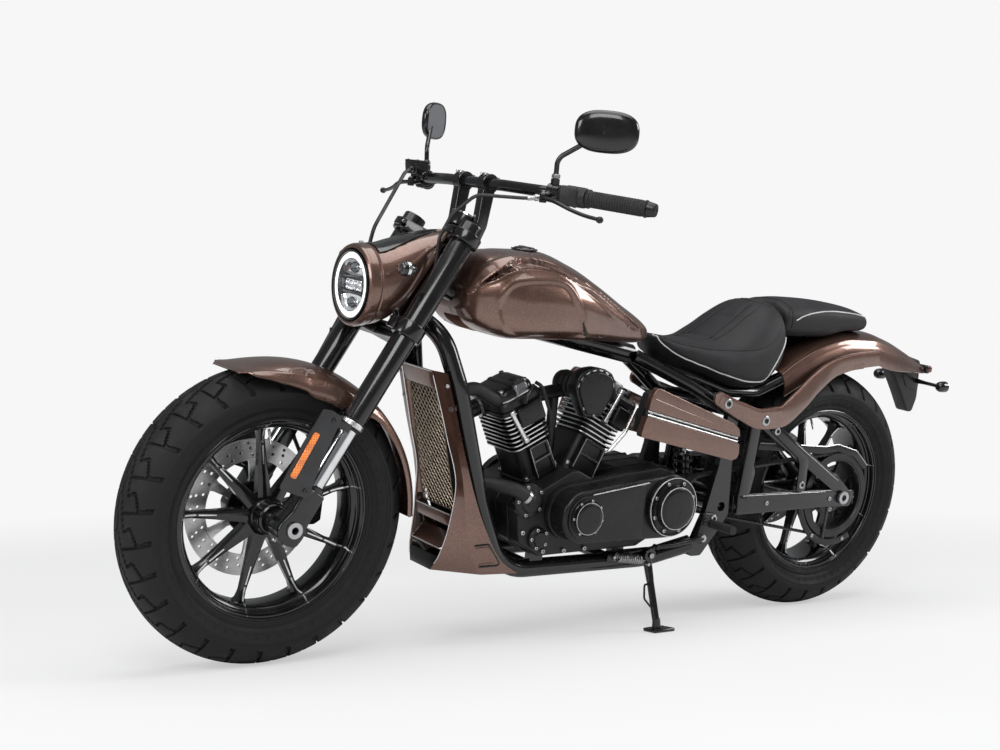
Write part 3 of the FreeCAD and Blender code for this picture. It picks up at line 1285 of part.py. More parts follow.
def make_stand():
    """Bracket on the left rail and the leg that swings down from it to its foot."""
    x, y, z = float(s.stand_x), float(s.stand_y), float(s.stand_z)
    rail_y = float(s.cradle_half)
    tab = side_plate([(x - 30, z + 8), (x + 112, z + 6), (x + 116, z - 16), (x + 20, z - 26), (x - 22, z - 22)],
                     rail_y, y, 8)
    ear = rod(vec(x, y - 8, z), vec(x, y + 26, z), 7)
    feature("stand_bracket", main_solid(joined([tab, ear]).cut(placed("frame"))))
    lean = math.radians(float(s.lean_angle))
    sink = float(s.front_tyre_half) * (1 - math.cos(lean))
    ground = -sink
    foot_y = float(s.stand_reach)
    foot_z = (ground + foot_y * math.sin(lean)) / math.cos(lean)
    foot = vec(x - 8, foot_y, foot_z)
    eye = vec(x, y + 13, z)
    knee = vec(x - 1, y + 20, z - 40)
    leg = tube([vec(x, y + 13, z - 8), knee, foot + vec(2, -3, 12)], s.stand_tube, 30)
    ring = rod(eye - vec(0, 9, 0), eye + vec(0, 9, 0), 17)
    hole = rod(eye - vec(0, 20, 0), eye + vec(0, 20, 0), 7.3)
    pad_solid = Part.makeBox(64, 46, 9, vec(-34, -20, 0))
    pad_solid = pad_solid.makeFillet(8, [edge for edge in pad_solid.Edges if abs(edge.tangentAt(0).z) > 0.9])
    pad_solid.Placement = FreeCAD.Placement(foot, FreeCAD.Rotation(X_AXIS, float(s.lean_angle)))
    neck = rod(foot + vec(2, -3, 6), foot + vec(3, -6, 30), 11)
    feature("side_stand", joined([leg, ring, neck, pad_solid]).cut(hole))


def make_all():
    make_front_wheel()
    make_rear_wheel()
    make_axles()
    make_fork_leg("fork_leg_left", 1)
    make_fork_leg("fork_leg_right", -1)
    make_yokes()
    make_fork_guards()
    make_front_fender()
    make_front_caliper()
    make_nacelle()
    make_headlamp()
    make_front_indicators()
    make_gauge()
    make_handlebar()
    make_risers()
    make_grips()
    make_controls()
    make_mirrors()
    make_engine()
    make_frame()
    make_radiator()
    make_radiator_cowl()
    make_grille()
    make_tank()
    make_rear_fender()
    make_seats()
    make_fender_struts()
    make_tail()
    make_side_covers()
    make_swingarm()
    make_shock()
    make_belt()
    make_exhaust()
    make_foot_controls()
    make_stand()


def finish():
    doc.recompute()
    for thing in doc.Objects:
        if "Invalid" in thing.State or "Error" in thing.State:
            raise RuntimeError(thing.Label + " failed to rebuild: " + str(thing.State))
    lean = FreeCAD.Placement(FreeCAD.Vector(0, 0, 0), FreeCAD.Rotation(X_AXIS, -float(s.lean_angle)))
    low = [1e9] * 3
    high = [-1e9] * 3
    for piece in pieces:
        shape = piece.Shape.copy()
        shape.Placement = lean.multiply(places[piece.Label]).multiply(shape.Placement)
        box = shape.optimalBoundingBox(False, False)
        for index, (least, most) in enumerate(((box.XMin, box.XMax), (box.YMin, box.YMax), (box.ZMin, box.ZMax))):
            low[index] = min(low[index], least)
            high[index] = max(high[index], most)
    base = shift(-(low[0] + high[0]) / 2, -(low[1] + high[1]) / 2, -low[2])
    rest = base.multiply(lean)
    for piece in pieces:
        piece.Placement = rest.multiply(places[piece.Label]).multiply(piece.Placement)
    doc.recompute()
    print("origin shift", base.Base, "size", [high[i] - low[i] for i in range(3)])
    for name, point in (("rear axle", rear_axle), ("front axle", front_axle), ("steering", fork_point(0, 0, 600)),
                        ("stand", vec(s.stand_x, float(s.stand_y) + 13, s.stand_z))):
        print(name, rest.multVec(point))
    print("steering axis", rest.Rotation.multVec(fork_up), "wheel axis", rest.Rotation.multVec(Y_AXIS))
    os.makedirs("parts", exist_ok=True)
    for piece in pieces:
        shape = piece.Shape
        if shape.isNull() or not shape.isValid():
            raise RuntimeError(piece.Label + " has no valid shape")
        if not shape.Solids:
            raise RuntimeError(piece.Label + " has no solid")
        shape.exportStep(os.path.join("parts", piece.Label + ".step"))
        print("%-22s solids %d volume %.0f" % (piece.Label, len(shape.Solids), shape.Volume))


make_all()
finish()
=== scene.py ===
import math
import json

import bmesh
import bpy
from bpy.props import FloatProperty, FloatVectorProperty, IntProperty, PointerProperty
from mathutils import Matrix, Vector
from mathutils.bvhtree import BVHTree
from mathutils.kdtree import KDTree


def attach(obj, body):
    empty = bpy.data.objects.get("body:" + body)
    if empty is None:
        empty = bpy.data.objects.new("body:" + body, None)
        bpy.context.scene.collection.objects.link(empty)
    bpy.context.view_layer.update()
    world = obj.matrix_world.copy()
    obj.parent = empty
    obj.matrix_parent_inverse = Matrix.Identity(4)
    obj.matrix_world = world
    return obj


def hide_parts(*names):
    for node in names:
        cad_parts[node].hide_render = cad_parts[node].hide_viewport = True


bl_info = {"name": "Cruiser motorcycle", "version": (1, 0, 0), "blender": (4, 5, 0),
           "location": "3D View > Sidebar > Cruiser",
           "description": "Builds the looks of a cruiser motorcycle round its packed parts",
           "category": "Object"}

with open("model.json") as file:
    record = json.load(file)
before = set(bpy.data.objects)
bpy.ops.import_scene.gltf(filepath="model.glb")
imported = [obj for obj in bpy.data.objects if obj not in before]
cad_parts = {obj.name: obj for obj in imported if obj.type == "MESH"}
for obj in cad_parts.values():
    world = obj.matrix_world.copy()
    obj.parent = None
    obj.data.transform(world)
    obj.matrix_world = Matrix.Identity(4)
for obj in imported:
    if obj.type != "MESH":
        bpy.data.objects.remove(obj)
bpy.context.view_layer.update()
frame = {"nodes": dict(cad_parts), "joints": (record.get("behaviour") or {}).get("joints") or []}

# Places that follow from the frame: metres, X forward, Y to the rider's left, Z up from the ground

JOINTS = {joint["name"]: joint for joint in frame["joints"]}
TYRE_RADIUS = 0.322
YOKE_OFFSET = 0.05
REAR_AXLE = Vector(JOINTS["rear_wheel"]["pos_m"])
FRONT_AXLE = Vector(JOINTS["front_wheel"]["pos_m"])
ACROSS = Vector(JOINTS["rear_wheel"]["axis"]).normalized()
STEERING = Vector(JOINTS["steering"]["axis"]).normalized()
AHEAD = (FRONT_AXLE - REAR_AXLE).normalized()
UPWARD = AHEAD.cross(ACROSS)


def placing(origin, ahead, across, upward):
    """The matrix that puts an origin and three axes where they are given."""
    turn = Matrix((ahead, across, upward)).transposed().to_4x4()
    return Matrix.Translation(origin) @ turn


BIKE = placing(REAR_AXLE - UPWARD * TYRE_RADIUS, AHEAD, ACROSS, UPWARD)
FORK_AHEAD = ACROSS.cross(STEERING)
FORK = placing(FRONT_AXLE - FORK_AHEAD * YOKE_OFFSET, FORK_AHEAD, ACROSS, STEERING)
FRONT_WHEEL = placing(FRONT_AXLE, AHEAD, ACROSS, UPWARD)
REAR_WHEEL = placing(REAR_AXLE, AHEAD, ACROSS, UPWARD)
FORK_TO_BIKE = BIKE.inverted() @ FORK
X_AXIS = Vector((1, 0, 0))
Y_AXIS = Vector((0, 1, 0))
Z_AXIS = Vector((0, 0, 1))


# Sizes and colours that a user would change

class CruiserSettings(bpy.types.PropertyGroup):
    """Sizes and colours of the motorcycle and its stage"""

    paint: FloatVectorProperty(name="Paint", description="Metallic paint of tank, fenders and covers",
                               size=3, subtype="COLOR", default=(0.165, 0.089, 0.066))
    leather: FloatVectorProperty(name="Leather", description="Seat leather", size=3, subtype="COLOR",
                                 default=(0.013, 0.013, 0.0145))
    piping: FloatVectorProperty(name="Piping", description="Piping along the seats", size=3,
                                subtype="COLOR", default=(0.55, 0.55, 0.55))
    reflector: FloatVectorProperty(name="Reflector", description="Side reflector on each fork guard",
                                   size=3, subtype="COLOR", default=(0.75, 0.18, 0.012))
    tread_depth: FloatProperty(name="Tread depth", description="Depth of the tyres' grooves",
                               default=0.0055, min=0.001, max=0.01, unit="LENGTH")
    tread_pitches: IntProperty(name="Tread pitches", description="Tread blocks round each side of a tyre",
                               default=27, min=20, max=60)
    spokes: IntProperty(name="Spokes", description="Spokes in each wheel", default=9, min=5, max=12)
    fins: IntProperty(name="Fins", description="Cooling fins on each barrel", default=8, min=4, max=12)
    lens: FloatProperty(name="Lens", description="Focal length of the stage's camera, millimetres",
                        default=56.743, min=20, max=120)


def settings():
    """The scene's chosen sizes and colours."""
    return bpy.context.scene.cruiser


# Shapes: each function returns a bmesh of its own, which a piece then takes in

def turned(profile, steps=64, closed=False, angle=2 * math.pi):
    """A profile of (radius, along) pairs turned round the Y axis, starting from straight up."""
    shape = bmesh.new()
    verts = [shape.verts.new((0, along, radius)) for radius, along in profile]
    edges = [shape.edges.new(pair) for pair in zip(verts, verts[1:])]
    if closed:
        edges.append(shape.edges.new((verts[-1], verts[0])))
    whole = abs(angle - 2 * math.pi) < 1e-6
    bmesh.ops.spin(shape, geom=verts + edges, cent=(0, 0, 0), axis=(0, 1, 0), angle=angle, steps=steps,
                   use_merge=whole)
    return cleaned(shape)


def cleaned(shape, distance=1e-6):
    """Merges doubled points, drops loose ones and turns the faces outward."""
    bmesh.ops.remove_doubles(shape, verts=shape.verts, dist=distance)
    bmesh.ops.dissolve_degenerate(shape, edges=shape.edges, dist=distance)
    loose = [vert for vert in shape.verts if not vert.link_faces]
    bmesh.ops.delete(shape, geom=loose, context="VERTS")
    bmesh.ops.recalc_face_normals(shape, faces=shape.faces)
    return shape


def softened(shape, width, segments=2, angle=30):
    """Bevels the edges that are sharper than an angle, in degrees."""
    limit = math.radians(angle)
    edges = [edge for edge in shape.edges if edge.is_manifold and edge.calc_face_angle(0) > limit]
    if edges and width > 0:
        bmesh.ops.bevel(shape, geom=edges, offset=width, offset_type="OFFSET", segments=segments,
                        profile=0.5, affect="EDGES", clamp_overlap=True, material=-1)
    return shape


def slab(outline, low, high, bevel=0.0, segments=2, corner=0.0):
    """An outline of (x, z) points, as a plate from y = low to y = high."""
    shape = bmesh.new()
    verts = [shape.verts.new((x, low, z)) for x, z in outline]
    face = shape.faces.new(verts)
    if corner > 0:
        bmesh.ops.bevel(shape, geom=verts, offset=corner, offset_type="OFFSET", segments=5, profile=0.5,
                        affect="VERTICES", clamp_overlap=True, material=-1)
        face = shape.faces[:][0]
    grown = bmesh.ops.extrude_face_region(shape, geom=[face])["geom"]
    lifted = [item for item in grown if isinstance(item, bmesh.types.BMVert)]
    bmesh.ops.translate(shape, verts=lifted, vec=(0, high - low, 0))
    bmesh.ops.recalc_face_normals(shape, faces=shape.faces)
    return softened(shape, bevel, segments)


def side_plate(outline, near, far, side, *rest):
    """A slab between two distances from the middle plane, on the left (1) or the right (-1)."""
    return slab(outline, *sorted((near * side, far * side)), *rest)


def box(low, high, bevel=0.0, segments=2):
    """A block between two corners."""
    shape = bmesh.new()
    low, high = Vector(low), Vector(high)
    size = high - low
    middle = Matrix.Translation((low + high) / 2)
    bmesh.ops.create_cube(shape, size=1, matrix=middle @ Matrix.Diagonal((*size, 1)))
    return softened(shape, bevel, segments)


def at(x, y, z):
    """The matrix that moves a shape to a place."""
    return Matrix.Translation((x, y, z))


def spin(degrees, axis):
    """The matrix that turns a shape about one of the axes."""
    return Matrix.Rotation(math.radians(degrees), 4, axis)


def aimed(start, way):
    """Places local +Y along a way."""
    return Matrix.Translation(start) @ Vector(way).to_track_quat("Y", "Z").to_matrix().to_4x4()


def moved(shape, matrix):
    """The shape, carried by a matrix."""
    bmesh.ops.transform(shape, matrix=matrix, verts=shape.verts)
    return shape


def bar(start, end, radius, far_radius=None, sides=24, bevel=0.0):
    """A round bar between two places, tapered when it has a far radius."""
    start, end = Vector(start), Vector(end)
    far = radius if far_radius is None else far_radius
    length = (end - start).length
    profile = [(0, 0), (radius - bevel, 0), (radius, bevel), (far, length - bevel), (far - bevel, length),
               (0, length)]
    if bevel <= 0:
        profile = [(0, 0), (radius, 0), (far, length), (0, length)]
    return moved(turned(profile, sides), aimed(start, end - start))


def ball(centre, radius, scale=(1, 1, 1), rings=12, segments=20):
    """A ball, or an egg by its scale."""
    shape = bmesh.new()
    place = Matrix.Translation(centre) @ Matrix.Diagonal((*scale, 1))
    bmesh.ops.create_uvsphere(shape, u_segments=segments, v_segments=rings, radius=radius, matrix=place)
    return shape


def curve_points(points, bend=None, closed=False, resolution=8):
    """Curve data through points, smooth or with corners rounded by bend; the caller removes it."""
    data = bpy.data.curves.new("path", "CURVE")
    data.dimensions = "3D"
    data.resolution_u = resolution
    if bend is None:
        spline = data.splines.new("BEZIER")
        spline.bezier_points.add(len(points) - 1)
        for knot, point in zip(spline.bezier_points, points):
            knot.co = point
            knot.handle_left_type = "AUTO"
            knot.handle_right_type = "AUTO"
        spline.use_cyclic_u = closed
        return data
    knots = []
    count = len(points)
    for index, point in enumerate(points):
        point = Vector(point)
        if not closed and index in (0, count - 1):
            knots.append((point, point, point))
            continue
        back = Vector(points[index - 1]) - point
        ahead = Vector(points[(index + 1) % count]) - point
        angle = back.angle(ahead)
        cut = min(bend / max(math.tan(angle / 2), 0.01), back.length * 0.48, ahead.length * 0.48)
        reach = cut * 0.5523
        first = point + back.normalized() * cut
        last = point + ahead.normalized() * cut
        knots.append((first, first, point + back.normalized() * (cut - reach)))
        knots.append((last, point + ahead.normalized() * (cut - reach), last))
    spline = data.splines.new("BEZIER")
    spline.bezier_points.add(len(knots) - 1)
    for knot, (place, left, right) in zip(spline.bezier_points, knots):
        knot.handle_left_type = "FREE"
        knot.handle_right_type = "FREE"
        knot.co = place
        knot.handle_left = left
        knot.handle_right = right
    spline.use_cyclic_u = closed
    return data


def pipe(points, radius, bend=None, sides=12, closed=False, resolution=8, capped=True):
    """A round pipe along a path; bend rounds its corners, and None runs it smoothly through the points."""
    data = curve_points(points, bend, closed, resolution)
    data.bevel_depth = radius
    data.bevel_resolution = max(1, sides // 4 - 1)
    data.use_fill_caps = capped and not closed
    holder = bpy.data.objects.new("path", data)
    mesh = bpy.data.meshes.new_from_object(holder)
    shape = bmesh.new()
    shape.from_mesh(mesh)
    bpy.data.objects.remove(holder)
    bpy.data.curves.remove(data)
    bpy.data.meshes.remove(mesh)
    bmesh.ops.remove_doubles(shape, verts=shape.verts, dist=1e-6)
    return shape


def grid(columns, rows, where, wrap=False):
    """A grid whose points go to where(across, along), both from 0 to 1."""
    shape = bmesh.new()
    bmesh.ops.create_grid(shape, x_segments=columns, y_segments=rows, size=0.5)
    for vert in shape.verts:
        vert.co = where(min(max(vert.co.x + 0.5, 0.0), 1.0), min(max(vert.co.y + 0.5, 0.0), 1.0))
    if wrap:
        return cleaned(shape)
    return shape


def closed_ends(shape):
    """Fills the open ends of a shell with flat faces."""
    rims = [edge for edge in shape.edges if edge.is_boundary]
    if rims:
        bmesh.ops.holes_fill(shape, edges=rims, sides=0)
    bmesh.ops.recalc_face_normals(shape, faces=shape.faces)
    return shape


def closed_tube(columns, rows, skin):
    """A skin from skin(across, along), closed round and at both ends."""
    return closed_ends(grid(columns, rows, skin, wrap=True))


def loft(rings, capped=True):
    """Closed rings of points bridged one to the next."""
    shape = bmesh.new()
    loops = []
    for ring in rings:
        verts = [shape.verts.new(point) for point in ring]
        edges = [shape.edges.new(pair) for pair in zip(verts, verts[1:] + verts[:1])]
        loops.append((verts, edges))
    for (_, near), (_, far) in zip(loops, loops[1:]):
        bmesh.ops.bridge_loops(shape, edges=near + far)
    if capped:
        for verts, _ in (loops[0], loops[-1]):
            shape.faces.new(verts)
    bmesh.ops.recalc_face_normals(shape, faces=shape.faces)
    return shape


def thickened(shape, wall):
    """A skin given a wall."""
    bmesh.ops.recalc_face_normals(shape, faces=shape.faces)
    bmesh.ops.solidify(shape, geom=shape.faces[:], thickness=wall)
    return shape


def repeated(make, places):
    """One shape copied to each matrix."""
    shape = bmesh.new()
    first = make()
    mesh = bpy.data.meshes.new("copy")
    first.to_mesh(mesh)
    first.free()
    for place in places:
        before = len(shape.verts)
        shape.from_mesh(mesh)
        shape.verts.ensure_lookup_table()
        bmesh.ops.transform(shape, matrix=place, verts=shape.verts[before:])
    bpy.data.meshes.remove(mesh)
    return shape


def hex_bolt(radius, height):
    """A socket-head bolt that stands up along +Y."""
    socket = radius * 0.5
    return turned([(0, height * 0.45), (socket, height * 0.45), (socket, height), (radius * 0.86, height),
                   (radius, height * 0.86), (radius, 0)], 16)


def bolts(spots, way, radius=0.006, height=0.005):
    """Bolt heads at places, all facing one way."""
    return repeated(lambda: hex_bolt(radius, height), [aimed(Vector(spot), way) for spot in spots])


def eased(value, low, high):
    """0 below low, 1 above high, smooth between."""
    share = min(max((value - low) / (high - low), 0.0), 1.0)
    return share * share * (3 - 2 * share)


def bell(value, middle, width):
    """1 at the middle, fading to 0 on both sides."""
    return math.exp(-((value - middle) / width) ** 2)


def plateau(value, low, high, fall, end):
    """0 below low, 1 from high to fall, 0 above end, smooth between."""
    return eased(value, low, high) * (1 - eased(value, fall, end))


def rows_at(table, place):
    """Values of a table of rows, smoothly between its rows; the first number of a row is its place."""
    rows = sorted(table)
    count = len(rows)
    if place <= rows[0][0]:
        return rows[0][1:]
    if place >= rows[-1][0]:
        return rows[-1][1:]
    index = max(k for k in range(count - 1) if rows[k][0] <= place)
    first, second = rows[index], rows[index + 1]
    gap = second[0] - first[0]
    t = (place - first[0]) / gap

    def slope(k, column):
        """The curve's slope at a row, without overshoot."""
        if k <= 0 or k >= count - 1:
            near, far = (rows[0], rows[1]) if k <= 0 else (rows[-2], rows[-1])
            return (far[column] - near[column]) / (far[0] - near[0])
        left = (rows[k][column] - rows[k - 1][column]) / (rows[k][0] - rows[k - 1][0])
        right = (rows[k + 1][column] - rows[k][column]) / (rows[k + 1][0] - rows[k][0])
        if left * right <= 0:
            return 0.0
        return 2 * left * right / (left + right)
    result = []
    for column in range(1, len(first)):
        start, end = first[column], second[column]
        m0, m1 = slope(index, column) * gap, slope(index + 1, column) * gap
        result.append((2 * t ** 3 - 3 * t ** 2 + 1) * start + (t ** 3 - 2 * t ** 2 + t) * m0
                      + (-2 * t ** 3 + 3 * t ** 2) * end + (t ** 3 - t ** 2) * m1)
    return result


def oval(turn, half, low, high, waist, top_power, low_power):
    """A point round a section: turn 0 is the top, 0.25 the left side, 0.5 the bottom."""
    angle = 2 * math.pi * turn
    across, up = math.sin(angle), math.cos(angle)
    power = top_power if up >= 0 else low_power
    reach = high - waist if up >= 0 else waist - low
    y = half * math.copysign(abs(across) ** (2 / power), across)
    z = waist + reach * math.copysign(abs(up) ** (2 / power), up)
    return y, z


class Piece:
    """A named object that grows from shapes, each with its own finish by name."""

    def __init__(self, name):
        self.name = name
        self.shape = bmesh.new()
        self.finishes = []

    def add(self, shape, finish, place=None, mirror=False):
        """Takes in a shape; mirror adds its like on the other side of the middle plane."""
        if place is not None:
            moved(shape, place)
        if finish not in self.finishes:
            self.finishes.append(finish)
        for face in shape.faces:
            face.material_index = self.finishes.index(finish)
        mesh = bpy.data.meshes.new("part")
        shape.to_mesh(mesh)
        shape.free()
        self.shape.from_mesh(mesh)
        if mirror:
            before = len(self.shape.verts)
            faces = len(self.shape.faces)
            self.shape.from_mesh(mesh)
            self.shape.verts.ensure_lookup_table()
            self.shape.faces.ensure_lookup_table()
            flip = Matrix.Diagonal((1, -1, 1, 1))
            bmesh.ops.transform(self.shape, matrix=flip, verts=self.shape.verts[before:])
            bmesh.ops.reverse_faces(self.shape, faces=self.shape.faces[faces:])
        bpy.data.meshes.remove(mesh)
        return self

    def done(self, place, body, slot, replaces=(), sharp=32, levels=0):
        """Makes the object: at the origin, with its place in its mesh."""
        bmesh.ops.transform(self.shape, matrix=place, verts=self.shape.verts)
        mesh = bpy.data.meshes.new(self.name)
        for face in self.shape.faces:
            face.smooth = True
        self.shape.to_mesh(mesh)
        self.shape.free()
        mesh.set_sharp_from_angle(angle=math.radians(sharp))
        for finish in self.finishes:
            mesh.materials.append(FINISH[finish])
        thing = bpy.data.objects.new(self.name, mesh)
        bpy.context.scene.collection.objects.link(thing)
        if levels:
            smooth = thing.modifiers.new("Subdivision", "SUBSURF")
            smooth.levels = levels
            smooth.render_levels = levels
        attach(thing, body)
        if replaces:
            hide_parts(*replaces)
        return thing


# Finishes: shader maths as expressions, and one method that adds any other node

def toned(colour, factor):
    """A colour made darker or lighter."""
    return tuple(min(part * factor, 1.0) for part in colour)


class Value:
    """A socket that takes part in arithmetic by adding Math nodes."""

    def __init__(self, board, socket):
        self.board = board
        self.socket = socket

    def joined(self, operation, *others):
        """This value and others through one Math node."""
        return self.board.node("Math", {"operation": operation}, dict(enumerate((self,) + others)))

    def __add__(self, other):
        return self.joined("ADD", other)

    __radd__ = __add__

    def __sub__(self, other):
        return self.joined("SUBTRACT", other)

    def __rsub__(self, other):
        return self.board.node("Math", {"operation": "SUBTRACT"}, {0: other, 1: self})

    def __mul__(self, other):
        return self.joined("MULTIPLY", other)

    __rmul__ = __mul__

    def __truediv__(self, other):
        return self.joined("DIVIDE", other)

    def __mod__(self, other):
        return self.joined("MODULO", other)

    def __abs__(self):
        return self.joined("ABSOLUTE")

    def power(self, other):
        """This value to a power."""
        return self.joined("POWER", other)

    def least(self, other):
        """The smaller of two values."""
        return self.joined("MINIMUM", other)


class Board:
    """The node board of one finish."""

    def __init__(self, name, centre=None, turn=None):
        self.material = bpy.data.materials.new(name)
        self.material.use_nodes = True
        self.tree = self.material.node_tree
        self.shader = self.tree.nodes["Principled BSDF"]
        self.place = self.node("TexCoord", output="Object")
        if centre is not None:
            self.place = self.node("Mapping", {"vector_type": "TEXTURE"},
                                   {"Vector": self.place, "Location": centre, "Rotation": turn})

    def node(self, kind, options=None, inputs=None, output=0):
        """Adds a node: its options first, then the values or links of its sockets."""
        made = self.tree.nodes.new("ShaderNode" + kind)
        for name, value in (options or {}).items():
            setattr(made, name, value)
        for name, value in (inputs or {}).items():
            self.feed(made.inputs[name], value)
        return Value(self, made.outputs[output])

    def feed(self, socket, value):
        """Links a value to a socket, or sets it; a colour gets its fourth number."""
        if isinstance(value, Value):
            self.tree.links.new(value.socket, socket)
        elif socket.type == "RGBA" and len(value) == 3:
            socket.default_value = (*value, 1.0)
        else:
            socket.default_value = value

    def split(self, vector):
        """The three numbers of a vector."""
        made = self.tree.nodes.new("ShaderNodeSeparateXYZ")
        self.feed(made.inputs[0], vector)
        return [Value(self, made.outputs[index]) for index in range(3)]

    def away(self, first, second):
        """The distance from an axis, by two of the three axes of the place."""
        parts = self.split(self.place)
        return (parts[first] * parts[first] + parts[second] * parts[second]).power(0.5)

    def noise(self, scale, detail=3.0, rough=0.5, place=None, distortion=0.0):
        """Cloudy noise from 0 to 1."""
        return self.node("TexNoise", {"noise_dimensions": "3D"},
                         {"Vector": place or self.place, "Scale": scale, "Detail": detail,
                          "Roughness": rough, "Distortion": distortion})

    def cells(self, scale, feature="F1", place=None, output="Distance", spread=1.0):
        """Cells with a point in each."""
        return self.node("TexVoronoi", {"feature": feature},
                         {"Vector": place or self.place, "Scale": scale, "Randomness": spread}, output)

    def stretched(self, scale, place=None):
        """The place, scaled by axis."""
        return self.node("VectorMath", {"operation": "MULTIPLY"}, {0: place or self.place, 1: scale})

    def ramp(self, value, low, high, start=0.0, end=1.0):
        """A smooth step from one value to another."""
        return self.node("MapRange", {"interpolation_type": "SMOOTHSTEP"},
                         {"Value": value, "From Min": low, "From Max": high, "To Min": start,
                          "To Max": end})

    def mix(self, share, first, second, blend="MIX"):
        """Two colours mixed by a share."""
        made = self.tree.nodes.new("ShaderNodeMix")
        made.data_type = "RGBA"
        made.blend_type = blend
        for index, value in ((0, share), (6, first), (7, second)):
            self.feed(made.inputs[index], value)
        return Value(self, made.outputs[2])

    def bump(self, height, distance, strength=1.0, under=None):
        """A normal from a height in metres."""
        inputs = {"Height": height, "Distance": distance, "Strength": strength}
        if under is not None:
            inputs["Normal"] = under
        return self.node("Bump", None, inputs)

    def varied(self, colour, spread=0.15, scale=9.0):
        """A colour that clouds a little lighter and darker over the surface."""
        share = self.ramp(self.noise(scale, 4.0, 0.6), 0.3, 0.7)
        return self.mix(share, toned(colour, 1 - spread), toned(colour, 1 + spread))

    def done(self, colour, rough, metal=0.0, normal=None, **sockets):
        """Sets the shader: names of sockets are written with underscores for spaces."""
        values = {"Base_Color": colour, "Roughness": rough, "Metallic": metal}
        if normal is not None:
            values["Normal"] = normal
        for name, value in {**values, **sockets}.items():
            self.feed(self.shader.inputs[name.replace("_", " ")], value)
        return self.material


def metallic_paint(name, colour):
    """Metallic base with fine flakes under a clear coat."""
    board = Board(name)
    flakes = board.cells(1500.0, output="Color")
    bright = board.split(flakes)[0]
    deep = board.mix(board.ramp(bright, 0.35, 0.95), toned(colour, 0.72), toned(colour, 1.5))
    cloud = board.mix(board.ramp(board.noise(7.0, 3.0), 0.35, 0.65), (0.93, 0.93, 0.93), (1.05, 1.05, 1.05))
    tone = board.mix(1.0, deep, cloud, "MULTIPLY")
    rough = board.ramp(board.noise(18.0, 4.0), 0.3, 0.7, 0.27, 0.36)
    skin = board.bump(bright, 0.00012, 0.25)
    return board.done(tone, rough, 0.78, skin, Coat_Weight=1.0, Coat_Roughness=0.035)


def gloss_black(name, colour=(0.0045, 0.0045, 0.005), rough=0.2, coat=0.6):
    """Powder coat: deep black with a faint orange peel."""
    board = Board(name)
    peel = board.noise(420.0, 2.0)
    tone = board.varied(colour, 0.25, 14.0)
    shine = board.ramp(board.noise(24.0, 5.0, 0.65), 0.25, 0.75, rough * 0.75, rough * 1.5)
    return board.done(tone, shine, 0.0, board.bump(peel, 0.00018, 0.35), Coat_Weight=coat,
                      Coat_Roughness=0.06, Specular_IOR_Level=0.3)


def cast_black(name, colour=(0.008, 0.008, 0.0085), rough=0.46, grain=900.0, depth=0.00022):
    """Painted casting: satin black with a sandy grain and faint rubbed patches."""
    board = Board(name)
    sand = board.noise(grain, 4.0, 0.6)
    patch = board.noise(30.0, 5.0, 0.6)
    tone = board.mix(board.ramp(patch, 0.42, 0.72), colour, toned(colour, 1.7))
    shine = board.ramp(patch, 0.3, 0.75, rough * 0.85, rough * 1.25)
    return board.done(tone, shine, 0.15, board.bump(sand, depth, 0.7), Coat_Weight=0.12, Coat_Roughness=0.3,
                      Specular_IOR_Level=0.32)


def machined(name, colour=(0.66, 0.66, 0.66), rough=0.28, scale=(60.0, 900.0, 60.0)):
    """Bare metal with fine cutter marks along one way."""
    board = Board(name)
    marks = board.noise(1.0, 3.0, 0.6, board.stretched(scale))
    stain = board.noise(38.0, 5.0, 0.6)
    tone = board.mix(board.ramp(stain, 0.4, 0.75), colour, toned(colour, 0.74))
    shine = board.ramp(marks, 0.2, 0.8, rough * 0.8, rough * 1.5)
    return board.done(tone, shine, 1.0, board.bump(marks, 0.00004, 0.5))


def turned_metal(name, centre, colour=(0.5, 0.5, 0.5), rough=0.3):
    """Brake disc steel: grinding marks in circles round the axle."""
    board = Board(name, centre, TURN_OF_WHEELS)
    radius = board.away(0, 2)
    rings = board.node("TexNoise", {"noise_dimensions": "1D"},
                       {"W": radius, "Scale": 1500.0, "Detail": 3.0})
    stain = board.noise(26.0, 5.0, 0.6)
    tone = board.mix(board.ramp(stain, 0.38, 0.7), colour, toned(colour, 0.72))
    shine = board.ramp(rings, 0.2, 0.8, rough * 0.7, rough * 1.4)
    return board.done(tone, shine, 1.0, board.bump(rings, 0.00005, 0.6))


def tyre_rubber(name, centre):
    """Black rubber: fine grain, faint mould rings on the wall and a little grey dust."""
    board = Board(name, centre, TURN_OF_WHEELS)
    radius = board.away(0, 2)
    rings = board.node("TexWave", {"wave_type": "BANDS", "bands_direction": "X", "wave_profile": "SIN"},
                       {"Vector": board.node("CombineXYZ", None, {"X": radius}), "Scale": 75.0})
    grain = board.noise(1100.0, 3.0, 0.6)
    dust = board.noise(22.0, 5.0, 0.65)
    tread = board.ramp(radius, 0.288, 0.318)
    share = (board.ramp(dust, 0.4, 0.72) * (tread * 0.55 + 0.25)).least(1.0)
    tone = board.mix(share, (0.0065, 0.0065, 0.007), (0.024, 0.023, 0.0215))
    height = grain * 0.7 + rings * (1 - tread) * 0.3
    shine = board.ramp(dust, 0.3, 0.7, 0.56, 0.78)
    return board.done(tone, shine, 0.0, board.bump(height, 0.0002, 0.6), Specular_IOR_Level=0.3)


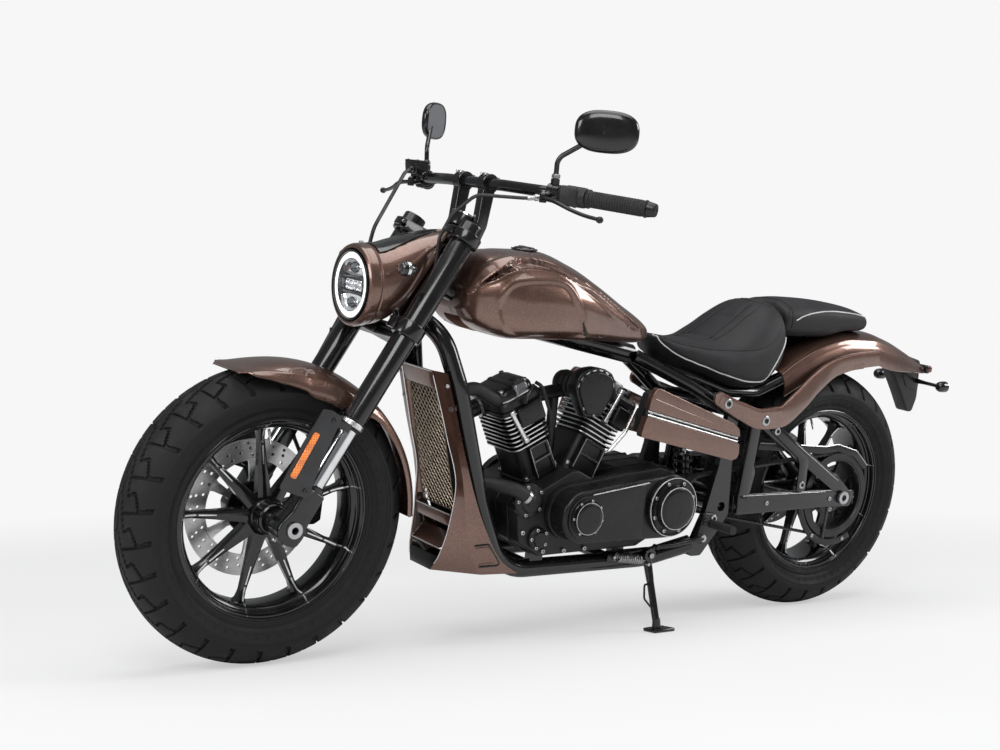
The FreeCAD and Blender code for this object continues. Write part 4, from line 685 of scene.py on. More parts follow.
def leather(name, colour):
    """Seat leather: pebbled grain with creases, darkened along them as painted shade, and a soft sheen."""
    board = Board(name)
    pebbles = board.cells(620.0, "SMOOTH_F1", spread=1.0)
    creases = board.cells(210.0, "DISTANCE_TO_EDGE")
    fold = board.ramp(creases, 0.0, 0.09)
    rubbed = board.noise(16.0, 5.0, 0.6)
    tone = board.mix(board.ramp(rubbed, 0.35, 0.7), toned(colour, 0.82), toned(colour, 1.45))
    # The crease lines are darker: painted shade in the creases.
    shade = board.mix(fold, toned(colour, 0.6), tone)
    shine = board.ramp(rubbed, 0.3, 0.7, 0.52, 0.66)
    height = pebbles * 0.8 + fold * 0.35
    return board.done(shade, shine, 0.0, board.bump(height, 0.0004, 0.55), Specular_IOR_Level=0.36)


def moulded(name, colour=(0.008, 0.008, 0.0085), rough=0.5, scale=520.0, depth=0.0002):
    """Moulded plastic with a fine texture."""
    board = Board(name)
    grain = board.cells(scale)
    tone = board.varied(colour, 0.22, 20.0)
    shine = board.ramp(board.noise(30.0, 4.0, 0.6), 0.3, 0.7, rough * 0.88, rough * 1.14)
    return board.done(tone, shine, 0.0, board.bump(grain, depth, 0.5))


def ribbed_rubber(name, colour=(0.008, 0.008, 0.0085)):
    """Grip rubber with small raised lozenges, darker between them than on their tops as painted shade."""
    board = Board(name)
    ribs = board.cells(240.0, "F1", spread=0.25)
    grain = board.noise(1300.0, 2.0)
    # Darker in the grooves between the lozenges than on their tops: painted shade.
    tone = board.mix(board.ramp(ribs, 0.25, 0.55), toned(colour, 1.5), colour)
    shine = board.ramp(board.noise(40.0, 4.0), 0.3, 0.7, 0.58, 0.72)
    return board.done(tone, shine, 0.0, board.bump(ribs * -1.0 + grain * 0.2, 0.0006, 0.8))


def lamp_lens(name, colour, rough=0.12, glow=0.0):
    """Coloured lens: deep clear coat over moulded optic dimples; a glow above 0 makes it shine by itself, a
    painted glow.
    """
    board = Board(name)
    optics = board.cells(190.0, spread=0.0)
    tone = board.mix(board.ramp(optics, 0.2, 0.62), toned(colour, 1.35), toned(colour, 0.7))
    shine = board.ramp(board.noise(30.0, 3.0), 0.3, 0.7, rough * 0.8, rough * 1.3)
    # A glow above 0 is painted glow: the lens shines with no lamp behind it.
    more = {"Emission_Color": tone, "Emission_Strength": glow} if glow > 0 else {}
    return board.done(tone, shine, 0.0, board.bump(optics, 0.0005, 0.35), Coat_Weight=1.0,
                      Coat_Roughness=0.03, **more)


def lit(name, colour, glow):
    """A lit or bright diffuser with a faint pattern of its sources."""
    board = Board(name)
    spots = board.cells(95.0, spread=0.1)
    tone = board.mix(board.ramp(spots, 0.1, 0.6), colour, toned(colour, 0.82))
    return board.done(tone, board.ramp(spots, 0.2, 0.6, 0.2, 0.35), 0.0, None, Emission_Color=tone,
                      Emission_Strength=glow)


def mirrored(name, colour=(0.82, 0.83, 0.84), rough=0.04):
    """Reflector or mirror: near-perfect metal with a breath of haze."""
    board = Board(name)
    haze = board.noise(26.0, 5.0, 0.6)
    tone = board.mix(board.ramp(haze, 0.4, 0.7), colour, toned(colour, 0.9))
    return board.done(tone, board.ramp(haze, 0.35, 0.75, rough, rough * 2.4), 1.0)


def clear_lens(name, tint=(0.97, 0.98, 0.98)):
    """Clear cover glass."""
    board = Board(name)
    haze = board.noise(30.0, 4.0)
    return board.done(board.mix(board.ramp(haze, 0.3, 0.7), tint, toned(tint, 0.97)),
                      board.ramp(haze, 0.3, 0.7, 0.0, 0.03), 0.0, None, Transmission_Weight=1.0, IOR=1.2)


def core_fins(name):
    """Radiator core: close rows of folded fins between flat tubes, near black in the gaps between them as
    painted shade.
    """
    board = Board(name)
    rows = board.node("TexWave", {"wave_type": "BANDS", "bands_direction": "Z"},
                      {"Vector": board.place, "Scale": 32.0})
    folds = board.node("TexWave", {"wave_type": "BANDS", "bands_direction": "Y"},
                       {"Vector": board.place, "Scale": 160.0})
    # Near black in the gaps between the fins and tubes: painted shade of the core's depth.
    tone = board.mix(board.ramp(rows * folds, 0.1, 0.8), (0.002, 0.002, 0.002), (0.014, 0.014, 0.0145))
    return board.done(tone, board.ramp(folds, 0.2, 0.8, 0.5, 0.7), 0.3,
                      board.bump(rows + folds, 0.0008, 0.8))


FLOOR_GLOW = 0.55
FLOOR_NEAR, FLOOR_FAR = 1.4, 4.0
WHITE = (0.93, 0.93, 0.93, 1)


def floor_finish(name):
    """Pale even floor: shaded near the motorcycle, and the backdrop's white to the camera farther out."""
    board = Board(name)
    cloud = board.noise(0.7, 3.0)
    tone = board.mix(board.ramp(cloud, 0.3, 0.7), (0.8, 0.8, 0.8), (0.83, 0.83, 0.83))
    material = board.done(tone, board.ramp(cloud, 0.3, 0.7, 0.7, 0.75), 0.0)
    far = board.ramp(board.away(0, 1), FLOOR_NEAR, FLOOR_FAR, FLOOR_GLOW, 1.0)
    tree = board.tree
    ray = tree.nodes.new("ShaderNodeLightPath")
    seen = far * Value(board, ray.outputs["Is Camera Ray"])
    glow = tree.nodes.new("ShaderNodeEmission")
    glow.inputs["Color"].default_value = WHITE
    mixed = tree.nodes.new("ShaderNodeMixShader")
    out = next(node for node in tree.nodes if node.type == "OUTPUT_MATERIAL")
    tree.links.new(seen.socket, mixed.inputs[0])
    tree.links.new(board.shader.outputs[0], mixed.inputs[1])
    tree.links.new(glow.outputs[0], mixed.inputs[2])
    tree.links.new(mixed.outputs[0], out.inputs["Surface"])
    return material


TURN_OF_WHEELS = BIKE.to_euler("XYZ")
FINISH = {}


def make_finishes():
    """Every finish of the motorcycle, by the name that the pieces use."""
    chosen = settings()
    paint = tuple(chosen.paint)
    FINISH.update({"paint": metallic_paint("bronze_paint", paint), "gloss": gloss_black("gloss_black"),
                   "satin": gloss_black("satin_black", (0.006, 0.006, 0.0065), 0.32, 0.22),
                   "cast": cast_black("engine_black"),
                   "cover": cast_black("cover_black", (0.0065, 0.0065, 0.007), 0.3, 1100.0, 0.00012),
                   "edge": machined("machined_edges"),
                   "bolt": machined("bolt_steel", (0.46, 0.46, 0.47), 0.3, (400.0, 400.0, 400.0)),
                   "dark_bolt": machined("blackened_bolts", (0.06, 0.06, 0.062), 0.34,
                                         (400.0, 400.0, 400.0)),
                   "silver": machined("silver_line", (0.74, 0.74, 0.74), 0.26, (120.0, 120.0, 120.0)),
                   "chrome": mirrored("chrome", (0.7, 0.71, 0.72), 0.05),
                   "front_disc": turned_metal("front_disc_steel", FRONT_AXLE),
                   "rear_disc": turned_metal("rear_disc_steel", REAR_AXLE),
                   "front_rubber": tyre_rubber("front_tyre_rubber", FRONT_AXLE),
                   "rear_rubber": tyre_rubber("rear_tyre_rubber", REAR_AXLE),
                   "leather": leather("seat_leather", tuple(chosen.leather)),
                   "piping": moulded("seat_piping", tuple(chosen.piping), 0.6, 1600.0, 0.0001),
                   "plastic": moulded("black_plastic"),
                   "guard": moulded("guard_grey", (0.02, 0.0205, 0.022), 0.42, 900.0, 0.0001),
                   "grip": ribbed_rubber("grip_rubber"),
                   "rubber": moulded("rubber_parts", (0.006, 0.006, 0.0065), 0.62, 800.0, 0.0003),
                   # The amber finish glows by itself on the fork guards' reflectors and on the gauge's
                   # needle: painted glow, as neither is a lamp.
                   "amber": lamp_lens("amber_reflector_painted_glow", tuple(chosen.reflector), 0.1, 0.25),
                   "red": lamp_lens("red_lens", (0.14, 0.004, 0.004)),
                   "smoke": lamp_lens("smoked_lens", (0.03, 0.026, 0.026)),
                   "ring_light": lit("lamp_ring", (1.0, 1.0, 1.0), 0.9),
                   "reflector": mirrored("lamp_reflector", (0.75, 0.76, 0.78), 0.08),
                   "dark_reflector": mirrored("dark_reflector", (0.16, 0.165, 0.18), 0.12),
                   "mirror": mirrored("mirror_glass", (0.84, 0.86, 0.88), 0.012),
                   "glass": clear_lens("clear_lens"), "core": core_fins("radiator_core"),
                   "grille": machined("grille_brass", (0.38, 0.31, 0.24), 0.34, (90.0, 90.0, 90.0)),
                   "silver_cover": machined("dull_silver", (0.24, 0.24, 0.25), 0.38, (200.0, 200.0, 200.0)),
                   "belt": moulded("belt_rubber", (0.013, 0.013, 0.014), 0.6, 700.0, 0.0003),
                   "cable": moulded("cable_sheath", (0.012, 0.012, 0.012), 0.45, 900.0, 0.0001),
                   "face": moulded("gauge_face", (0.01, 0.01, 0.011), 0.3, 1200.0, 0.00004),
                   "mark": moulded("gauge_marks", (0.62, 0.62, 0.6), 0.5, 1500.0, 0.00004),
                   "exhaust": gloss_black("exhaust_black", (0.006, 0.006, 0.006), 0.36, 0.2),
                   "floor": floor_finish("studio_floor")})


NODE_FINISH = {"front_tyre": "front_rubber", "rear_tyre": "rear_rubber", "front_rim": "gloss",
               "rear_rim": "gloss", "front_disc": "front_disc", "rear_disc": "rear_disc",
               "rear_pulley": "satin", "front_axle": "bolt", "rear_axle": "bolt", "fork_leg_left": "gloss",
               "fork_leg_right": "gloss", "yokes": "satin", "fork_guards": "guard", "front_fender": "paint",
               "front_caliper": "satin", "headlamp_nacelle": "paint", "headlamp": "dark_reflector",
               "front_indicators": "gloss", "gauge": "gloss", "handlebar": "gloss", "risers": "gloss",
               "grips": "grip", "hand_controls": "plastic", "mirrors": "gloss", "frame": "gloss",
               "engine_cases": "cast", "front_cylinder": "cast", "rear_cylinder": "cast",
               "primary_cover": "cover", "right_engine_cover": "cover", "intake_cover": "cover",
               "radiator": "core", "radiator_cowl": "paint", "grille": "grille", "fuel_tank": "paint",
               "fuel_cap": "gloss", "rider_seat": "leather", "pillion_seat": "leather",
               "rear_fender": "paint", "fender_struts": "paint", "tail_bracket": "plastic",
               "tail_lamps": "smoke", "side_covers": "paint", "swingarm": "gloss", "rear_shock": "satin",
               "drive_belt": "belt", "exhaust_headers": "exhaust", "silencers": "exhaust",
               "foot_controls": "satin", "stand_bracket": "satin", "side_stand": "gloss"}


def finish_nodes():
    """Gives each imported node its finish."""
    for name, thing in frame["nodes"].items():
        finish = FINISH[NODE_FINISH[name]]
        if not thing.material_slots:
            thing.data.materials.append(finish)
        for holder in thing.material_slots:
            holder.material = finish


# Stage: lamps as name, place, target, size in metres and watts, and the photograph's camera

LAMPS = [("key", (3.4, 4.2, 4.6), (0.2, 0, 0.6), 3.0, 190),
         ("top", (0, 0.4, 4.6), (0, -0.1, 0.5), 4.0, 130),
         ("rim", (-4.2, 2.4, 2.6), (-0.2, 0, 0.6), 1.8, 110),
         ("fill", (4.6, 0.2, 2.2), (0.6, 0, 0.5), 1.6, 60)]
CAMERA_PLACE = (2.3382, 2.894, 0.6086)
CAMERA_TURN = (90.06, 0, 145.13)
SENSOR_WIDTH = 36
SOFT_SKY = (0.9, 0.92, 0.95, 1)
SOFT_STRENGTH = 0.22
FLOOR_HALF = 30


class MakeStage(bpy.types.Operator):
    """Makes the finishes, the pale floor, the studio lamps and the camera at the photograph's angle"""

    bl_idname = "cruiser.stage"
    bl_label = "Stage"

    def execute(self, context):
        make_finishes()
        finish_nodes()
        ground = bmesh.new()
        bmesh.ops.create_grid(ground, x_segments=4, y_segments=4, size=FLOOR_HALF)
        mesh = bpy.data.meshes.new("floor")
        ground.to_mesh(mesh)
        ground.free()
        floor = bpy.data.objects.new("floor", mesh)
        mesh.materials.append(FINISH[floor.name])
        context.scene.collection.objects.link(floor)
        self.add_lamps(context)
        self.add_camera(context)
        self.add_world(context)
        context.scene.view_settings.view_transform = "Standard"
        return {"FINISHED"}

    def add_lamps(self, context):
        """Square lamps that look at their targets."""
        for name, place, target, size, watts in LAMPS:
            data = bpy.data.lights.new(name, "AREA")
            data.shape = "SQUARE"
            data.size = size
            data.energy = watts
            lamp = bpy.data.objects.new(name, data)
            lamp.location = place
            lamp.rotation_euler = (Vector(target) - Vector(place)).to_track_quat("-Z", "Y").to_euler()
            context.scene.collection.objects.link(lamp)

    def add_camera(self, context):
        """The camera at the photograph's angle."""
        data = bpy.data.cameras.new("camera")
        data.sensor_width = SENSOR_WIDTH
        data.lens = settings().lens
        camera = bpy.data.objects.new("camera", data)
        camera.location = CAMERA_PLACE
        camera.rotation_euler = tuple(math.radians(part) for part in CAMERA_TURN)
        context.scene.collection.objects.link(camera)
        context.scene.camera = camera

    def add_world(self, context):
        """Soft light all round, and white behind to the camera."""
        world = bpy.data.worlds.new("studio")
        world.use_nodes = True
        tree = world.node_tree
        tree.nodes.clear()
        ray = tree.nodes.new("ShaderNodeLightPath")
        seen = tree.nodes.new("ShaderNodeMath")
        seen.operation = "MAXIMUM"
        tree.links.new(ray.outputs["Is Camera Ray"], seen.inputs[0])
        tree.links.new(ray.outputs["Is Transmission Ray"], seen.inputs[1])
        mixed = tree.nodes.new("ShaderNodeMixShader")
        tree.links.new(seen.outputs[0], mixed.inputs[0])
        for index, (colour, strength) in enumerate(((SOFT_SKY, SOFT_STRENGTH), (WHITE, 1.0)), 1):
            sky = tree.nodes.new("ShaderNodeBackground")
            sky.inputs["Color"].default_value = colour
            sky.inputs["Strength"].default_value = strength
            tree.links.new(sky.outputs[0], mixed.inputs[index])
        out = tree.nodes.new("ShaderNodeOutputWorld")
        tree.links.new(mixed.outputs[0], out.inputs[0])
        context.scene.world = world


def made(*pieces):
    """An operator's answer, or an error when one of its pieces came out empty."""
    for piece in pieces:
        if not piece.data.polygons:
            raise RuntimeError(piece.name + " came out empty")
    return {"FINISHED"}


def carved(shape, *tools):
    """A shape with other closed shapes cut out of it, one after the other."""
    for tool in tools:
        holders = []
        for part in (shape, tool):
            bmesh.ops.recalc_face_normals(part, faces=part.faces)
            mesh = bpy.data.meshes.new("cutting")
            part.to_mesh(mesh)
            part.free()
            holder = bpy.data.objects.new("cutting", mesh)
            bpy.context.scene.collection.objects.link(holder)
            holders.append(holder)
        cut = holders[0].modifiers.new("Boolean", "BOOLEAN")
        cut.object = holders[1]
        cut.operation = "DIFFERENCE"
        cut.solver = "EXACT"
        depsgraph = bpy.context.evaluated_depsgraph_get()
        shape = bmesh.new()
        shape.from_mesh(holders[0].evaluated_get(depsgraph).to_mesh())
        for holder in holders:
            mesh = holder.data
            bpy.data.objects.remove(holder)
            bpy.data.meshes.remove(mesh)
        bmesh.ops.remove_doubles(shape, verts=shape.verts, dist=1e-6)
    return shape


def round_the_wheel(count, start=0.0):
    """Turns about the axle, evenly spaced, in radians from straight up."""
    return [Matrix.Rotation(start + 2 * math.pi * index / count, 4, "Y") for index in range(count)]


# Tread: one pitch of one side, in shares of the pitch and of the way from the middle to the shoulder

TREAD_LINES = [[(0.0, 0.1), (0.95, 0.28), (0.8, 0.46), (1.3, 0.62), (1.15, 0.93)],
               [(0.45, 0.19), (0.25, 0.93)]]
MIDDLE_LINE = [(-0.1, 0.05), (0.0, -0.05), (0.4, -0.05), (0.5, 0.05), (0.9, 0.05), (1.0, -0.05),
               (1.4, -0.05)]
GROOVE = 0.0054


def nearest_on(line, point, size):
    """Distance from a point to a line, in metres, and the way away from it in shares."""
    best, away = 1e9, Vector((0, 0))
    for start, end in zip(line, line[1:]):
        a = Vector((start[0] * size[0], start[1] * size[1]))
        b = Vector((end[0] * size[0], end[1] * size[1]))
        run = b - a
        share = min(max((point - a).dot(run) / run.length_squared, 0.0), 1.0)
        gap = point - (a + run * share)
        if gap.length < best:
            best, away = gap.length, gap
    return best, away


def tread_pitch(half, radius, shoulder, side, columns=42, rows=34):
    """One pitch of blocks and grooves, bent onto the crown."""
    rise = radius - shoulder
    crown = (half * half + rise * rise) / (2 * rise)
    fan = math.asin(min(half / crown, 1.0))
    if rise > crown:
        fan = math.pi - fan
    count = settings().tread_pitches
    depth = settings().tread_depth
    size = (2 * math.pi * radius / count, crown * fan)
    lines = [MIDDLE_LINE]
    for line in TREAD_LINES:
        for shift in (-2, -1, 0, 1):
            lines.append([(x + shift, y) for x, y in line])
    shape = bmesh.new()
    bmesh.ops.create_grid(shape, x_segments=columns, y_segments=rows, size=0.5)
    edge = GROOVE / 2
    reach = size[0] / columns * 0.75
    for vert in shape.verts:
        share = Vector((vert.co.x + 0.5, vert.co.y + 0.5))
        point = Vector((share.x * size[0], share.y * size[1]))
        found = [nearest_on(line, point, size) for line in lines]
        gap, away = min(found, key=lambda pair: pair[0])
        low = 0.0
        if gap < edge + reach and gap > 1e-7:
            if gap < edge:
                low = depth
                if gap > edge - reach:
                    point = point + away.normalized() * (edge - 0.0004 - gap)
            else:
                point = point + away.normalized() * (edge + 0.0004 - gap)
        fade = 1 - eased(point.y / size[1], 0.9, 0.97)
        bend = point.y / crown
        reach_out = crown - low * fade
        wide = reach_out * math.sin(bend) * side
        far = radius - crown + reach_out * math.cos(bend)
        turn = (point.x / size[0]) * 2 * math.pi / count
        if side < 0:
            turn += math.pi / count
        vert.co = (far * math.sin(turn), wide, far * math.cos(turn))
    return shape


def tyre_piece(name, wheel, half, bead_half, finish, body):
    """Tyre: grooved crown, and walls with their ribs."""
    piece = Piece(name)
    radius = TYRE_RADIUS
    shoulder = radius - half * 0.66
    count = settings().tread_pitches
    for side in (1, -1):
        strip = repeated(lambda: tread_pitch(half, radius, shoulder, side), round_the_wheel(count))
        bmesh.ops.remove_doubles(strip, verts=strip.verts, dist=0.0002)
        bmesh.ops.recalc_face_normals(strip, faces=strip.faces)
        piece.add(strip, finish)
        bead, collar = bead_half - 0.0003, 0.221
        wall = [(shoulder, half), (shoulder - 0.006, half + 0.0004), (shoulder - 0.0066, half - 0.0008),
                (shoulder - 0.012, half - 0.0006), (shoulder - 0.0126, half - 0.0016),
                *((shoulder - (shoulder - collar) * down, half - (half - bead) * inward)
                  for down, inward in ((0.42, 0.16), (0.6, 0.36), (0.62, 0.36), (0.64, 0.44), (0.8, 0.66))),
                (collar + 0.004, bead + 0.0105), (collar + 0.001, bead + 0.0098), (collar, bead + 0.0075),
                (collar - 0.002, bead + 0.0066), (collar - 0.003, bead + 0.006), (0.2053, bead)]
        outer = [(far, along * side) for far, along in wall]
        piece.add(turned(outer, 144), finish)
        marks = repeated(lambda: box((-0.0012, 0, -0.007), (0.0012, 0.0009, 0.007), 0.0004, 1),
                         [turn @ aimed((0, (half - (half - bead) * 0.19) * side, shoulder - 0.022),
                                       (0, side, 0.12)) for turn in round_the_wheel(60)])
        piece.add(marks, finish)
    return piece.done(wheel, body, "tyre", [name.replace("_rubber", "")], sharp=36)


def rim_profile(bead, edge):
    """The closed section of a rim as radius and distance across, with its rolled lip and steps."""
    left = [(0.205, bead), (0.2165, bead), (0.218, bead + 0.0015), (0.2178, bead + 0.0045), (0.2162, edge),
            (0.2135, edge + 0.0008), (0.211, edge), (0.2095, edge - 0.0025), (0.2068, edge - 0.0028),
            (0.2052, edge - 0.0048), (0.2035, edge - 0.009), (0.2032, edge - 0.0135),
            (0.2008, edge - 0.0145), (0.1995, edge - 0.019), (0.1955, edge - 0.022), (0.193, edge - 0.025),
            (0.191, edge - 0.03)]
    right = [(far, -along) for far, along in reversed(left)]
    return left + right


def spoke_shape(hub, well, root, tip, half):
    """A blade of a spoke, ridged on both faces, that spreads where it meets the rim."""
    rings = []
    for far, wide, thick, ridge in ((hub - 0.004, root * 0.62, half * 1.25, half * 1.6),
                                    (hub + 0.014, root * 0.5, half * 0.95, half * 1.3),
                                    (hub + 0.05, root * 0.42, half * 0.72, half * 1.05),
                                    ((hub + well) / 2, (root + tip) * 0.23, half * 0.66, half),
                                    (well - 0.026, tip * 0.5, half * 0.64, half),
                                    (well - 0.01, tip * 0.62, half * 0.7, half * 1.1),
                                    (well + 0.003, tip * 1.15, half * 0.8, half * 1.2)):
        rings.append([(-wide, -thick, far), (-wide * 0.42, -ridge, far), (wide * 0.42, -ridge, far),
                      (wide, -thick, far), (wide, thick, far), (wide * 0.42, ridge, far),
                      (-wide * 0.42, ridge, far), (-wide, thick, far)])
    return loft(rings)


def rim_piece(name, wheel, bead, hub_half, body, slot):
    """Rim, nine spokes with a bright line each, and hub."""
    piece = Piece(name)
    edge = bead + 0.006
    piece.add(turned(rim_profile(bead, edge), 160, closed=True), "gloss")
    count = settings().spokes
    turns = round_the_wheel(count, math.pi / count * 0.35)
    half = 0.0105
    piece.add(repeated(lambda: spoke_shape(0.036, 0.191, 0.03, 0.0135, half), turns), "gloss")
    for side in (1, -1):
        gusset = [(0.15, half - 0.003), (0.172, half + 0.001), (0.186, half + 0.007),
                  (0.1935, edge - 0.027), (0.2005, edge - 0.0185), (0.2045, edge - 0.009),
                  (0.2085, edge - 0.003)]
        path = [(along * side, far) for far, along in gusset]
        rib_rings = []
        for index, (along, far) in enumerate(path):
            wide = 0.0042 - 0.0012 * index / (len(path) - 1)
            rib_rings.append([(-wide, along - 0.003 * side, far + 0.004),
                              (-wide, along + 0.0006 * side, far), (wide, along + 0.0006 * side, far),
                              (wide, along - 0.003 * side, far + 0.004)])
        piece.add(repeated(lambda: loft(rib_rings), turns), "gloss")
        line_rings = []
        for index, (along, far) in enumerate(path):
            bend = 0.0028 if index in (3, 4) else 0.0
            near, out = (along + 0.0004 * side, far), (along + 0.0015 * side, far - 0.0008)
            line_rings.append([(bend - 0.0016, *near), (bend - 0.0016, *out), (bend + 0.0016, *out),
                               (bend + 0.0016, *near)])
        piece.add(repeated(lambda: loft(line_rings), turns), "silver")
        streak = []
        for wide, low, high, far in ((0.0012, 0.0003, 0.0011, 0.112), (0.0015, 0.0004, 0.0012, 0.152)):
            low, high = (half + low) * side, (half + high) * side
            streak.append([(-wide, low, far), (wide, low, far), (wide, high, far), (-wide, high, far)])
        piece.add(repeated(lambda: loft(streak), turns), "silver")
    bore = 0.01205
    hub = [(bore, -hub_half), (0.03, -hub_half), (0.034, -hub_half + 0.003), (0.036, -hub_half + 0.008),
           (0.0355, -0.022), (0.043, -0.014), (0.045, -0.006), (0.045, 0.006), (0.043, 0.014),
           (0.0355, 0.022), (0.036, hub_half - 0.008), (0.034, hub_half - 0.003), (0.03, hub_half),
           (0.022, hub_half), (0.0205, hub_half - 0.003), (bore + 0.002, hub_half - 0.003),
           (bore, hub_half - 0.004)]
    piece.add(turned(hub, 72, closed=True), "gloss")
    valve = bar((0.012, 0.02, 0.187), (0.012, 0.034, 0.158), 0.0032, 0.0026, 14, 0.0005)
    piece.add(valve, "silver")
    return piece.done(wheel, body, slot, [name.replace("_wheel", "_rim")])


# Distances of the brake discs' holes from their inner edge, in turn
HOLE_ROWS = ((0.011, 0.026, 0.037), (0.018, 0.033), (0.009, 0.024))


def disc_piece(name, wheel, radius, face, hub_end, finish, body, node):
    """Brake disc: drilled rotor on a spidered carrier, held by bolts."""
    piece = Piece(name)
    inner = radius - 0.046
    rotor = turned([(inner, -face), (radius, -face), (radius, -face - 0.005), (inner, -face - 0.005)], 128,
                   closed=True)
    tools = bmesh.new()
    mesh = bpy.data.meshes.new("holes")
    count = 30
    for index in range(count):
        for row in HOLE_ROWS[index % 3]:
            angle = 2 * math.pi * (index + row * 14) / count
            spot = Vector((math.sin(angle) * (inner + row), -face - 0.02, math.cos(angle) * (inner + row)))
            hole = bar(spot, spot + Vector((0, 0.04, 0)), 0.0036, sides=12)
            hole.to_mesh(mesh)
            hole.free()
            tools.from_mesh(mesh)
    bpy.data.meshes.remove(mesh)
    piece.add(carved(rotor, tools), finish)
    lobes = 6
    reach = inner + 0.005
    root = 0.052

    def arm():
        """One arm of the disc's carrier."""
        outline = [(-0.012, root - 0.004), (-0.0075, root + 0.012), (-0.011, reach - 0.012),
                   (-0.0155, reach), (0.0155, reach), (0.011, reach - 0.012), (0.0075, root + 0.012),
                   (0.012, root - 0.004)]
        return slab(outline, -face - 0.0045, -face + 0.0015, 0.0008, 1)
    piece.add(repeated(arm, round_the_wheel(lobes)), "edge")
    carrier = [(0.026, -hub_end), (0.056, -hub_end), (0.0575, -hub_end - 0.002), (0.0575, -face - 0.003),
               (0.055, -face - 0.0055), (0.026, -face - 0.0055)]
    piece.add(turned(carrier, 72, closed=True), "satin")
    buttons = [turn @ at(0, -face - 0.0045, reach - 0.001) @ spin(180, "Z")
               for turn in round_the_wheel(lobes)]
    piece.add(repeated(lambda: turned([(0, 0.0035), (0.004, 0.0035), (0.0075, 0.0028), (0.0085, 0)], 20),
                       buttons), "bolt")
    screws = [turn @ at(0, -face - 0.0055, 0.044) @ spin(180, "Z") for turn in round_the_wheel(5)]
    piece.add(repeated(lambda: hex_bolt(0.0065, 0.006), screws), "bolt")
    return piece.done(wheel, body, "disc", [node])


class MakeFrontWheel(bpy.types.Operator):
    """Makes the front tyre, rim and brake disc"""

    bl_idname = "cruiser.front_wheel"
    bl_label = "Front wheel"

    def execute(self, context):
        tyre = tyre_piece("front_tyre_rubber", FRONT_WHEEL, 0.075, 0.05, "front_rubber", "front_wheel")
        rim = rim_piece("front_wheel", FRONT_WHEEL, 0.05, 0.054, "front_wheel", "wheel")
        disc = disc_piece("front_brake_disc", FRONT_WHEEL, 0.15, 0.062, 0.054, "front_disc", "front_wheel",
                          "front_disc")
        return made(tyre, rim, disc)


class MakeRearWheel(bpy.types.Operator):
    """Makes the rear tyre, rim, brake disc and belt pulley"""

    bl_idname = "cruiser.rear_wheel"
    bl_label = "Rear wheel"

    def execute(self, context):
        tyre = tyre_piece("rear_tyre_rubber", REAR_WHEEL, 0.09, 0.066, "rear_rubber", "rear_wheel")
        rim = rim_piece("rear_wheel", REAR_WHEEL, 0.066, 0.092, "rear_wheel", "wheel")
        disc = disc_piece("rear_brake_disc", REAR_WHEEL, 0.13, 0.1, 0.092, "rear_disc", "rear_wheel",
                          "rear_disc")
        return made(tyre, rim, disc, self.add_pulley())

    def add_pulley(self):
        """Toothed belt pulley with a pierced web."""
        piece = Piece("belt_pulley")
        near, far, radius = 0.1, 0.124, 0.108
        lip = radius + 0.004
        rim = [(radius - 0.016, near - 0.003), (lip, near - 0.003), (lip + 0.0004, near - 0.0012),
               (lip, near - 0.0005), (radius - 0.004, near - 0.0005), (radius - 0.004, far + 0.0005),
               (lip, far + 0.0005), (lip + 0.0004, far + 0.0012), (lip, far + 0.003),
               (radius - 0.011, far + 0.003), (radius - 0.012, far + 0.0015),
               (radius - 0.016, far + 0.0015)]
        piece.add(turned(rim, 120, closed=True), "satin")
        teeth = 56

        def tooth():
            """One tooth of the pulley."""
            return slab([(-0.0028, radius - 0.0045), (-0.0019, radius), (0.0019, radius),
                         (0.0028, radius - 0.0045)], near, far, 0.0003, 1)
        piece.add(repeated(tooth, round_the_wheel(teeth)), "satin")
        web = turned([(0.026, 0.092), (0.05, 0.092), (0.052, 0.098), (radius - 0.0155, 0.0985),
                      (radius - 0.0155, 0.106), (0.056, 0.108), (0.05, 0.112), (0.026, 0.112)], 96,
                     closed=True)
        windows = bmesh.new()
        mesh = bpy.data.meshes.new("windows")
        for turn in round_the_wheel(5):
            outline = [(-0.011, 0.056), (-0.024, 0.085), (0.024, 0.085), (0.011, 0.056)]
            window = slab(outline, 0.085, 0.125, 0.0, 1, 0.006)
            moved(window, turn)
            window.to_mesh(mesh)
            window.free()
            windows.from_mesh(mesh)
        bpy.data.meshes.remove(mesh)
        piece.add(carved(web, windows), "satin")
        screws = [turn @ at(0, 0.112, 0.04) for turn in round_the_wheel(5, 0.6)]
        piece.add(repeated(lambda: hex_bolt(0.006, 0.006), screws), "bolt")
        return piece.done(REAR_WHEEL, "rear_wheel", "steel", ["rear_pulley"])


# Bodywork whose skin is worked in: depths are metres below the plain form

TANK_ROWS = [(1.174, 0.064, 0.776, 0.832, 0.801), (1.154, 0.094, 0.744, 0.864, 0.804),
             (1.1056, 0.125, 0.722, 0.9, 0.804), (1.0486, 0.139, 0.714, 0.908, 0.795),
             (0.9688, 0.142, 0.715, 0.909, 0.796), (0.889, 0.135, 0.714, 0.886, 0.786),
             (0.8092, 0.119, 0.712, 0.848, 0.77), (0.7294, 0.099, 0.708, 0.803, 0.753),
             (0.69, 0.088, 0.707, 0.782, 0.744), (0.664, 0.078, 0.708, 0.766, 0.738),
             (0.648, 0.066, 0.712, 0.753, 0.734), (0.64, 0.046, 0.72, 0.743, 0.732)]
TANK_FRONT, TANK_TAIL = TANK_ROWS[0][0], TANK_ROWS[-1][0]
TANK_POWERS = (2.2, 4.6)
KNEE_PANEL = [(1.118, 0.806), (1.092, 0.842), (1.04, 0.851), (0.966, 0.853), (0.934, 0.836), (0.906, 0.786),
              (0.884, 0.738), (0.876, 0.722), (0.96, 0.716), (1.06, 0.715), (1.102, 0.74), (1.12, 0.776)]
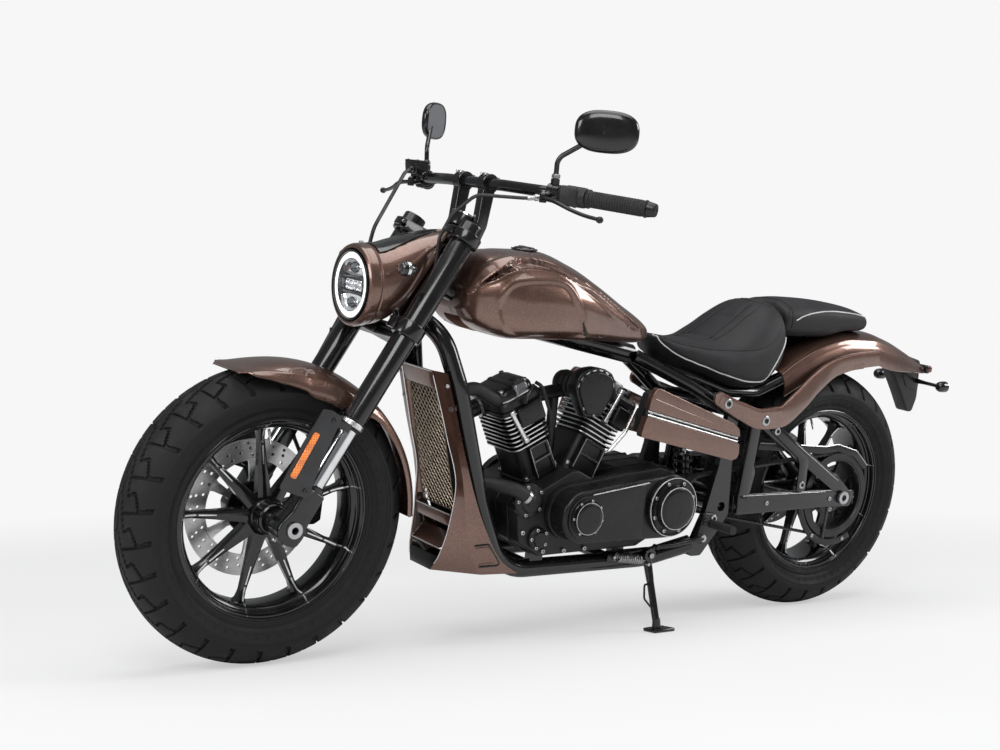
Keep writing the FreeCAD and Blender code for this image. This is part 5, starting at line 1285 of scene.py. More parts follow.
# Lines along the side: the blade's upper and lower edge, and the band under the hollow below it
BLADE_TOP = [(1.172, 0.822), (1.155, 0.846), (1.136, 0.868), (1.1, 0.887), (1.052, 0.897), (1.005, 0.898),
             (0.956, 0.887), (0.908, 0.867), (0.845, 0.84), (0.782, 0.804), (0.724, 0.77), (0.699, 0.747),
             (0.64, 0.724)]
BLADE_LOW = [(1.172, 0.815), (1.148, 0.838), (1.126, 0.856), (1.098, 0.875), (1.073, 0.885), (1.033, 0.891),
             (1.002, 0.889), (0.964, 0.879), (0.925, 0.859), (0.845, 0.829), (0.782, 0.794), (0.724, 0.761),
             (0.64, 0.72)]
BAND = [(1.172, 0.812), (1.146, 0.834), (1.121, 0.849), (1.077, 0.868), (1.028, 0.874), (0.976, 0.87),
        (0.937, 0.858), (0.901, 0.837), (0.864, 0.817), (0.793, 0.778), (0.713, 0.745), (0.64, 0.716)]
SCOOP = [(1.15, 0.838), (1.126, 0.858), (1.094, 0.875), (1.078, 0.879), (1.064, 0.874), (1.104, 0.86),
         (1.13, 0.844)]


def rounded(outline, times):
    """A closed outline with its corners cut again and again until they are round."""
    for _ in range(times):
        cut = []
        for index, (x, z) in enumerate(outline):
            ahead, up = outline[(index + 1) % len(outline)]
            cut += [(x * 0.75 + ahead * 0.25, z * 0.75 + up * 0.25),
                    (x * 0.25 + ahead * 0.75, z * 0.25 + up * 0.75)]
        outline = cut
    return outline


def inside(outline, x, z):
    """How far a place is inside a closed outline: negative outside, in metres."""
    best = 1e9
    within = False
    for (x1, z1), (x2, z2) in zip(outline, outline[1:] + outline[:1]):
        run = Vector((x2 - x1, z2 - z1))
        share = min(max(Vector((x - x1, z - z1)).dot(run) / run.length_squared, 0), 1)
        best = min(best, math.hypot(x - x1 - run.x * share, z - z1 - run.y * share))
        if (z1 > z) != (z2 > z) and x < (x2 - x1) * (z - z1) / (z2 - z1) + x1:
            within = not within
    return best if within else -best


def height_on(line, x):
    """The height of a line of (x, z) points at x."""
    rows = sorted((x0, z0) for x0, z0 in line)
    return rows_at(rows, x)[0]


PANEL_LINE = rounded(KNEE_PANEL, 2)


def tank_skin(across, along):
    """A point of the tank's skin: across runs round from the floor, along from front to tail."""
    x = TANK_FRONT - along * (TANK_FRONT - TANK_TAIL)
    half, _, high, waist = rows_at(TANK_ROWS, x)
    y, z = oval(across + 0.5, *rows_at(TANK_ROWS, x), *TANK_POWERS)
    face = abs(y) / max(half, 1e-6)
    top, low_edge, band = height_on(BLADE_TOP, x), height_on(BLADE_LOW, x), height_on(BAND, x)
    ridge = 0.0
    if face > 0.15:
        blend = eased(face, 0.15, 0.4) * plateau(along, 0.0, 0.05, 0.86, 0.97)
        blade = eased(z - low_edge, -0.0015, 0.0015) * (1 - eased(z - top, 0.0, 0.0045))
        hollow = eased(low_edge - z, -0.0015, 0.003) * eased(z - band, -0.001, 0.006)
        front = eased(x, 0.86, 0.98)
        ridge = 0.0046 * blade * blend - (0.002 + 0.0045 * front) * hollow * blend
        ridge += 0.0016 * bell(z, band, 0.0035) * blend
    if face > 0.3:
        panel = inside(PANEL_LINE, x, z)
        ridge -= 0.0056 * eased(panel, -0.0015, 0.0085)
        ridge += 0.0014 * bell(panel, -0.004, 0.004)
        slot = inside([(0.898, 0.762), (0.892, 0.764), (0.874, 0.728), (0.88, 0.724)], x, z)
        ridge -= 0.004 * eased(slot, -0.001, 0.0015)
        scoop = inside(SCOOP, x, z)
        ridge += 0.0016 * bell(scoop, -0.0025, 0.002) - 0.0095 * eased(scoop, -0.0005, 0.004)
    reach = Vector((0, y / max(half, 1e-6), (z - waist) / max(high - waist, 1e-6))).normalized()
    return Vector((x, y, z)) + reach * ridge


class MakeTank(bpy.types.Operator):
    """Makes the tank with its knee panels, shoulder creases and scoops, and its cap"""

    bl_idname = "cruiser.tank"
    bl_label = "Tank"

    def execute(self, context):
        piece = Piece("tank")
        shell = closed_tube(220, 164, tank_skin)
        side_view = [(0.55, 0.65), (1.25, 0.65), (1.25, 0.757), (0.7, 0.757), (0.67, 0.731), (0.55, 0.731)]
        tunnel = loft([[Vector((x, y, z)) for x, z in side_view] for y in (-0.033, 0.033)])
        piece.add(carved(shell, tunnel), "paint")
        # Faces inside the scoop take gloss black: painted shade of the scoop's hollow.
        piece.finishes.append("gloss")
        for face in piece.shape.faces:
            middle = face.calc_center_median()
            if abs(middle.y) > 0.05 and inside(SCOOP, middle.x, middle.z) > 0.0015:
                face.material_index = 1
        for side in (1, -1):
            flap = []
            for x in (0.67, 0.7, 0.8, 0.9, 1.0, 1.08, 1.13):
                y, z = oval(0.43, *rows_at(TANK_ROWS, x), *TANK_POWERS)
                flap.append(Vector((x, y * side, z + 0.001)))
            piece.add(pipe(flap, 0.0022, sides=8, resolution=10), "paint")
            slot = slab([(0.897, 0.7605), (0.8925, 0.7625), (0.8755, 0.729), (0.8795, 0.7265)], 0, 0.003,
                        0.0008)
            wide = oval(0.27, *rows_at(TANK_ROWS, 0.886), *TANK_POWERS)[0]
            flip = Matrix.Diagonal((1, side, 1, 1))
            slot = moved(slot, flip @ at(0, wide - 0.0048, 0))
            bmesh.ops.recalc_face_normals(slot, faces=slot.faces)
            piece.add(slot, "plastic")
        tank = piece.done(BIKE, "root", "paint", ["fuel_tank"], sharp=40)
        cap = Piece("tank_cap")
        ring = [(0, 0.002), (0.036, 0.002), (0.0365, 0.0035), (0.034, 0.006), (0.0325, 0.0062),
                (0.0318, 0.0052), (0.0305, 0.0052), (0.0298, 0.0072), (0.025, 0.0102), (0.012, 0.0118),
                (0, 0.012)]
        upright = at(0.982, 0, 0.9074) @ spin(90, "X")
        upright = upright @ Matrix.Diagonal((0.84, 0.78, 0.84, 1))
        cap.add(turned(ring, 64), "gloss", upright)
        lugs = [upright @ turn @ at(0, 0.0052, 0.0345) for turn in round_the_wheel(6)]
        cap.add(repeated(lambda: hex_bolt(0.0024, 0.0016), lugs), "bolt")
        flap = slab([(-0.006, 0.0), (0.006, 0.0), (0.007, 0.021), (-0.007, 0.021)], 0.0095, 0.013, 0.0012,
                    2, 0.002)
        cap.add(flap, "gloss", upright)
        return made(tank, cap.done(BIKE, "root", "steel", ["fuel_cap"]))


NACELLE_ROWS = [(1.418, 0.088, 0.726, 0.902, 0.814, 2.0, 2.0),
                (1.4, 0.0888, 0.729, 0.9035, 0.815, 2.0, 2.05),
                (1.376, 0.088, 0.734, 0.905, 0.818, 2.1, 2.2), (1.332, 0.083, 0.76, 0.916, 0.84, 2.3, 2.4),
                (1.282, 0.07, 0.82, 0.93, 0.88, 2.4, 2.4), (1.24, 0.052, 0.88, 0.939, 0.912, 2.4, 2.4),
                (1.206, 0.022, 0.925, 0.944, 0.936, 2.2, 2.2)]
NACELLE_FRONT, NACELLE_BACK = NACELLE_ROWS[0][0], NACELLE_ROWS[-1][0]
LAMP_HEIGHT = 0.814


def nacelle_skin(across, along):
    """Nacelle: round in front, with a ledge round its rim and a flat panel let into its top."""
    x = NACELLE_FRONT - along * (NACELLE_FRONT - NACELLE_BACK)
    half, _, high, waist = rows_at(NACELLE_ROWS, x)[:4]
    y, z = oval(across + 0.5, *rows_at(NACELLE_ROWS, x))
    reach = Vector((0, y / max(half, 1e-6), (z - waist) / max(high - waist, 1e-6))).normalized()
    ledge = NACELLE_FRONT - x
    lift = -0.0026 * bell(ledge, 0.0205, 0.0016)
    lift += 0.0012 * (1 - eased(ledge, 0.0175, 0.0225))
    if z > waist:
        wide = half * (0.62 - 0.25 * along)
        panel = min(wide - abs(y), ledge - 0.026)
        lift -= 0.0024 * eased(panel, -0.0008, 0.0012)
    side_line = waist + (high - waist) * 0.32
    lift += 0.0022 * bell(z, side_line, 0.006) * eased(ledge, 0.05, 0.09)
    return Vector((x, y, z)) + reach * lift


class MakeHeadlamp(bpy.types.Operator):
    """Makes the nacelle, the headlamp inside it, the front indicators and the gauge"""

    bl_idname = "cruiser.headlamp"
    bl_label = "Headlamp"

    def execute(self, context):
        return made(self.add_nacelle(), self.add_lamp(), self.add_indicators(), self.add_gauge())

    def add_nacelle(self):
        """The painted shell with its rim, top panel and stays."""
        piece = Piece("nacelle")
        shell = grid(120, 90, nacelle_skin, wrap=True)
        rims = [edge for edge in shell.edges if edge.is_boundary]
        bmesh.ops.holes_fill(shell, edges=[edge for edge in rims if edge.calc_length() < 0.004], sides=0)
        bore = bar((1.37, 0, LAMP_HEIGHT), (1.47, 0, LAMP_HEIGHT), 0.0768, sides=96)
        shell = closed_ends(shell)
        piece.add(carved(shell, bore), "paint")
        place = at(NACELLE_FRONT, 0, LAMP_HEIGHT) @ spin(-90, "Z")
        rim = [(0.0772, -0.004), (0.0772, 0.005), (0.079, 0.0078), (0.083, 0.0082), (0.0868, 0.006),
               (0.0886, 0.0015), (0.0888, -0.004)]
        piece.add(turned(rim, 112, closed=True), "paint", place)

        def top_panel(across, along):
            """A point of the gloss panel in the nacelle's top."""
            x = 1.39 - along * (1.39 - 1.222)
            half, _, high, waist, top = rows_at(NACELLE_ROWS, x)[:5]
            taper = 0.25 * (NACELLE_FRONT - x) / (NACELLE_FRONT - NACELLE_BACK)
            wide = half * (0.6 - taper) * (1 - 0.7 * eased(along, 0.9, 1.0))
            y = (across * 2 - 1) * wide
            share = min(abs(y) / half, 0.999)
            z = waist + (high - waist) * (1 - share ** top) ** (1 / top)
            return Vector((x, y, z - 0.0005))
        piece.add(thickened(grid(24, 40, top_panel), -0.002), "gloss")
        screw = aimed((1.408, 0.0, 0.9045), (0.1, 0, 1))
        piece.add(hex_bolt(0.005, 0.004), "bolt", screw)
        stay = [[(1.352, 0.046, 0.738), (1.352, 0.064, 0.741), (1.352, 0.064, 0.749),
                 (1.352, 0.046, 0.746)],
                [(1.318, 0.052, 0.712), (1.318, 0.072, 0.714), (1.318, 0.072, 0.722), (1.318, 0.052, 0.72)]]
        piece.add(loft(stay), "gloss", mirror=True)
        for side in (1, -1):
            foot = FORK_TO_BIKE @ Vector((0.038, 0.06 * side, 0.485))
            piece.add(bar(foot, (1.352, 0.052 * side, 0.79), 0.007, sides=18), "gloss")
        return piece.done(BIKE, "steering", "paint", ["headlamp_nacelle"], sharp=34)

    def add_lamp(self):
        """The lamp's bowl, bright ring, projectors and glass."""
        piece = Piece("headlamp_unit")
        place = at(NACELLE_FRONT + 0.01, 0, LAMP_HEIGHT) @ spin(-90, "Z")
        bowl = [(0.0755, 0.001), (0.0755, -0.052), (0.066, -0.058), (0, -0.058), (0, -0.052),
                (0.058, -0.05), (0.0665, -0.02), (0.0705, -0.004), (0.0715, 0.0008)]
        piece.add(turned(bowl, 96), "gloss", place)
        collar = [(0.0712, 0.0004), (0.0758, 0.0012), (0.0762, -0.004), (0.07, -0.01)]
        piece.add(turned(collar, 96, closed=True), "gloss", place)
        ring = [(0.0692, -0.0065), (0.0692, -0.003), (0.065, -0.0018), (0.059, -0.0022), (0.0572, -0.0045),
                (0.0572, -0.013), (0.0692, -0.013)]
        piece.add(turned(ring, 96, closed=True), "ring_light", place)
        rib = [(0.0574, -0.0042), (0.0574, -0.0022), (0.0562, -0.0018), (0.0552, -0.003), (0.0552, -0.018),
               (0.0574, -0.018)]
        piece.add(turned(rib, 96, closed=True), "reflector", place)
        for side in (1, -1):
            crescent = []
            count = 20
            for index in range(count + 1):
                angle = math.radians(-64 + 128 * index / count)
                crescent.append((math.sin(angle) * 0.0562, side * math.cos(angle) * 0.0562))
            inner = [(0.036, side * 0.0225), (0.02, side * 0.0195), (-0.02, side * 0.0195),
                     (-0.036, side * 0.0225)]
            outline = crescent + inner
            piece.add(slab(outline, -0.04, -0.012, 0.0012), "reflector", place)
            dome = ball((0, -0.012, side * 0.0375), 0.0165, (1.25, 0.5, 0.72), 12, 28)
            piece.add(dome, "dark_reflector", place)
            rim_of_dome = pipe([Vector((0.0212 * math.sin(a * math.pi / 12), -0.0118,
                                        side * 0.0375 + 0.0124 * math.cos(a * math.pi / 12)))
                                for a in range(24)], 0.0012, sides=8, closed=True, resolution=3)
            piece.add(rim_of_dome, "reflector", place)
            bar_shape = box((-0.043, -0.02, side * 0.0165 - 0.0022),
                            (0.043, -0.007, side * 0.0165 + 0.0022), 0.001)
            piece.add(bar_shape, "gloss", place)
            wing = box((side * 0.047 - 0.007, -0.022, -0.01), (side * 0.047 + 0.007, -0.009, 0.01), 0.002)
            piece.add(wing, "dark_reflector", place)
        back = slab([(0.055, -0.02), (0.055, 0.02), (-0.055, 0.02), (-0.055, -0.02)], -0.044, -0.03, 0.001)
        piece.add(back, "gloss", place)
        for x in (-0.0175, 0.0175):
            cup = carved(box((x - 0.016, -0.03, -0.0128), (x + 0.016, -0.0095, 0.0128), 0.0035, 4),
                         box((x - 0.0138, -0.018, -0.0106), (x + 0.0138, -0.002, 0.0106), 0.003, 4))
            piece.add(cup, "reflector", place)
            lens = ball((x, -0.02, 0), 0.015, (0.86, 0.62, 0.66), 14, 28)
            piece.add(lens, "reflector", place)
        cover = [(0.0, 0.0005), (0.03, -0.0002), (0.055, -0.002), (0.0705, -0.0045), (0.0705, -0.0065),
                 (0.055, -0.004), (0.03, -0.0022), (0.0, -0.0015)]
        lens = turned(cover, 96)
        piece.add(lens, "glass", place)
        return piece.done(BIKE, "steering", "lamp", ["headlamp"])

    def add_indicators(self):
        """The front pair on their stalks."""
        piece = Piece("front_flashers")
        x, z = 1.354, 0.858
        stalk = pipe([(x, 0.058, z), (x, 0.1, z + 0.004), (x, 0.121, z + 0.005)], 0.005, sides=14)
        piece.add(stalk, "gloss", mirror=True)
        along = at(x + 0.026, 0.128, z + 0.006) @ spin(-90, "Z")
        body = [(0, -0.034), (0.007, -0.034), (0.0125, -0.026), (0.0148, -0.015), (0.015, -0.0085),
                (0.0143, -0.0085), (0.0143, -0.0065), (0.015, -0.0065), (0.015, -0.001), (0.0138, 0)]
        piece.add(turned(body, 40), "gloss", along, mirror=True)
        band = [(0.0152, -0.0165), (0.0156, -0.016), (0.0156, -0.0095), (0.0152, -0.009)]
        piece.add(turned(band, 40, closed=True), "chrome", along, mirror=True)
        lens = [(0.0138, -0.0004), (0.0125, 0.0022), (0.008, 0.0038), (0, 0.0044)]
        piece.add(turned(lens, 40), "smoke", along, mirror=True)
        foot = turned([(0, 0.0), (0.0095, 0.0), (0.0095, 0.004), (0.0075, 0.008), (0.0055, 0.0105),
                       (0, 0.0105)], 28)
        piece.add(foot, "gloss", at(x, 0.0762, z + 0.0015), mirror=True)
        return piece.done(BIKE, "steering", "lamp", ["front_indicators"])

    def add_gauge(self):
        """The round gauge with its marks and needle."""
        piece = Piece("round_gauge")
        place = FORK_TO_BIKE @ at(0.006, 0, 0.725) @ spin(90, "X")
        body = [(0, 0), (0.018, 0), (0.0185, 0.001), (0.0185, 0.021), (0.026, 0.026), (0.032, 0.0305),
                (0.0335, 0.036), (0.0342, 0.056), (0.0345, 0.0605), (0.033, 0.0625), (0.0308, 0.0625),
                (0.0298, 0.0605), (0, 0.0602)]
        piece.add(turned(body, 72), "gloss", place)
        piece.add(turned([(0.0346, 0.0575), (0.0352, 0.0582), (0.0352, 0.0612), (0.0332, 0.0628),
                          (0.0322, 0.0626)], 72, closed=True), "chrome", place)
        piece.add(turned([(0, 0.0605), (0.0295, 0.0605), (0.0295, 0.0611), (0, 0.0611)], 72), "face", place)
        ticks = [place @ spin(-135 + 270 * index / 24, "Y") for index in range(25)]
        piece.add(repeated(lambda: box((-0.0004, 0.0611, 0.0238), (0.0004, 0.0616, 0.0272)), ticks), "mark")
        needle = loft([[(-0.0009, 0.0613, -0.005), (0.0009, 0.0613, -0.005), (0.0009, 0.0622, -0.005),
                        (-0.0009, 0.0622, -0.005)],
                       [(-0.0003, 0.0613, 0.022), (0.0003, 0.0613, 0.022), (0.0003, 0.0619, 0.022),
                        (-0.0003, 0.0619, 0.022)]])
        # The needle's amber finish glows by itself: painted glow.
        piece.add(needle, "amber", place @ spin(-120, "Y"))
        piece.add(turned([(0, 0.0625), (0.003, 0.0624), (0.0036, 0.0612)], 24), "gloss", place)
        return piece.done(BIKE, "steering", "black_plastic", ["gauge"])


# Fork, yokes, guards, front fender and front caliper, in the fork's own frame

LEG_SPREAD = 0.1165
OUTER_LOW = 0.243
LOW_YOKE = 0.462
TOP_YOKE = 0.7
UPRIGHT = spin(90, "X")


def yoke_plate(low, high, boss, web, thin):
    """A clamp plate: two round bosses and a web swept back to the stem, its middle let in."""
    outline = []
    for side in (1, -1):
        arc = arc_of((YOKE_OFFSET, LEG_SPREAD), boss, -70, 160, 14)
        outline += [(x, y * side) for x, y in (arc if side > 0 else reversed(arc))]
        if side > 0:
            outline += [(0.012, 0.07), (-web, web * 1.15), (-web, -web * 1.15), (0.012, -0.07)]
    outline += [(0.03, -0.045), (0.03, 0.045)]
    flat = [(x, -y) for x, y in outline]
    plate = slab(flat, low, high, 0.003, 3)
    pocket = slab([(0.018, -0.066), (0.018, 0.066), (-0.006, 0.024), (-0.006, -0.024)], high - thin,
                  high + 0.01, 0)
    return moved(carved(plate, pocket), UPRIGHT)


def leg_shapes(piece, side):
    """One leg: outer tube, bright end ring, inner tube and the casting at the axle."""
    place = at(YOKE_OFFSET, LEG_SPREAD * side, 0) @ UPRIGHT
    outer = [(0, 0.745), (0.012, 0.745), (0.013, 0.742), (0.0205, 0.742), (0.022, 0.7455), (0.0245, 0.7455),
             (0.026, 0.743), (0.026, OUTER_LOW + 0.016), (0.0252, OUTER_LOW + 0.0148),
             (0.0252, OUTER_LOW + 0.011), (0.0215, OUTER_LOW + 0.0108)]
    piece.add(turned(outer, 64), "gloss", place)
    ring = [(0.0212, OUTER_LOW + 0.0108), (0.0262, OUTER_LOW + 0.0108), (0.0268, OUTER_LOW + 0.01),
            (0.0268, OUTER_LOW + 0.0015), (0.0258, OUTER_LOW), (0.0212, OUTER_LOW)]
    piece.add(turned(ring, 64, closed=True), "silver", place)
    boot = [(0.0205, OUTER_LOW + 0.001), (0.0236, OUTER_LOW - 0.001), (0.0236, OUTER_LOW - 0.006),
            (0.0212, OUTER_LOW - 0.0075)]
    piece.add(turned(boot, 48), "rubber", place)
    piece.add(turned([(0.0205, 0.09), (0.0205, OUTER_LOW + 0.01)], 64), "chrome", place)
    casting = [(0.0, 0.102), (0.0205, 0.102), (0.0245, 0.0985), (0.0245, 0.03), (0.023, 0.02), (0.0, 0.012)]
    piece.add(turned(casting, 56), "gloss", place)
    plan = [(-0.0245, 0.09), (-0.0245, 0.022), (-0.031, -0.004), (-0.027, -0.028), (-0.01, -0.035),
            (0.016, -0.035), (0.031, -0.018), (0.032, 0.002), (0.0245, 0.032), (0.0245, 0.09)]
    foot = slab(plan, -0.0245, 0.0245, 0.004, 3, 0.006)
    bore = bar((0, -0.05, 0), (0, 0.05, 0), 0.0122, sides=40)
    spot = at(YOKE_OFFSET, LEG_SPREAD * side, 0)
    piece.add(carved(foot, bore), "gloss", spot)
    for height in (-0.012, 0.012):
        head = aimed((YOKE_OFFSET + height * 1.1, (LEG_SPREAD - 0.0005) * side, -0.0345), (0, 0, -1))
        piece.add(hex_bolt(0.0055, 0.005), "bolt", head)


class MakeFork(bpy.types.Operator):
    """Makes the fork legs, their yokes, guards and reflectors, and the front caliper"""

    bl_idname = "cruiser.fork"
    bl_label = "Fork"

    def execute(self, context):
        legs = []
        for side, name in ((1, "left"), (-1, "right")):
            piece = Piece("fork_" + name)
            leg_shapes(piece, side)
            legs.append(piece.done(FORK, "steering", "fork_black", ["fork_leg_" + name]))
        return made(*legs, self.add_yokes(), self.add_guards(), self.add_caliper())

    def add_yokes(self):
        """Both clamp plates with the stem, its nut and the pinch bolts."""
        piece = Piece("fork_yokes")
        boss = 0.034
        piece.add(yoke_plate(LOW_YOKE, LOW_YOKE + 0.034, boss, 0.027, 0.006), "gloss")
        piece.add(yoke_plate(TOP_YOKE, TOP_YOKE + 0.025, boss, 0.029, 0.005), "gloss")
        stem = [(0, LOW_YOKE + 0.002), (0.016, LOW_YOKE + 0.002), (0.016, TOP_YOKE + 0.0245),
                (0, TOP_YOKE + 0.0245)]
        piece.add(turned(stem, 32), "gloss", UPRIGHT)
        nut = turned([(0, 0.0), (0.017, 0.0), (0.017, 0.005), (0.0145, 0.008), (0.007, 0.008),
                      (0.006, 0.004), (0, 0.004)], 6)
        piece.add(nut, "chrome", at(0, 0, TOP_YOKE + 0.0202) @ UPRIGHT)
        for low, thick in ((LOW_YOKE, 0.034), (TOP_YOKE, 0.025)):
            for side in (1, -1):
                y = (LEG_SPREAD - 0.012) * side
                lug = box((YOKE_OFFSET + 0.03, y - 0.013, low + 0.003),
                          (YOKE_OFFSET + 0.042, y + 0.013, low + thick - 0.003), 0.003)
                piece.add(lug, "gloss")
                heads = [(YOKE_OFFSET + 0.036, y - 0.013 * side, low + thick / 2 + lift)
                         for lift in ((-0.008, 0.008) if thick > 0.03 else (0,))]
                piece.add(bolts(heads, (0, -side, 0), 0.0045, 0.005), "bolt")
        return piece.done(FORK, "steering", "fork_black", ["yokes"])

    def add_guards(self):
        """The plate on each leg with its reflector and lugs."""
        piece = Piece("fork_guard_plates")
        face = 0.1428
        plate = [(0.045, 0.246), (0.072, 0.2455), (0.0915, 0.238), (0.0905, 0.16), (0.084, 0.058),
                 (0.078, 0.054), (0.016, 0.068), (0.0165, 0.076), (0.034, 0.16)]
        plate = [(YOKE_OFFSET + x, z) for x, z in plate]
        for side in (1, -1):
            turn = Matrix.Diagonal((1, side, 1, 1))
            # Each plate's amber reflector glows by itself: painted glow.
            for shape, finish in ((slab(plate, face, face + 0.005, 0.002, 3, 0.006), "guard"),
                                  (slab([(YOKE_OFFSET + x, z) for x, z in ((0.064, 0.087), (0.079, 0.086),
                                                                           (0.0835, 0.189), (0.07, 0.192))],
                                        face + 0.004, face + 0.0085, 0.0016, 3, 0.005), "amber")):
                moved(shape, turn)
                bmesh.ops.recalc_face_normals(shape, faces=shape.faces)
                piece.add(shape, finish)
            for low, high, near, far in ((0.224, 0.244, 0.03, 0.06), (0.072, 0.088, 0.026, 0.04)):
                y = sorted(((LEG_SPREAD + 0.012) * side, (face + 0.002) * side))
                lug = box((YOKE_OFFSET + near - 0.018, y[0], low), (YOKE_OFFSET + far, y[1], high), 0.0025)
                piece.add(lug, "gloss")
            spots = [(YOKE_OFFSET + x, (face + 0.0045) * side, z)
                     for x, z in ((0.058, 0.232), (0.03, 0.079))]
            piece.add(bolts(spots, (0, side, 0), 0.005, 0.003), "dark_bolt")
        return piece.done(FORK, "steering", "guard_grey", ["fork_guards"])

    def add_caliper(self):
        """The front caliper on the right leg."""
        piece = Piece("front_caliper_body")
        turn = at(YOKE_OFFSET, 0, 0) @ spin(-62, "Y")
        plan = [(-0.035, 0.107), (-0.03, 0.104), (0.03, 0.104), (0.035, 0.11), (0.034, 0.15),
                (0.024, 0.165), (-0.024, 0.165), (-0.034, 0.15)]
        body = slab(plan, -0.083, -0.046, 0.004, 3, 0.005)
        gap = box((-0.05, -0.0665, 0.08), (0.05, -0.0545, 0.151))
        window = box((-0.016, -0.078, 0.15), (0.016, -0.052, 0.18), 0.002)
        piece.add(carved(body, gap, window), "gloss", turn)
        lug = slab([(0.01, 0.106), (0.044, 0.104), (0.044, 0.146), (0.01, 0.146)], -0.0905, -0.0815, 0.002,
                   2, 0.005)
        piece.add(lug, "gloss", turn)
        cups = [turn @ aimed((x, -0.083, 0.131), (0, -1, 0)) for x in (-0.016, 0.016)]
        piece.add(repeated(lambda: turned([(0, 0.004), (0.01, 0.004), (0.0125, 0.0015), (0.0135, 0)], 28),
                           cups), "gloss")
        pads = box((-0.022, -0.066, 0.108), (0.022, -0.0636, 0.146), 0.0006)
        piece.add(pads, "bolt", turn)
        piece.add(bolts([(0.036, -0.0905, 0.114), (0.036, -0.0905, 0.136)], (0, -1, 0), 0.005, 0.004),
                  "bolt", turn)
        return piece.done(FORK, "steering", "fork_black", ["front_caliper"])


# The fender's side line: degrees round the axle from straight ahead, and the skirt's distance from the axle
FENDER_LINE = [(70.5, 0.3405), (71.5, 0.336), (73, 0.3295), (76, 0.3175), (81, 0.306), (86, 0.2955),
               (92, 0.2875), (97, 0.281), (101, 0.2715), (105, 0.2695), (118, 0.2693), (122, 0.276),
               (127, 0.2855), (136, 0.3005), (156, 0.3045), (180, 0.305)]
FENDER_FRONT, FENDER_BACK = FENDER_LINE[0][0], FENDER_LINE[-1][0]
FENDER_CROWN = 0.334


def fender_point(across, along, inset=0.0):
    """A point of the front fender's skin, or of its inner face, in the front wheel's frame."""
    degrees = FENDER_FRONT + (FENDER_BACK - FENDER_FRONT) * along ** 1.15
    skirt = max(FENDER_CROWN - rows_at(FENDER_LINE, degrees)[0], 0.004)
    share = abs(across * 2 - 1)
    side = 1 if across >= 0.5 else -1
    half = 0.088 * (1 - 0.32 * (1 - eased(along, 0.0, 0.075)) ** 2)
    bend = min(skirt, 0.058)
    if share < 0.72:
        angle = share / 0.72 * math.pi / 2
        y = half * math.sin(angle) ** 0.92
        drop = bend * (1 - max(math.cos(angle), 0.0) ** 0.9)
    else:
        y = half
        drop = bend + (skirt - bend) * (share - 0.72) / 0.28
    ridge = 0.0016 * bell(share, 0.5, 0.035) * eased(along, 0.02, 0.1)
    bulge = 0.004 * bell(share, 0.86, 0.06) * plateau(degrees, 92, 104, 124, 132)
    slot = 0.0035 * bell(share, 0.955, 0.012) * plateau(degrees, 99, 103, 120, 124)
    lift = FENDER_CROWN - drop + ridge
    if inset > 0:
        lift -= inset * (1 - share * 0.9)
        y -= inset * min(share * 1.4, 1.0)
    angle = math.radians(degrees)
    return Vector((lift * math.cos(angle), (y + bulge - slot) * side, lift * math.sin(angle)))


def shell_of(columns, rows, where, wall):
    """A shell from where(across, along, inset): its outer face, inner face and closed rims."""
    rings = []
    for row in range(rows + 1):
        along = row / rows
        outer = [where(column / columns, along, 0.0) for column in range(columns + 1)]
        inner = [where(1 - column / columns, along, wall) for column in range(columns + 1)]
        rings.append(outer + inner)
    return loft(rings)


def rim_of(where, along, across, closed=False):
    """The edge of a skin: down one side, round its end and back, and round its front when closed."""
    rim = [where(0.0, index / along) for index in range(along + 1)]
    rim += [where(index / across, 1.0) for index in range(1, across)]
    rim += [where(1.0, 1 - index / along) for index in range(along + 1)]
    if closed:
        rim += [where(1 - index / across, 0.0) for index in range(1, across)]
    return [Vector((point.x, point.y * 0.985, point.z)) for point in rim]


class MakeFrontFender(bpy.types.Operator):
    """Makes the front fender with its visor, creased sides and rolled edge"""

    bl_idname = "cruiser.front_fender"
    bl_label = "Front fender"

    def execute(self, context):
        piece = Piece("front_fender_shell")
        piece.add(shell_of(96, 120, fender_point, 0.0032), "paint")
        rim = rim_of(fender_point, 60, 24, True)
        rim = [point for index, point in enumerate(rim) if (point - rim[index - 1]).length > 0.0005]
        piece.add(pipe(rim, 0.002, bend=0.002, sides=8, closed=True, resolution=1), "paint")
        to_wheel = FRONT_WHEEL.inverted() @ FORK
        strap = [(YOKE_OFFSET + x, z) for x, z in ((-0.018, 0.062), (0.018, 0.062), (0.013, 0.2),
                                                   (0.024, 0.268), (0.018, 0.276), (-0.034, 0.276),
                                                   (-0.038, 0.268), (-0.013, 0.2))]
        for side in (1, -1):
            piece.add(side_plate(strap, 0.0845, 0.0905, side, 0.0016, 2, 0.004), "gloss", to_wheel)
            heads = [(YOKE_OFFSET + x, 0.087 * side, z)
                     for x, z in ((0.01, 0.262), (-0.022, 0.262), (0.0, 0.076))]
            piece.add(bolts(heads, (0, side, 0), 0.006, 0.0065), "bolt", to_wheel)
        return made(piece.done(FRONT_WHEEL, "steering", "paint", ["front_fender"], sharp=38))


# Engine: two finned cylinders on the cases, with their covers

VEE = Vector((0.856, 0, 0.285))
CRANK = Vector((0.875, 0, 0.322))
BANK = math.radians(26)
FIN_LOW, FIN_STEP, FIN_THICK = 0.208, 0.011, 0.005
HEAD_LOW = 0.296


def ring_at(half_x, half_y, corner, height, steps=6):
    """A rectangle with round corners, level at a height, as a ring of points."""
    ring = []
    for x, y, start in ((1, 1, 0), (-1, 1, 90), (-1, -1, 180), (1, -1, 270)):
        for index in range(steps + 1):
            angle = math.radians(start + 90 * index / steps)
            ring.append((x * (half_x - corner) + corner * math.cos(angle),
                         y * (half_y - corner) + corner * math.sin(angle), height))
    return ring


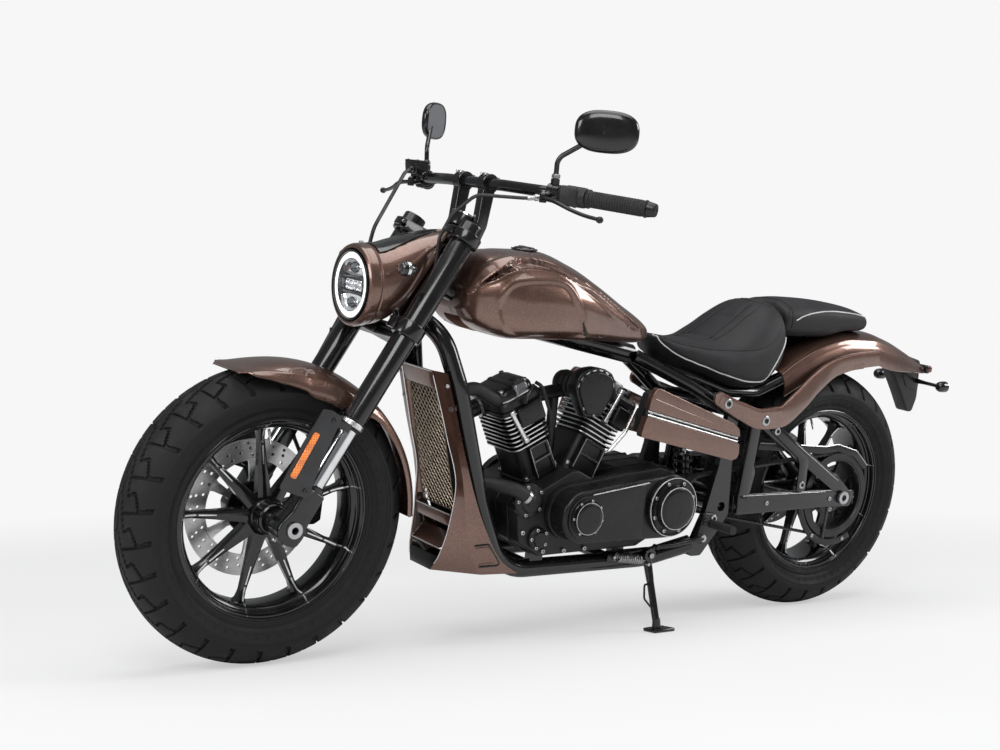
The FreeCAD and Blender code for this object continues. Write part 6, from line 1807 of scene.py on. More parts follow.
def stacked(rows, corner=0.018, steps=6, capped=True):
    """A block of rounded rectangles, one above the other: rows of (half x, half y, height)."""
    return loft([ring_at(x, y, min(corner, x * 0.9, y * 0.9), height, steps) for x, y, height in rows],
                capped)


def centred(shape, x, y):
    """The shape, moved level to a place."""
    return moved(shape, at(x, y, 0))


def cylinder_piece(name, side, node):
    """A barrel with bright-edged fins, head, rocker cover, lifter block and pushrod cover."""
    piece = Piece(name)
    foot = [(0.05, 0.06, 0.12), (0.05, 0.06, 0.127), (0.0465, 0.0545, 0.129), (0.0465, 0.0545, 0.2),
            (0.046, 0.054, 0.205), (0.046, 0.054, HEAD_LOW)]
    piece.add(stacked(foot, 0.02), "cast")
    count = settings().fins
    for index in range(count):
        low = FIN_LOW + FIN_STEP * index
        high = low + FIN_THICK - 0.0004
        plate = [(0.045, 0.053, low + 0.0006), (0.0555, 0.0635, low + 0.0003),
                 (0.0568, 0.0648, low + 0.001), (0.0568, 0.0648, high - 0.001),
                 (0.0555, 0.0635, high - 0.0003), (0.045, 0.053, high - 0.0006)]
        piece.add(stacked(plate, 0.022, capped=False), "cast")
        band = [(0.0562, 0.0642, low + 0.0005), (0.057, 0.065, low + 0.001), (0.057, 0.065, high - 0.001),
                (0.0562, 0.0642, high - 0.0005)]
        piece.add(stacked(band, 0.022, capped=False), "edge")
    gasket = stacked([(0.0565, 0.0675, HEAD_LOW), (0.0585, 0.0695, HEAD_LOW + 0.0005),
                      (0.0585, 0.0695, HEAD_LOW + 0.0035), (0.0565, 0.0675, HEAD_LOW + 0.004)], 0.02)
    piece.add(gasket, "edge")
    head = [(0.0565, 0.0675, HEAD_LOW + 0.004), (0.058, 0.069, HEAD_LOW + 0.006),
            (0.058, 0.069, HEAD_LOW + 0.0125), (0.0545, 0.0655, HEAD_LOW + 0.0135),
            (0.0545, 0.0655, HEAD_LOW + 0.0155), (0.058, 0.069, HEAD_LOW + 0.0165),
            (0.058, 0.069, HEAD_LOW + 0.029), (0.055, 0.066, HEAD_LOW + 0.0335),
            (0.05, 0.062, HEAD_LOW + 0.034)]
    piece.add(stacked(head, 0.02), "cast")
    top = HEAD_LOW + 0.034
    seam = stacked([(0.0495, 0.0615, top - 0.001), (0.0515, 0.0635, top), (0.0515, 0.0635, top + 0.003),
                    (0.0495, 0.0615, top + 0.004)], 0.024)
    piece.add(seam, "edge")
    cover = [(0.0495, 0.0615, top + 0.0035), (0.0495, 0.0615, top + 0.012), (0.048, 0.0595, top + 0.017),
             (0.0435, 0.0545, top + 0.0225), (0.036, 0.046, top + 0.0255), (0.03, 0.04, top + 0.026)]
    piece.add(stacked(cover, 0.024, 8), "cover")
    rib = [(0.009, 0.056, top + 0.006), (0.009, 0.056, top + 0.021), (0.0065, 0.049, top + 0.0272),
           (0.0045, 0.044, top + 0.0278)]
    piece.add(stacked(rib, 0.006), "cover")
    for x in (-0.034, 0.034):
        for y in (0.046, -0.046):
            boss = stacked([(0.01, 0.01, top), (0.01, 0.01, top + 0.019), (0.0085, 0.0085, top + 0.021)],
                           0.009)
            piece.add(centred(boss, x, y), "cover")
    heads = [(x, y, top + 0.021) for x in (-0.034, 0.034) for y in (-0.046, 0.046)]
    piece.add(bolts(heads, (0, 0, 1), 0.006, 0.006), "bolt")
    cap_x = -0.03 if side > 0 else 0.03
    cap = stacked([(0.019, 0.03, top + 0.004), (0.019, 0.03, top + 0.02), (0.016, 0.027, top + 0.026)],
                  0.008)
    piece.add(centred(cap, cap_x * 0.4, 0.034), "silver_cover")
    low_x, high_x = (-0.038, 0.021) if side > 0 else (-0.037, 0.037)
    middle = (low_x + high_x) / 2
    wide = (high_x - low_x) / 2
    block = slab([(low_x, 0.122), (low_x + 0.002, 0.204), (high_x - 0.002, 0.204), (high_x, 0.122)], 0.038,
                 0.067, 0.003, 2, 0.004)
    upper = slab([(middle - wide + 0.009, 0.168), (middle - wide + 0.01, 0.196),
                  (middle + wide - 0.01, 0.196), (middle + wide - 0.009, 0.168)], 0.0625, 0.08, 0, 1, 0.003)
    lower = slab([(middle - wide + 0.009, 0.131), (middle - wide + 0.009, 0.161),
                  (middle + wide - 0.009, 0.161), (middle + wide - 0.009, 0.131)], 0.0625, 0.08, 0, 1,
                 0.003)
    piece.add(carved(block, upper, lower), "cover")
    lines = [[(low_x + 0.003, 0.0673, 0.126), (low_x + 0.0045, 0.0673, 0.2)],
             [(high_x - 0.003, 0.0673, 0.126), (high_x - 0.0045, 0.0673, 0.2)],
             [(low_x + 0.005, 0.0673, 0.1645), (high_x - 0.005, 0.0673, 0.1645)],
             [(low_x + 0.005, 0.0673, 0.201), (high_x - 0.005, 0.0673, 0.201)]]
    for line in lines:
        piece.add(bar(line[0], line[1], 0.0011 if side < 0 else 0.0008, sides=8), "edge")
    near, far = (-0.045, 0.024) if side > 0 else (-0.05, -0.006)
    port = slab([(near, HEAD_LOW - 0.04), (near, HEAD_LOW + 0.012), (far, HEAD_LOW + 0.012),
                 (far, HEAD_LOW - 0.036)], 0.04, 0.079, 0.007, 4, 0.006)
    piece.add(port, "cover")
    low, high = ((0.022, 0.226), (0.037, 0.309)) if side > 0 else ((0.01, 0.256), (0.002, 0.341))
    start, end = Vector((low[0], 0.0705, low[1])), Vector((high[0], 0.0705, high[1]))
    way = (end - start).normalized()
    piece.add(bar(start, end, 0.0062, sides=24), "silver")
    for spot, turn in ((start, 1), (end, -1)):
        piece.add(bar(spot - way * 0.002 * turn, spot + way * 0.008 * turn, 0.0085, sides=24, bevel=0.001),
                  "edge")
        piece.add(box((spot.x - 0.007, 0.05, spot.z - 0.007), (spot.x + 0.007, 0.066, spot.z + 0.007),
                      0.002), "cast")
    rear_x = -0.054
    line = [Vector((rear_x, 0.058, 0.338)), Vector((rear_x - 0.004, 0.074, 0.33)),
            Vector((rear_x - 0.002, 0.078, 0.26)), Vector((rear_x + 0.012, 0.07, 0.2)),
            Vector((rear_x + 0.018, 0.058, 0.19))]
    piece.add(pipe(line, 0.0042, bend=0.014, sides=14), "silver" if side < 0 else "rubber")
    plug = Vector((0.0, 0.069, HEAD_LOW + 0.022)) if side > 0 else Vector((0.03, 0.069, HEAD_LOW + 0.02))
    lead = [plug + Vector((0, -0.004, 0)), plug + Vector((0.0, 0.014, 0.003)),
            plug + Vector((-0.008 * side, 0.016, 0.014)), plug + Vector((-0.028 * side, 0.004, 0.018)),
            plug + Vector((-0.052 * side, -0.02, 0.012))]
    piece.add(pipe(lead, 0.0036, sides=12), "cable")
    piece.add(bar(plug - Vector((0, 0.003, 0)), plug + Vector((0, 0.015, 0.003)), 0.0085, 0.006, 20, 0.001),
              "rubber")
    nuts = [(x, y, 0.127) for x in (-0.042, 0.042) for y in (-0.052, 0.052)]
    piece.add(bolts(nuts, (0, 0, 1), 0.0062, 0.009), "bolt")
    place = BIKE @ Matrix.Translation(VEE) @ Matrix.Rotation(BANK * side, 4, "Y")
    return piece.done(place, "root", "engine_black", [node])


def arc_of(centre, radius, first, last, steps):
    """Points of an arc in side view, from one angle to another in degrees, counted from ahead to up."""
    angles = [math.radians(first + (last - first) * index / steps) for index in range(steps + 1)]
    return [(centre[0] + radius * math.cos(angle), centre[1] + radius * math.sin(angle))
            for angle in angles]


def spots_round(centre, radius, y, angles):
    """Places round a circle in side view, at angles in radians from ahead to up."""
    return [(centre[0] + radius * math.cos(angle), y, centre[1] + radius * math.sin(angle))
            for angle in angles]


def face_ring(piece, centre, face, radius, wall, lift, finish):
    """A thin round ring that stands on a cover's face."""
    ring = [(radius - wall, 0), (radius - wall * 0.8, lift), (radius - wall * 0.2, lift), (radius, 0)]
    side = 1 if face > 0 else -1
    place = at(centre[0], face, centre[1]) @ Matrix.Diagonal((1, side, 1, 1))
    shape = moved(turned(ring, 72), place)
    bmesh.ops.recalc_face_normals(shape, faces=shape.faces)
    piece.add(shape, finish)


class MakeEngine(bpy.types.Operator):
    """Makes the two finned cylinders, the cases and the covers on both sides"""

    bl_idname = "cruiser.engine"
    bl_label = "Engine"

    def execute(self, context):
        front = cylinder_piece("front_barrel_and_head", 1, "front_cylinder")
        rear = cylinder_piece("rear_barrel_and_head", -1, "rear_cylinder")
        return made(front, rear, self.add_cases(), self.add_primary(), self.add_right_cover(),
                    self.add_intake())

    def add_cases(self):
        """The cases with their ribs, bosses, hoses and oil filter."""
        piece = Piece("crankcases")
        tilt = BANK
        middle = VEE - CRANK
        ahead, up = 0.12 * math.sin(tilt), 0.12 * math.cos(tilt) + middle.z
        out, drop = 0.05 * math.cos(tilt), 0.05 * math.sin(tilt)
        outline = [(middle.x + ahead + out, up - drop), (middle.x + ahead - out, up + drop),
                   (middle.x - ahead + out, up + drop), (middle.x - ahead - out, up - drop),
                   (-0.205, 0.078), (-0.318, 0.086), (-0.33, 0.02), (-0.3, -0.058), (-0.22, -0.098),
                   (0.07, -0.104), (0.128, -0.07), (0.142, 0.01), (0.124, 0.04)]
        piece.add(slab([(CRANK.x + x, CRANK.z + z) for x, z in outline], -0.118, 0.118, 0.006, 3, 0.004),
                  "cast")
        for y in (-0.0785, -0.03, 0.03, 0.0785):
            rib = [(CRANK.x + x * 1.018, CRANK.z + z * 1.02) for x, z in outline[4:]]
            piece.add(slab(rib, y - 0.0025, y + 0.0025, 0.001, 1, 0.004), "cast")
        for side in (1, -1):
            for x, z, radius in ((0.99, 0.352, 0.04), (0.955, 0.262, 0.026)):
                face = 0.118 * side
                spot = at(x, face, z) @ Matrix.Diagonal((1, side, 1, 1))
                boss = moved(turned([(0, 0.018), (radius * 0.6, 0.018), (radius * 0.68, 0.013),
                                     (radius * 0.9, 0.012), (radius, 0.008), (radius, -0.004)], 48), spot)
                bmesh.ops.recalc_face_normals(boss, faces=boss.faces)
                piece.add(boss, "cover")
                spots = spots_round((x, z), radius * 0.84, face + 0.0095 * side,
                                    [a * math.pi / 2.5 for a in range(5)])
                piece.add(bolts(spots, (0, side, 0), 0.0042, 0.005), "bolt")
            spots = [(CRANK.x + x, 0.1175 * side, CRANK.z + z) for x, z in ((0.122, -0.045), (0.06, -0.092),
                                                                            (0.0, -0.094), (-0.06, -0.092),
                                                                            (0.098, 0.036))]
            piece.add(bolts(spots, (0, side, 0), 0.0055, 0.006), "bolt")
        hoses = [[(1.125, 0.052, 0.385), (1.075, 0.085, 0.388), (1.03, 0.128, 0.38), (0.992, 0.134, 0.356)],
                 [(1.196, 0.052, 0.585), (1.12, 0.06, 0.6), (1.035, 0.04, 0.56), (1.01, 0.02, 0.545)]]
        for points in hoses:
            piece.add(pipe(points, 0.0155, bend=0.03, sides=24, resolution=6), "rubber")
            for index in (0, -1):
                spot = Vector(points[index])
                way = (Vector(points[1 if index == 0 else -2]) - spot).normalized()
                piece.add(bar(spot + way * 0.01, spot + way * 0.018, 0.0168, sides=28), "bolt")
        filter_place = at(CRANK.x + 0.128, 0.0, CRANK.z - 0.04) @ spin(-90, "Z")
        can = [(0.03, -0.005), (0.034, 0.0), (0.036, 0.006), (0.036, 0.06), (0.034, 0.07), (0.024, 0.075),
               (0, 0.075)]
        piece.add(turned(can, 48), "satin", filter_place)
        return piece.done(BIKE, "root", "engine_black", ["engine_cases"])

    def add_primary(self):
        """The long cover on the left with its two round caps."""
        piece = Piece("primary_cover_face")
        cx, cz = CRANK.x, CRANK.z
        clutch = (cx - 0.25, cz + 0.016)
        outline = arc_of((cx, cz), 0.062, -90, 90, 18)
        outline += [(cx - 0.06, cz + 0.0695), (cx - 0.16, cz + 0.082)]
        outline += arc_of((cx - 0.248, cz + 0.015), 0.0775, 95, 265, 22)
        body = slab(outline, 0.118, 0.19, 0.009, 4)
        piece.add(body, "cover")
        flange = [(cx - 0.246 + (x - cx + 0.246) * 1.012, cz + (z - cz) * 1.045) for x, z in outline]
        piece.add(slab(flange, 0.118, 0.136, 0.003, 2), "cast")
        plate = arc_of((cx - 0.001, cz), 0.052, -90, 90, 16) + [(cx - 0.15, cz + 0.072)]
        plate += [(cx - 0.168, cz + 0.07), (cx - 0.168, cz - 0.056), (cx - 0.15, cz - 0.058)]
        piece.add(slab(plate, 0.186, 0.196, 0.003, 3, 0.002), "cover")
        for dz, near, far, finish in ((0.0, -0.012, -0.176, "silver"), (0.011, -0.052, -0.205, "edge")):
            start = Vector((cx + near, 0.1935 - dz * 0.9, cz + 0.0535 + dz))
            end = Vector((cx + far, 0.1935 - dz * 0.9, cz + 0.0755 + dz * 0.72))
            piece.add(bar(start, end, 0.0017, sides=10), finish)
        ridge = [(cx - 0.012, cz + 0.0515), (cx - 0.176, cz + 0.0735), (cx - 0.176, cz + 0.08),
                 (cx - 0.02, cz + 0.0585)]
        piece.add(slab(ridge, 0.18, 0.1925, 0.0015, 2), "cover")
        boss = at(cx + 0.002, 0.196, cz + 0.002)
        disc = [(0, 0.0135), (0.026, 0.0145), (0.0345, 0.0135), (0.037, 0.0115), (0.0372, 0.005),
                (0.04, 0.0046), (0.0425, 0.006), (0.044, 0.0045), (0.044, -0.004)]
        piece.add(turned(disc, 80), "cover", boss)
        face_ring(piece, (cx + 0.002, cz + 0.002), 0.2073, 0.0376, 0.0012, 0.001, "silver")
        spots = spots_round((cx + 0.002, cz + 0.002), 0.0405, 0.2005,
                            [math.radians(a) for a in (55, 100, 145, 190, 235, 300, 0)])
        piece.add(bolts(spots, (0, 1, 0), 0.0032, 0.004), "bolt")
        place = at(clutch[0], 0.19, clutch[1])
        ring = [(0, 0.03), (0.036, 0.0312), (0.046, 0.03), (0.0505, 0.027), (0.0515, 0.02), (0.053, 0.012),
                (0.06, 0.01), (0.066, 0.0115), (0.07, 0.013), (0.072, 0.011), (0.072, -0.004)]
        piece.add(turned(ring, 96), "cover", place)
        face_ring(piece, clutch, 0.2175, 0.0512, 0.0018, 0.0014, "silver")
        face_ring(piece, clutch, 0.2025, 0.0712, 0.0022, 0.0014, "edge")
        spots = spots_round(clutch, 0.0605, 0.2, [a * math.pi / 4 + 0.4 for a in range(8)])
        piece.add(bolts(spots, (0, 1, 0), 0.0045, 0.006), "bolt")
        return piece.done(BIKE, "root", "cover_black", ["primary_cover"], sharp=36)

    def add_right_cover(self):
        """The cover on the right."""
        piece = Piece("right_cover_face")
        cx, cz = CRANK.x, CRANK.z
        outline = arc_of((cx, cz), 0.084, -90, 90, 20) + arc_of((cx - 0.19, cz + 0.003), 0.064, 95, 265, 18)
        piece.add(slab(outline, -0.15, -0.118, 0.008, 4), "cover")
        rim = [(cx - 0.1 + (x - cx + 0.1) * 1.02, cz + (z - cz) * 1.03) for x, z in outline]
        piece.add(slab(rim, -0.128, -0.118, 0.002, 2), "cast")
        place = at(cx, -0.15, cz) @ spin(180, "Z")
        disc = [(0, 0.0155), (0.038, 0.0155), (0.052, 0.0135), (0.056, 0.0095), (0.0585, 0.009),
                (0.064, 0.009), (0.066, 0.0065), (0.066, -0.006)]
        piece.add(turned(disc, 88), "cover", place)
        spots = spots_round((cx, cz), 0.061, -0.1588, [a * math.pi / 3 for a in range(6)])
        piece.add(bolts(spots, (0, -1, 0), 0.0045, 0.005), "bolt")
        place = at(cx - 0.185, -0.15, cz) @ spin(180, "Z")
        piece.add(turned([(0, 0.008), (0.03, 0.008), (0.036, 0.0045), (0.038, -0.006)], 64), "cover", place)
        return piece.done(BIKE, "root", "cover_black", ["right_engine_cover"], sharp=36)

    def add_intake(self):
        """The shield between the cylinders with its throttle body."""
        piece = Piece("intake_shield")
        cx, cz, low = 0.817, 0.594, 0.072
        shape = [(0.024, -0.056), (0.04, -0.03), (0.052, -0.006), (0.0575, 0.016), (0.055, 0.032),
                 (0.044, 0.047), (0.024, 0.0565), (0, 0.0595)]
        outline = [(cx + x, cz + z) for x, z in shape]
        outline += [(cx - x, cz + z) for x, z in reversed(shape[:-1])]
        piece.add(slab(outline, low, low + 0.034, 0.004, 3, 0.003), "cover")
        inner = [(cx + (x - cx) * 0.86, cz + (z - cz) * 0.86 - 0.001) for x, z in outline]
        piece.add(slab(inner, low + 0.03, low + 0.04, 0.0035, 4, 0.002), "cover")
        for share in (-0.82, -0.6, -0.36, -0.12, 0.12, 0.36, 0.6, 0.82):
            angle = share * math.pi / 2
            x, z = cx + 0.0525 * math.sin(angle), cz + 0.006 + 0.0485 * math.cos(angle)
            place = at(x, low + 0.0335, z) @ Matrix.Rotation(angle, 4, "Y")
            piece.add(box((-0.0052, 0, -0.0016), (0.0052, 0.0022, 0.0016), 0.0006), "silver", place)
        spots = [(cx + x, low + 0.034, cz + z)
                 for x, z in ((0.03, -0.035), (-0.03, -0.035), (0.0, -0.0505))]
        piece.add(bolts(spots, (0, 1, 0), 0.0036, 0.003), "bolt")
        piece.add(bar((cx, low - 0.097, cz + 0.006), (cx, low + 0.002, cz + 0.006), 0.0288, sides=48),
                  "rubber")
        for y in (-0.012, 0.004, 0.02, 0.036, 0.052):
            ring = turned([(0.0285, -0.004), (0.0315, -0.001), (0.0315, 0.001), (0.0285, 0.004)], 48)
            piece.add(ring, "rubber", at(cx, y, cz + 0.006))
        piece.add(bar((VEE.x, 0, 0.4153), (VEE.x, 0, cz), 0.012, sides=28), "cast")
        for side in (1, -1):
            reach = Vector((cx + 0.062 * side + (0.03 if side > 0 else -0.002), 0, 0.572))
            piece.add(bar((cx, 0, cz - 0.006), reach, 0.017, sides=32), "cast")
        return piece.done(BIKE, "root", "cover_black", ["intake_cover"], sharp=36)


# Handlebar, risers, grips, controls and mirrors, on the upright motorcycle

CLAMP = Vector((1.132, 0, 1.052))
BAR_BEND = CLAMP + Vector((-0.019, 0.239, -0.003))
BAR_END = CLAMP + Vector((-0.146, 0.432, -0.018))
BAR_RADIUS = 0.0127


def sided(point, side):
    """A point on the left side (1) or its like on the right (-1)."""
    return Vector((point[0], point[1] * side, point[2]))


def bar_point(share, side):
    """A point of the handlebar's end run: 0 at the inner bend, 1 at the grip's end."""
    return sided(BAR_BEND + (BAR_END - BAR_BEND) * share, side)


def on_bar(profile, side, steps=48, closed=True):
    """A profile of (radius, share of the end run) turned round the bar."""
    length = (BAR_END - BAR_BEND).length
    shape = turned([(radius, share * length) for radius, share in profile], steps, closed)
    return moved(shape, aimed(bar_point(0, side), bar_point(1, side) - bar_point(0, side)))


def arm(rows, sides=16, steps=8):
    """A smooth arm: rows of x, y, z, half width across and half height, with round ends."""
    table = [(index, *row) for index, row in enumerate(rows)]
    count = (len(rows) - 1) * steps
    places = [rows_at(table, index / steps) for index in range(count + 1)]
    rings = []
    for index, (x, y, z, wide, tall) in enumerate(places):
        near, far = places[max(index - 1, 0)], places[min(index + 1, count)]
        way = (Vector(far[:3]) - Vector(near[:3])).normalized()
        across = way.cross(Z_AXIS).normalized()
        if across.length < 0.5:
            across = Y_AXIS.copy()
        up = across.cross(way)
        shares = (0.35, 0.8) if index == 0 else (0.8, 0.35) if index == count else (1.0,)
        for number, share in enumerate(shares):
            slip = 0.0
            if index == 0 and number == 0:
                slip = -min(wide, tall) * 0.5
            if index == count and number == 1:
                slip = min(wide, tall) * 0.5
            centre = Vector((x, y, z)) + way * slip
            rings.append([centre + across * (wide * share * math.cos(2 * math.pi * turn / sides)) + up
                          * (tall * share * math.sin(2 * math.pi * turn / sides)) for turn in range(sides)])
    return loft(rings)


def fork_spot(ahead, left, up):
    """A place in the fork's frame, in millimetres, as a point of the upright motorcycle."""
    return FORK_TO_BIKE @ Vector((ahead / 1000, left / 1000, up / 1000))


class MakeHandlebar(bpy.types.Operator):
    """Makes the handlebar with its risers, grips, controls, cables and mirrors"""

    bl_idname = "cruiser.handlebar"
    bl_label = "Handlebar"

    def execute(self, context):
        bar_piece = Piece("handlebar_tube")
        points = [BAR_END, BAR_BEND, CLAMP + Vector((0, 0.112, 0)), CLAMP - Vector((0, 0.112, 0)),
                  sided(BAR_BEND, -1), sided(BAR_END, -1)]
        bar_piece.add(pipe(points, BAR_RADIUS, bend=0.09, sides=32, resolution=10), "gloss")
        bar_piece = bar_piece.done(BIKE, "steering", "fork_black", ["handlebar"])
        return made(bar_piece, self.add_risers(), self.add_grips(), self.add_controls(), self.add_mirrors())

    def add_risers(self):
        """The two risers with their clamps."""
        piece = Piece("riser_arms")
        foot = fork_spot(-8, 0, 725)
        clamp = CLAMP.copy()
        way = (clamp - foot).normalized()
        across = Vector((way.z, 0, -way.x))
        points = [foot + across * 0.017, foot - across * 0.015, foot + way * 0.05 - across * 0.024,
                  clamp - across * 0.016, clamp + across * 0.016, foot + way * 0.055 + across * 0.003]
        outline = [(point.x, point.z) for point in points]
        for side in (1, -1):
            low, high = sorted((0.036 * side, 0.062 * side))
            piece.add(slab(outline, low, high, 0.0035, 3, 0.006), "gloss")
            place = at(clamp.x, low, clamp.z)
            clip = [(BAR_RADIUS + 0.0003, 0.0), (0.0205, 0.0), (0.0217, 0.0012), (0.0217, 0.0248),
                    (0.0205, 0.026), (BAR_RADIUS + 0.0003, 0.026)]
            piece.add(turned(clip, 56, closed=True), "gloss", place)
            for lift in (-1, 1):
                seam = clamp + across * 0.0195 * lift
                split = box((seam.x - 0.002, low - 0.0004, seam.z - 0.0022),
                            (seam.x + 0.002, high + 0.0004, seam.z + 0.0022))
                piece.add(split, "dark_bolt")
                spots = [clamp + across * 0.0165 * lift + way * 0.0145 + Vector((0, (0.049 + y) * side, 0))
                         for y in (-0.0075, 0.0075)]
                piece.add(bolts(spots, way, 0.0042, 0.0055), "bolt")
        return piece.done(BIKE, "steering", "fork_black", ["risers"])

    def add_grips(self):
        """The ribbed grips and the bar's end weights."""
        piece = Piece("grip_sleeves")
        for side in (1, -1):
            sleeve = [(BAR_RADIUS + 0.0003, 0.405), (0.019, 0.405), (0.02, 0.412), (0.02, 0.432),
                      (0.0172, 0.436)]
            share = 0.45
            while share < 0.93:
                sleeve += [(0.0166, share), (0.0176, share + 0.004), (0.0176, share + 0.016),
                           (0.0166, share + 0.02)]
                share += 0.024
            sleeve += [(0.0172, 0.95), (0.0185, 0.955), (0.0185, 0.968), (0.017, 0.972),
                       (BAR_RADIUS + 0.0003, 0.972)]
            piece.add(on_bar(sleeve, side, 56), "grip")
            weight = [(0.0, 1.003), (0.0136, 1.003), (0.0136, 0.975), (0.016, 0.975), (0.0168, 0.98),
                      (0.0158, 1.0), (0.0138, 1.05), (0.0125, 1.058), (0.006, 1.058), (0.005, 1.052),
                      (0, 1.052)]
            piece.add(on_bar(weight, side, 48, False), "satin")
        return piece.done(BIKE, "steering", "rubber", ["grips"])

    def add_controls(self):
        """Switches, levers and perches, with what hangs on each side."""
        piece = Piece("levers_and_switches")
        for side in (1, -1):
            along = (bar_point(1, side) - bar_point(0, side)).normalized()
            front = along.cross(Z_AXIS).normalized() * (1 if side > 0 else -1)
            up = Z_AXIS.copy()
            housing = [(0.013, 0.2), (0.0195, 0.2), (0.0212, 0.206), (0.0216, 0.226), (0.0216, 0.29),
                       (0.0204, 0.294), (0.0204, 0.299), (0.0216, 0.303), (0.0216, 0.372), (0.0208, 0.392),
                       (0.0188, 0.399), (0.013, 0.399)]
            piece.add(on_bar(housing, side, 56), "plastic")
            turn = placing(bar_point(0.262, side), front, along * side, up)
            pod = box((-0.004, -0.024, -0.0215), (0.0245, 0.018, 0.02), 0.006, 3)
            piece.add(pod, "plastic", turn)
            rear = box((-0.0232, -0.015, -0.012), (-0.012, 0.013, 0.013), 0.004, 3)
            piece.add(rear, "plastic", turn)
            for y, z, finish in ((-0.008, 0.004, "mark"), (0.004, 0.005, "rubber"),
                                 (-0.002, -0.007, "rubber")):
                knob = box((-0.0262, y - 0.004, z - 0.0028), (-0.0215, y + 0.004, z + 0.0028), 0.0012)
                piece.add(knob, finish, turn)
            piece.add(bolts([turn @ Vector((0.008, y, -0.0212)) for y in (-0.014, 0.01)], (0, 0, -1),
                            0.0032, 0.002), "bolt")
            perch = [(0.013, 0.022), (0.0178, 0.022), (0.0189, 0.028), (0.0189, 0.076), (0.0176, 0.078),
                     (0.0176, 0.084), (0.0189, 0.086), (0.0189, 0.132), (0.0178, 0.139), (0.013, 0.139)]
            piece.add(on_bar(perch, side, 48), "gloss")
            joint = [(0.013, 0.13), (0.0152, 0.132), (0.0152, 0.205), (0.013, 0.207)]
            piece.add(on_bar(joint, side, 40), "rubber")
            mid = (bar_point(0.02, side) + bar_point(0.14, side)) * 0.5
            root = mid + Vector((0.034, 0.01 * side, -0.012))
            knee = root + Vector((0, 0.052 * side, -0.006))
            tip = Vector((CLAMP.x - 0.019, 0.428 * side, CLAMP.z - 0.046))
            lugs = arm([(mid.x + 0.01, mid.y, mid.z - 0.004, 0.0125, 0.011),
                        (mid.x + 0.024, mid.y + 0.004 * side, mid.z - 0.008, 0.0105, 0.0088),
                        (root.x, root.y, root.z, 0.0085, 0.0085)])
            piece.add(lugs, "gloss")
            drop = Vector((0, 0, 0.0095))
            piece.add(bar(root - drop, root + drop, 0.0078, sides=32, bevel=0.0012), "gloss")
            piece.add(bolts([root + drop * 0.98], (0, 0, 1), 0.005, 0.0035), "bolt")
            way = (tip - knee).normalized()
            rows = [(root.x, root.y, root.z, 0.0085, 0.005),
                    (knee.x, knee.y - 0.016 * side, knee.z + 0.003, 0.0078, 0.0047),
                    (knee.x, knee.y, knee.z, 0.007, 0.0045)]
            for share, wide in ((0.35, 0.0062), (0.7, 0.0056), (1.0, 0.005)):
                spot = knee + (tip - knee) * share - up * 0.004 * math.sin(share * math.pi)
                rows.append((spot.x, spot.y, spot.z, wide, 0.004))
            piece.add(arm(rows, 18, 8), "satin")
            piece.add(ball(tip + way * 0.002, 0.0078, (1, 1, 0.9), 14, 24), "satin")
            piece.add(bar(mid + up * 0.006, mid + Vector((0, 0.002 * side, 0.03)), 0.0088, 0.0076, 28,
                          0.001), "gloss")
            cup = turned([(0, 0.012), (0.0088, 0.012), (0.0094, 0.01), (0.0094, 0.001), (0.0088, 0)], 6)
            piece.add(cup, "dark_bolt", aimed(mid + Vector((0, 0.0012 * side, 0.018)), (0, 0, 1)))
            if side < 0:
                self.add_brake_parts(piece, mid)
            else:
                self.add_clutch_parts(piece, mid)
        return piece.done(BIKE, "steering", "black_plastic", ["hand_controls"])

    def add_brake_parts(self, piece, mid):
        """The brake's reservoir and hose."""
        low, high = mid + Vector((0.009, -0.0235, 0.0065)), mid + Vector((0.0475, 0.0255, 0.0395))
        tank = [(low.x + 0.003, low.z), (high.x - 0.004, low.z), (high.x, high.z - 0.006),
                (low.x, high.z - 0.006)]
        piece.add(slab(tank, low.y, high.y, 0.0035, 3, 0.003), "gloss")
        lid = box((low.x - 0.0002, low.y, high.z - 0.0065), (high.x + 0.0002, high.y, high.z), 0.0022, 3)
        piece.add(lid, "satin")
        spots = [(x, y, high.z)
                 for x in (low.x + 0.006, high.x - 0.006) for y in (low.y + 0.006, high.y - 0.006)]
        piece.add(bolts(spots, (0, 0, 1), 0.0028, 0.0012), "bolt")
        piece.add(bar(mid + Vector((0.02, 0.03, 0.004)), mid + Vector((0.02, -0.022, 0.004)), 0.0098,
                      sides=28, bevel=0.0015), "gloss")
        hose = [mid + Vector((0.03, 0.004, 0.022)), mid + Vector((0.07, 0.022, 0.012)),
                fork_spot(104, -158, 676), fork_spot(66, -154, 560), fork_spot(52, -154, 330),
                fork_spot(16, -140, 190), fork_spot(-52, -78, 120), fork_spot(-66, -74, 84)]
        piece.add(pipe(hose, 0.0044, bend=0.045, sides=16), "cable")
        piece.add(bar(hose[0], hose[0] + (hose[1] - hose[0]) * 0.45, 0.0062, sides=6), "bolt")
        clip = fork_spot(58, -154, 430)
        piece.add(bar(clip - Z_AXIS * 0.006, clip + Z_AXIS * 0.006, 0.0062, sides=20), "rubber")

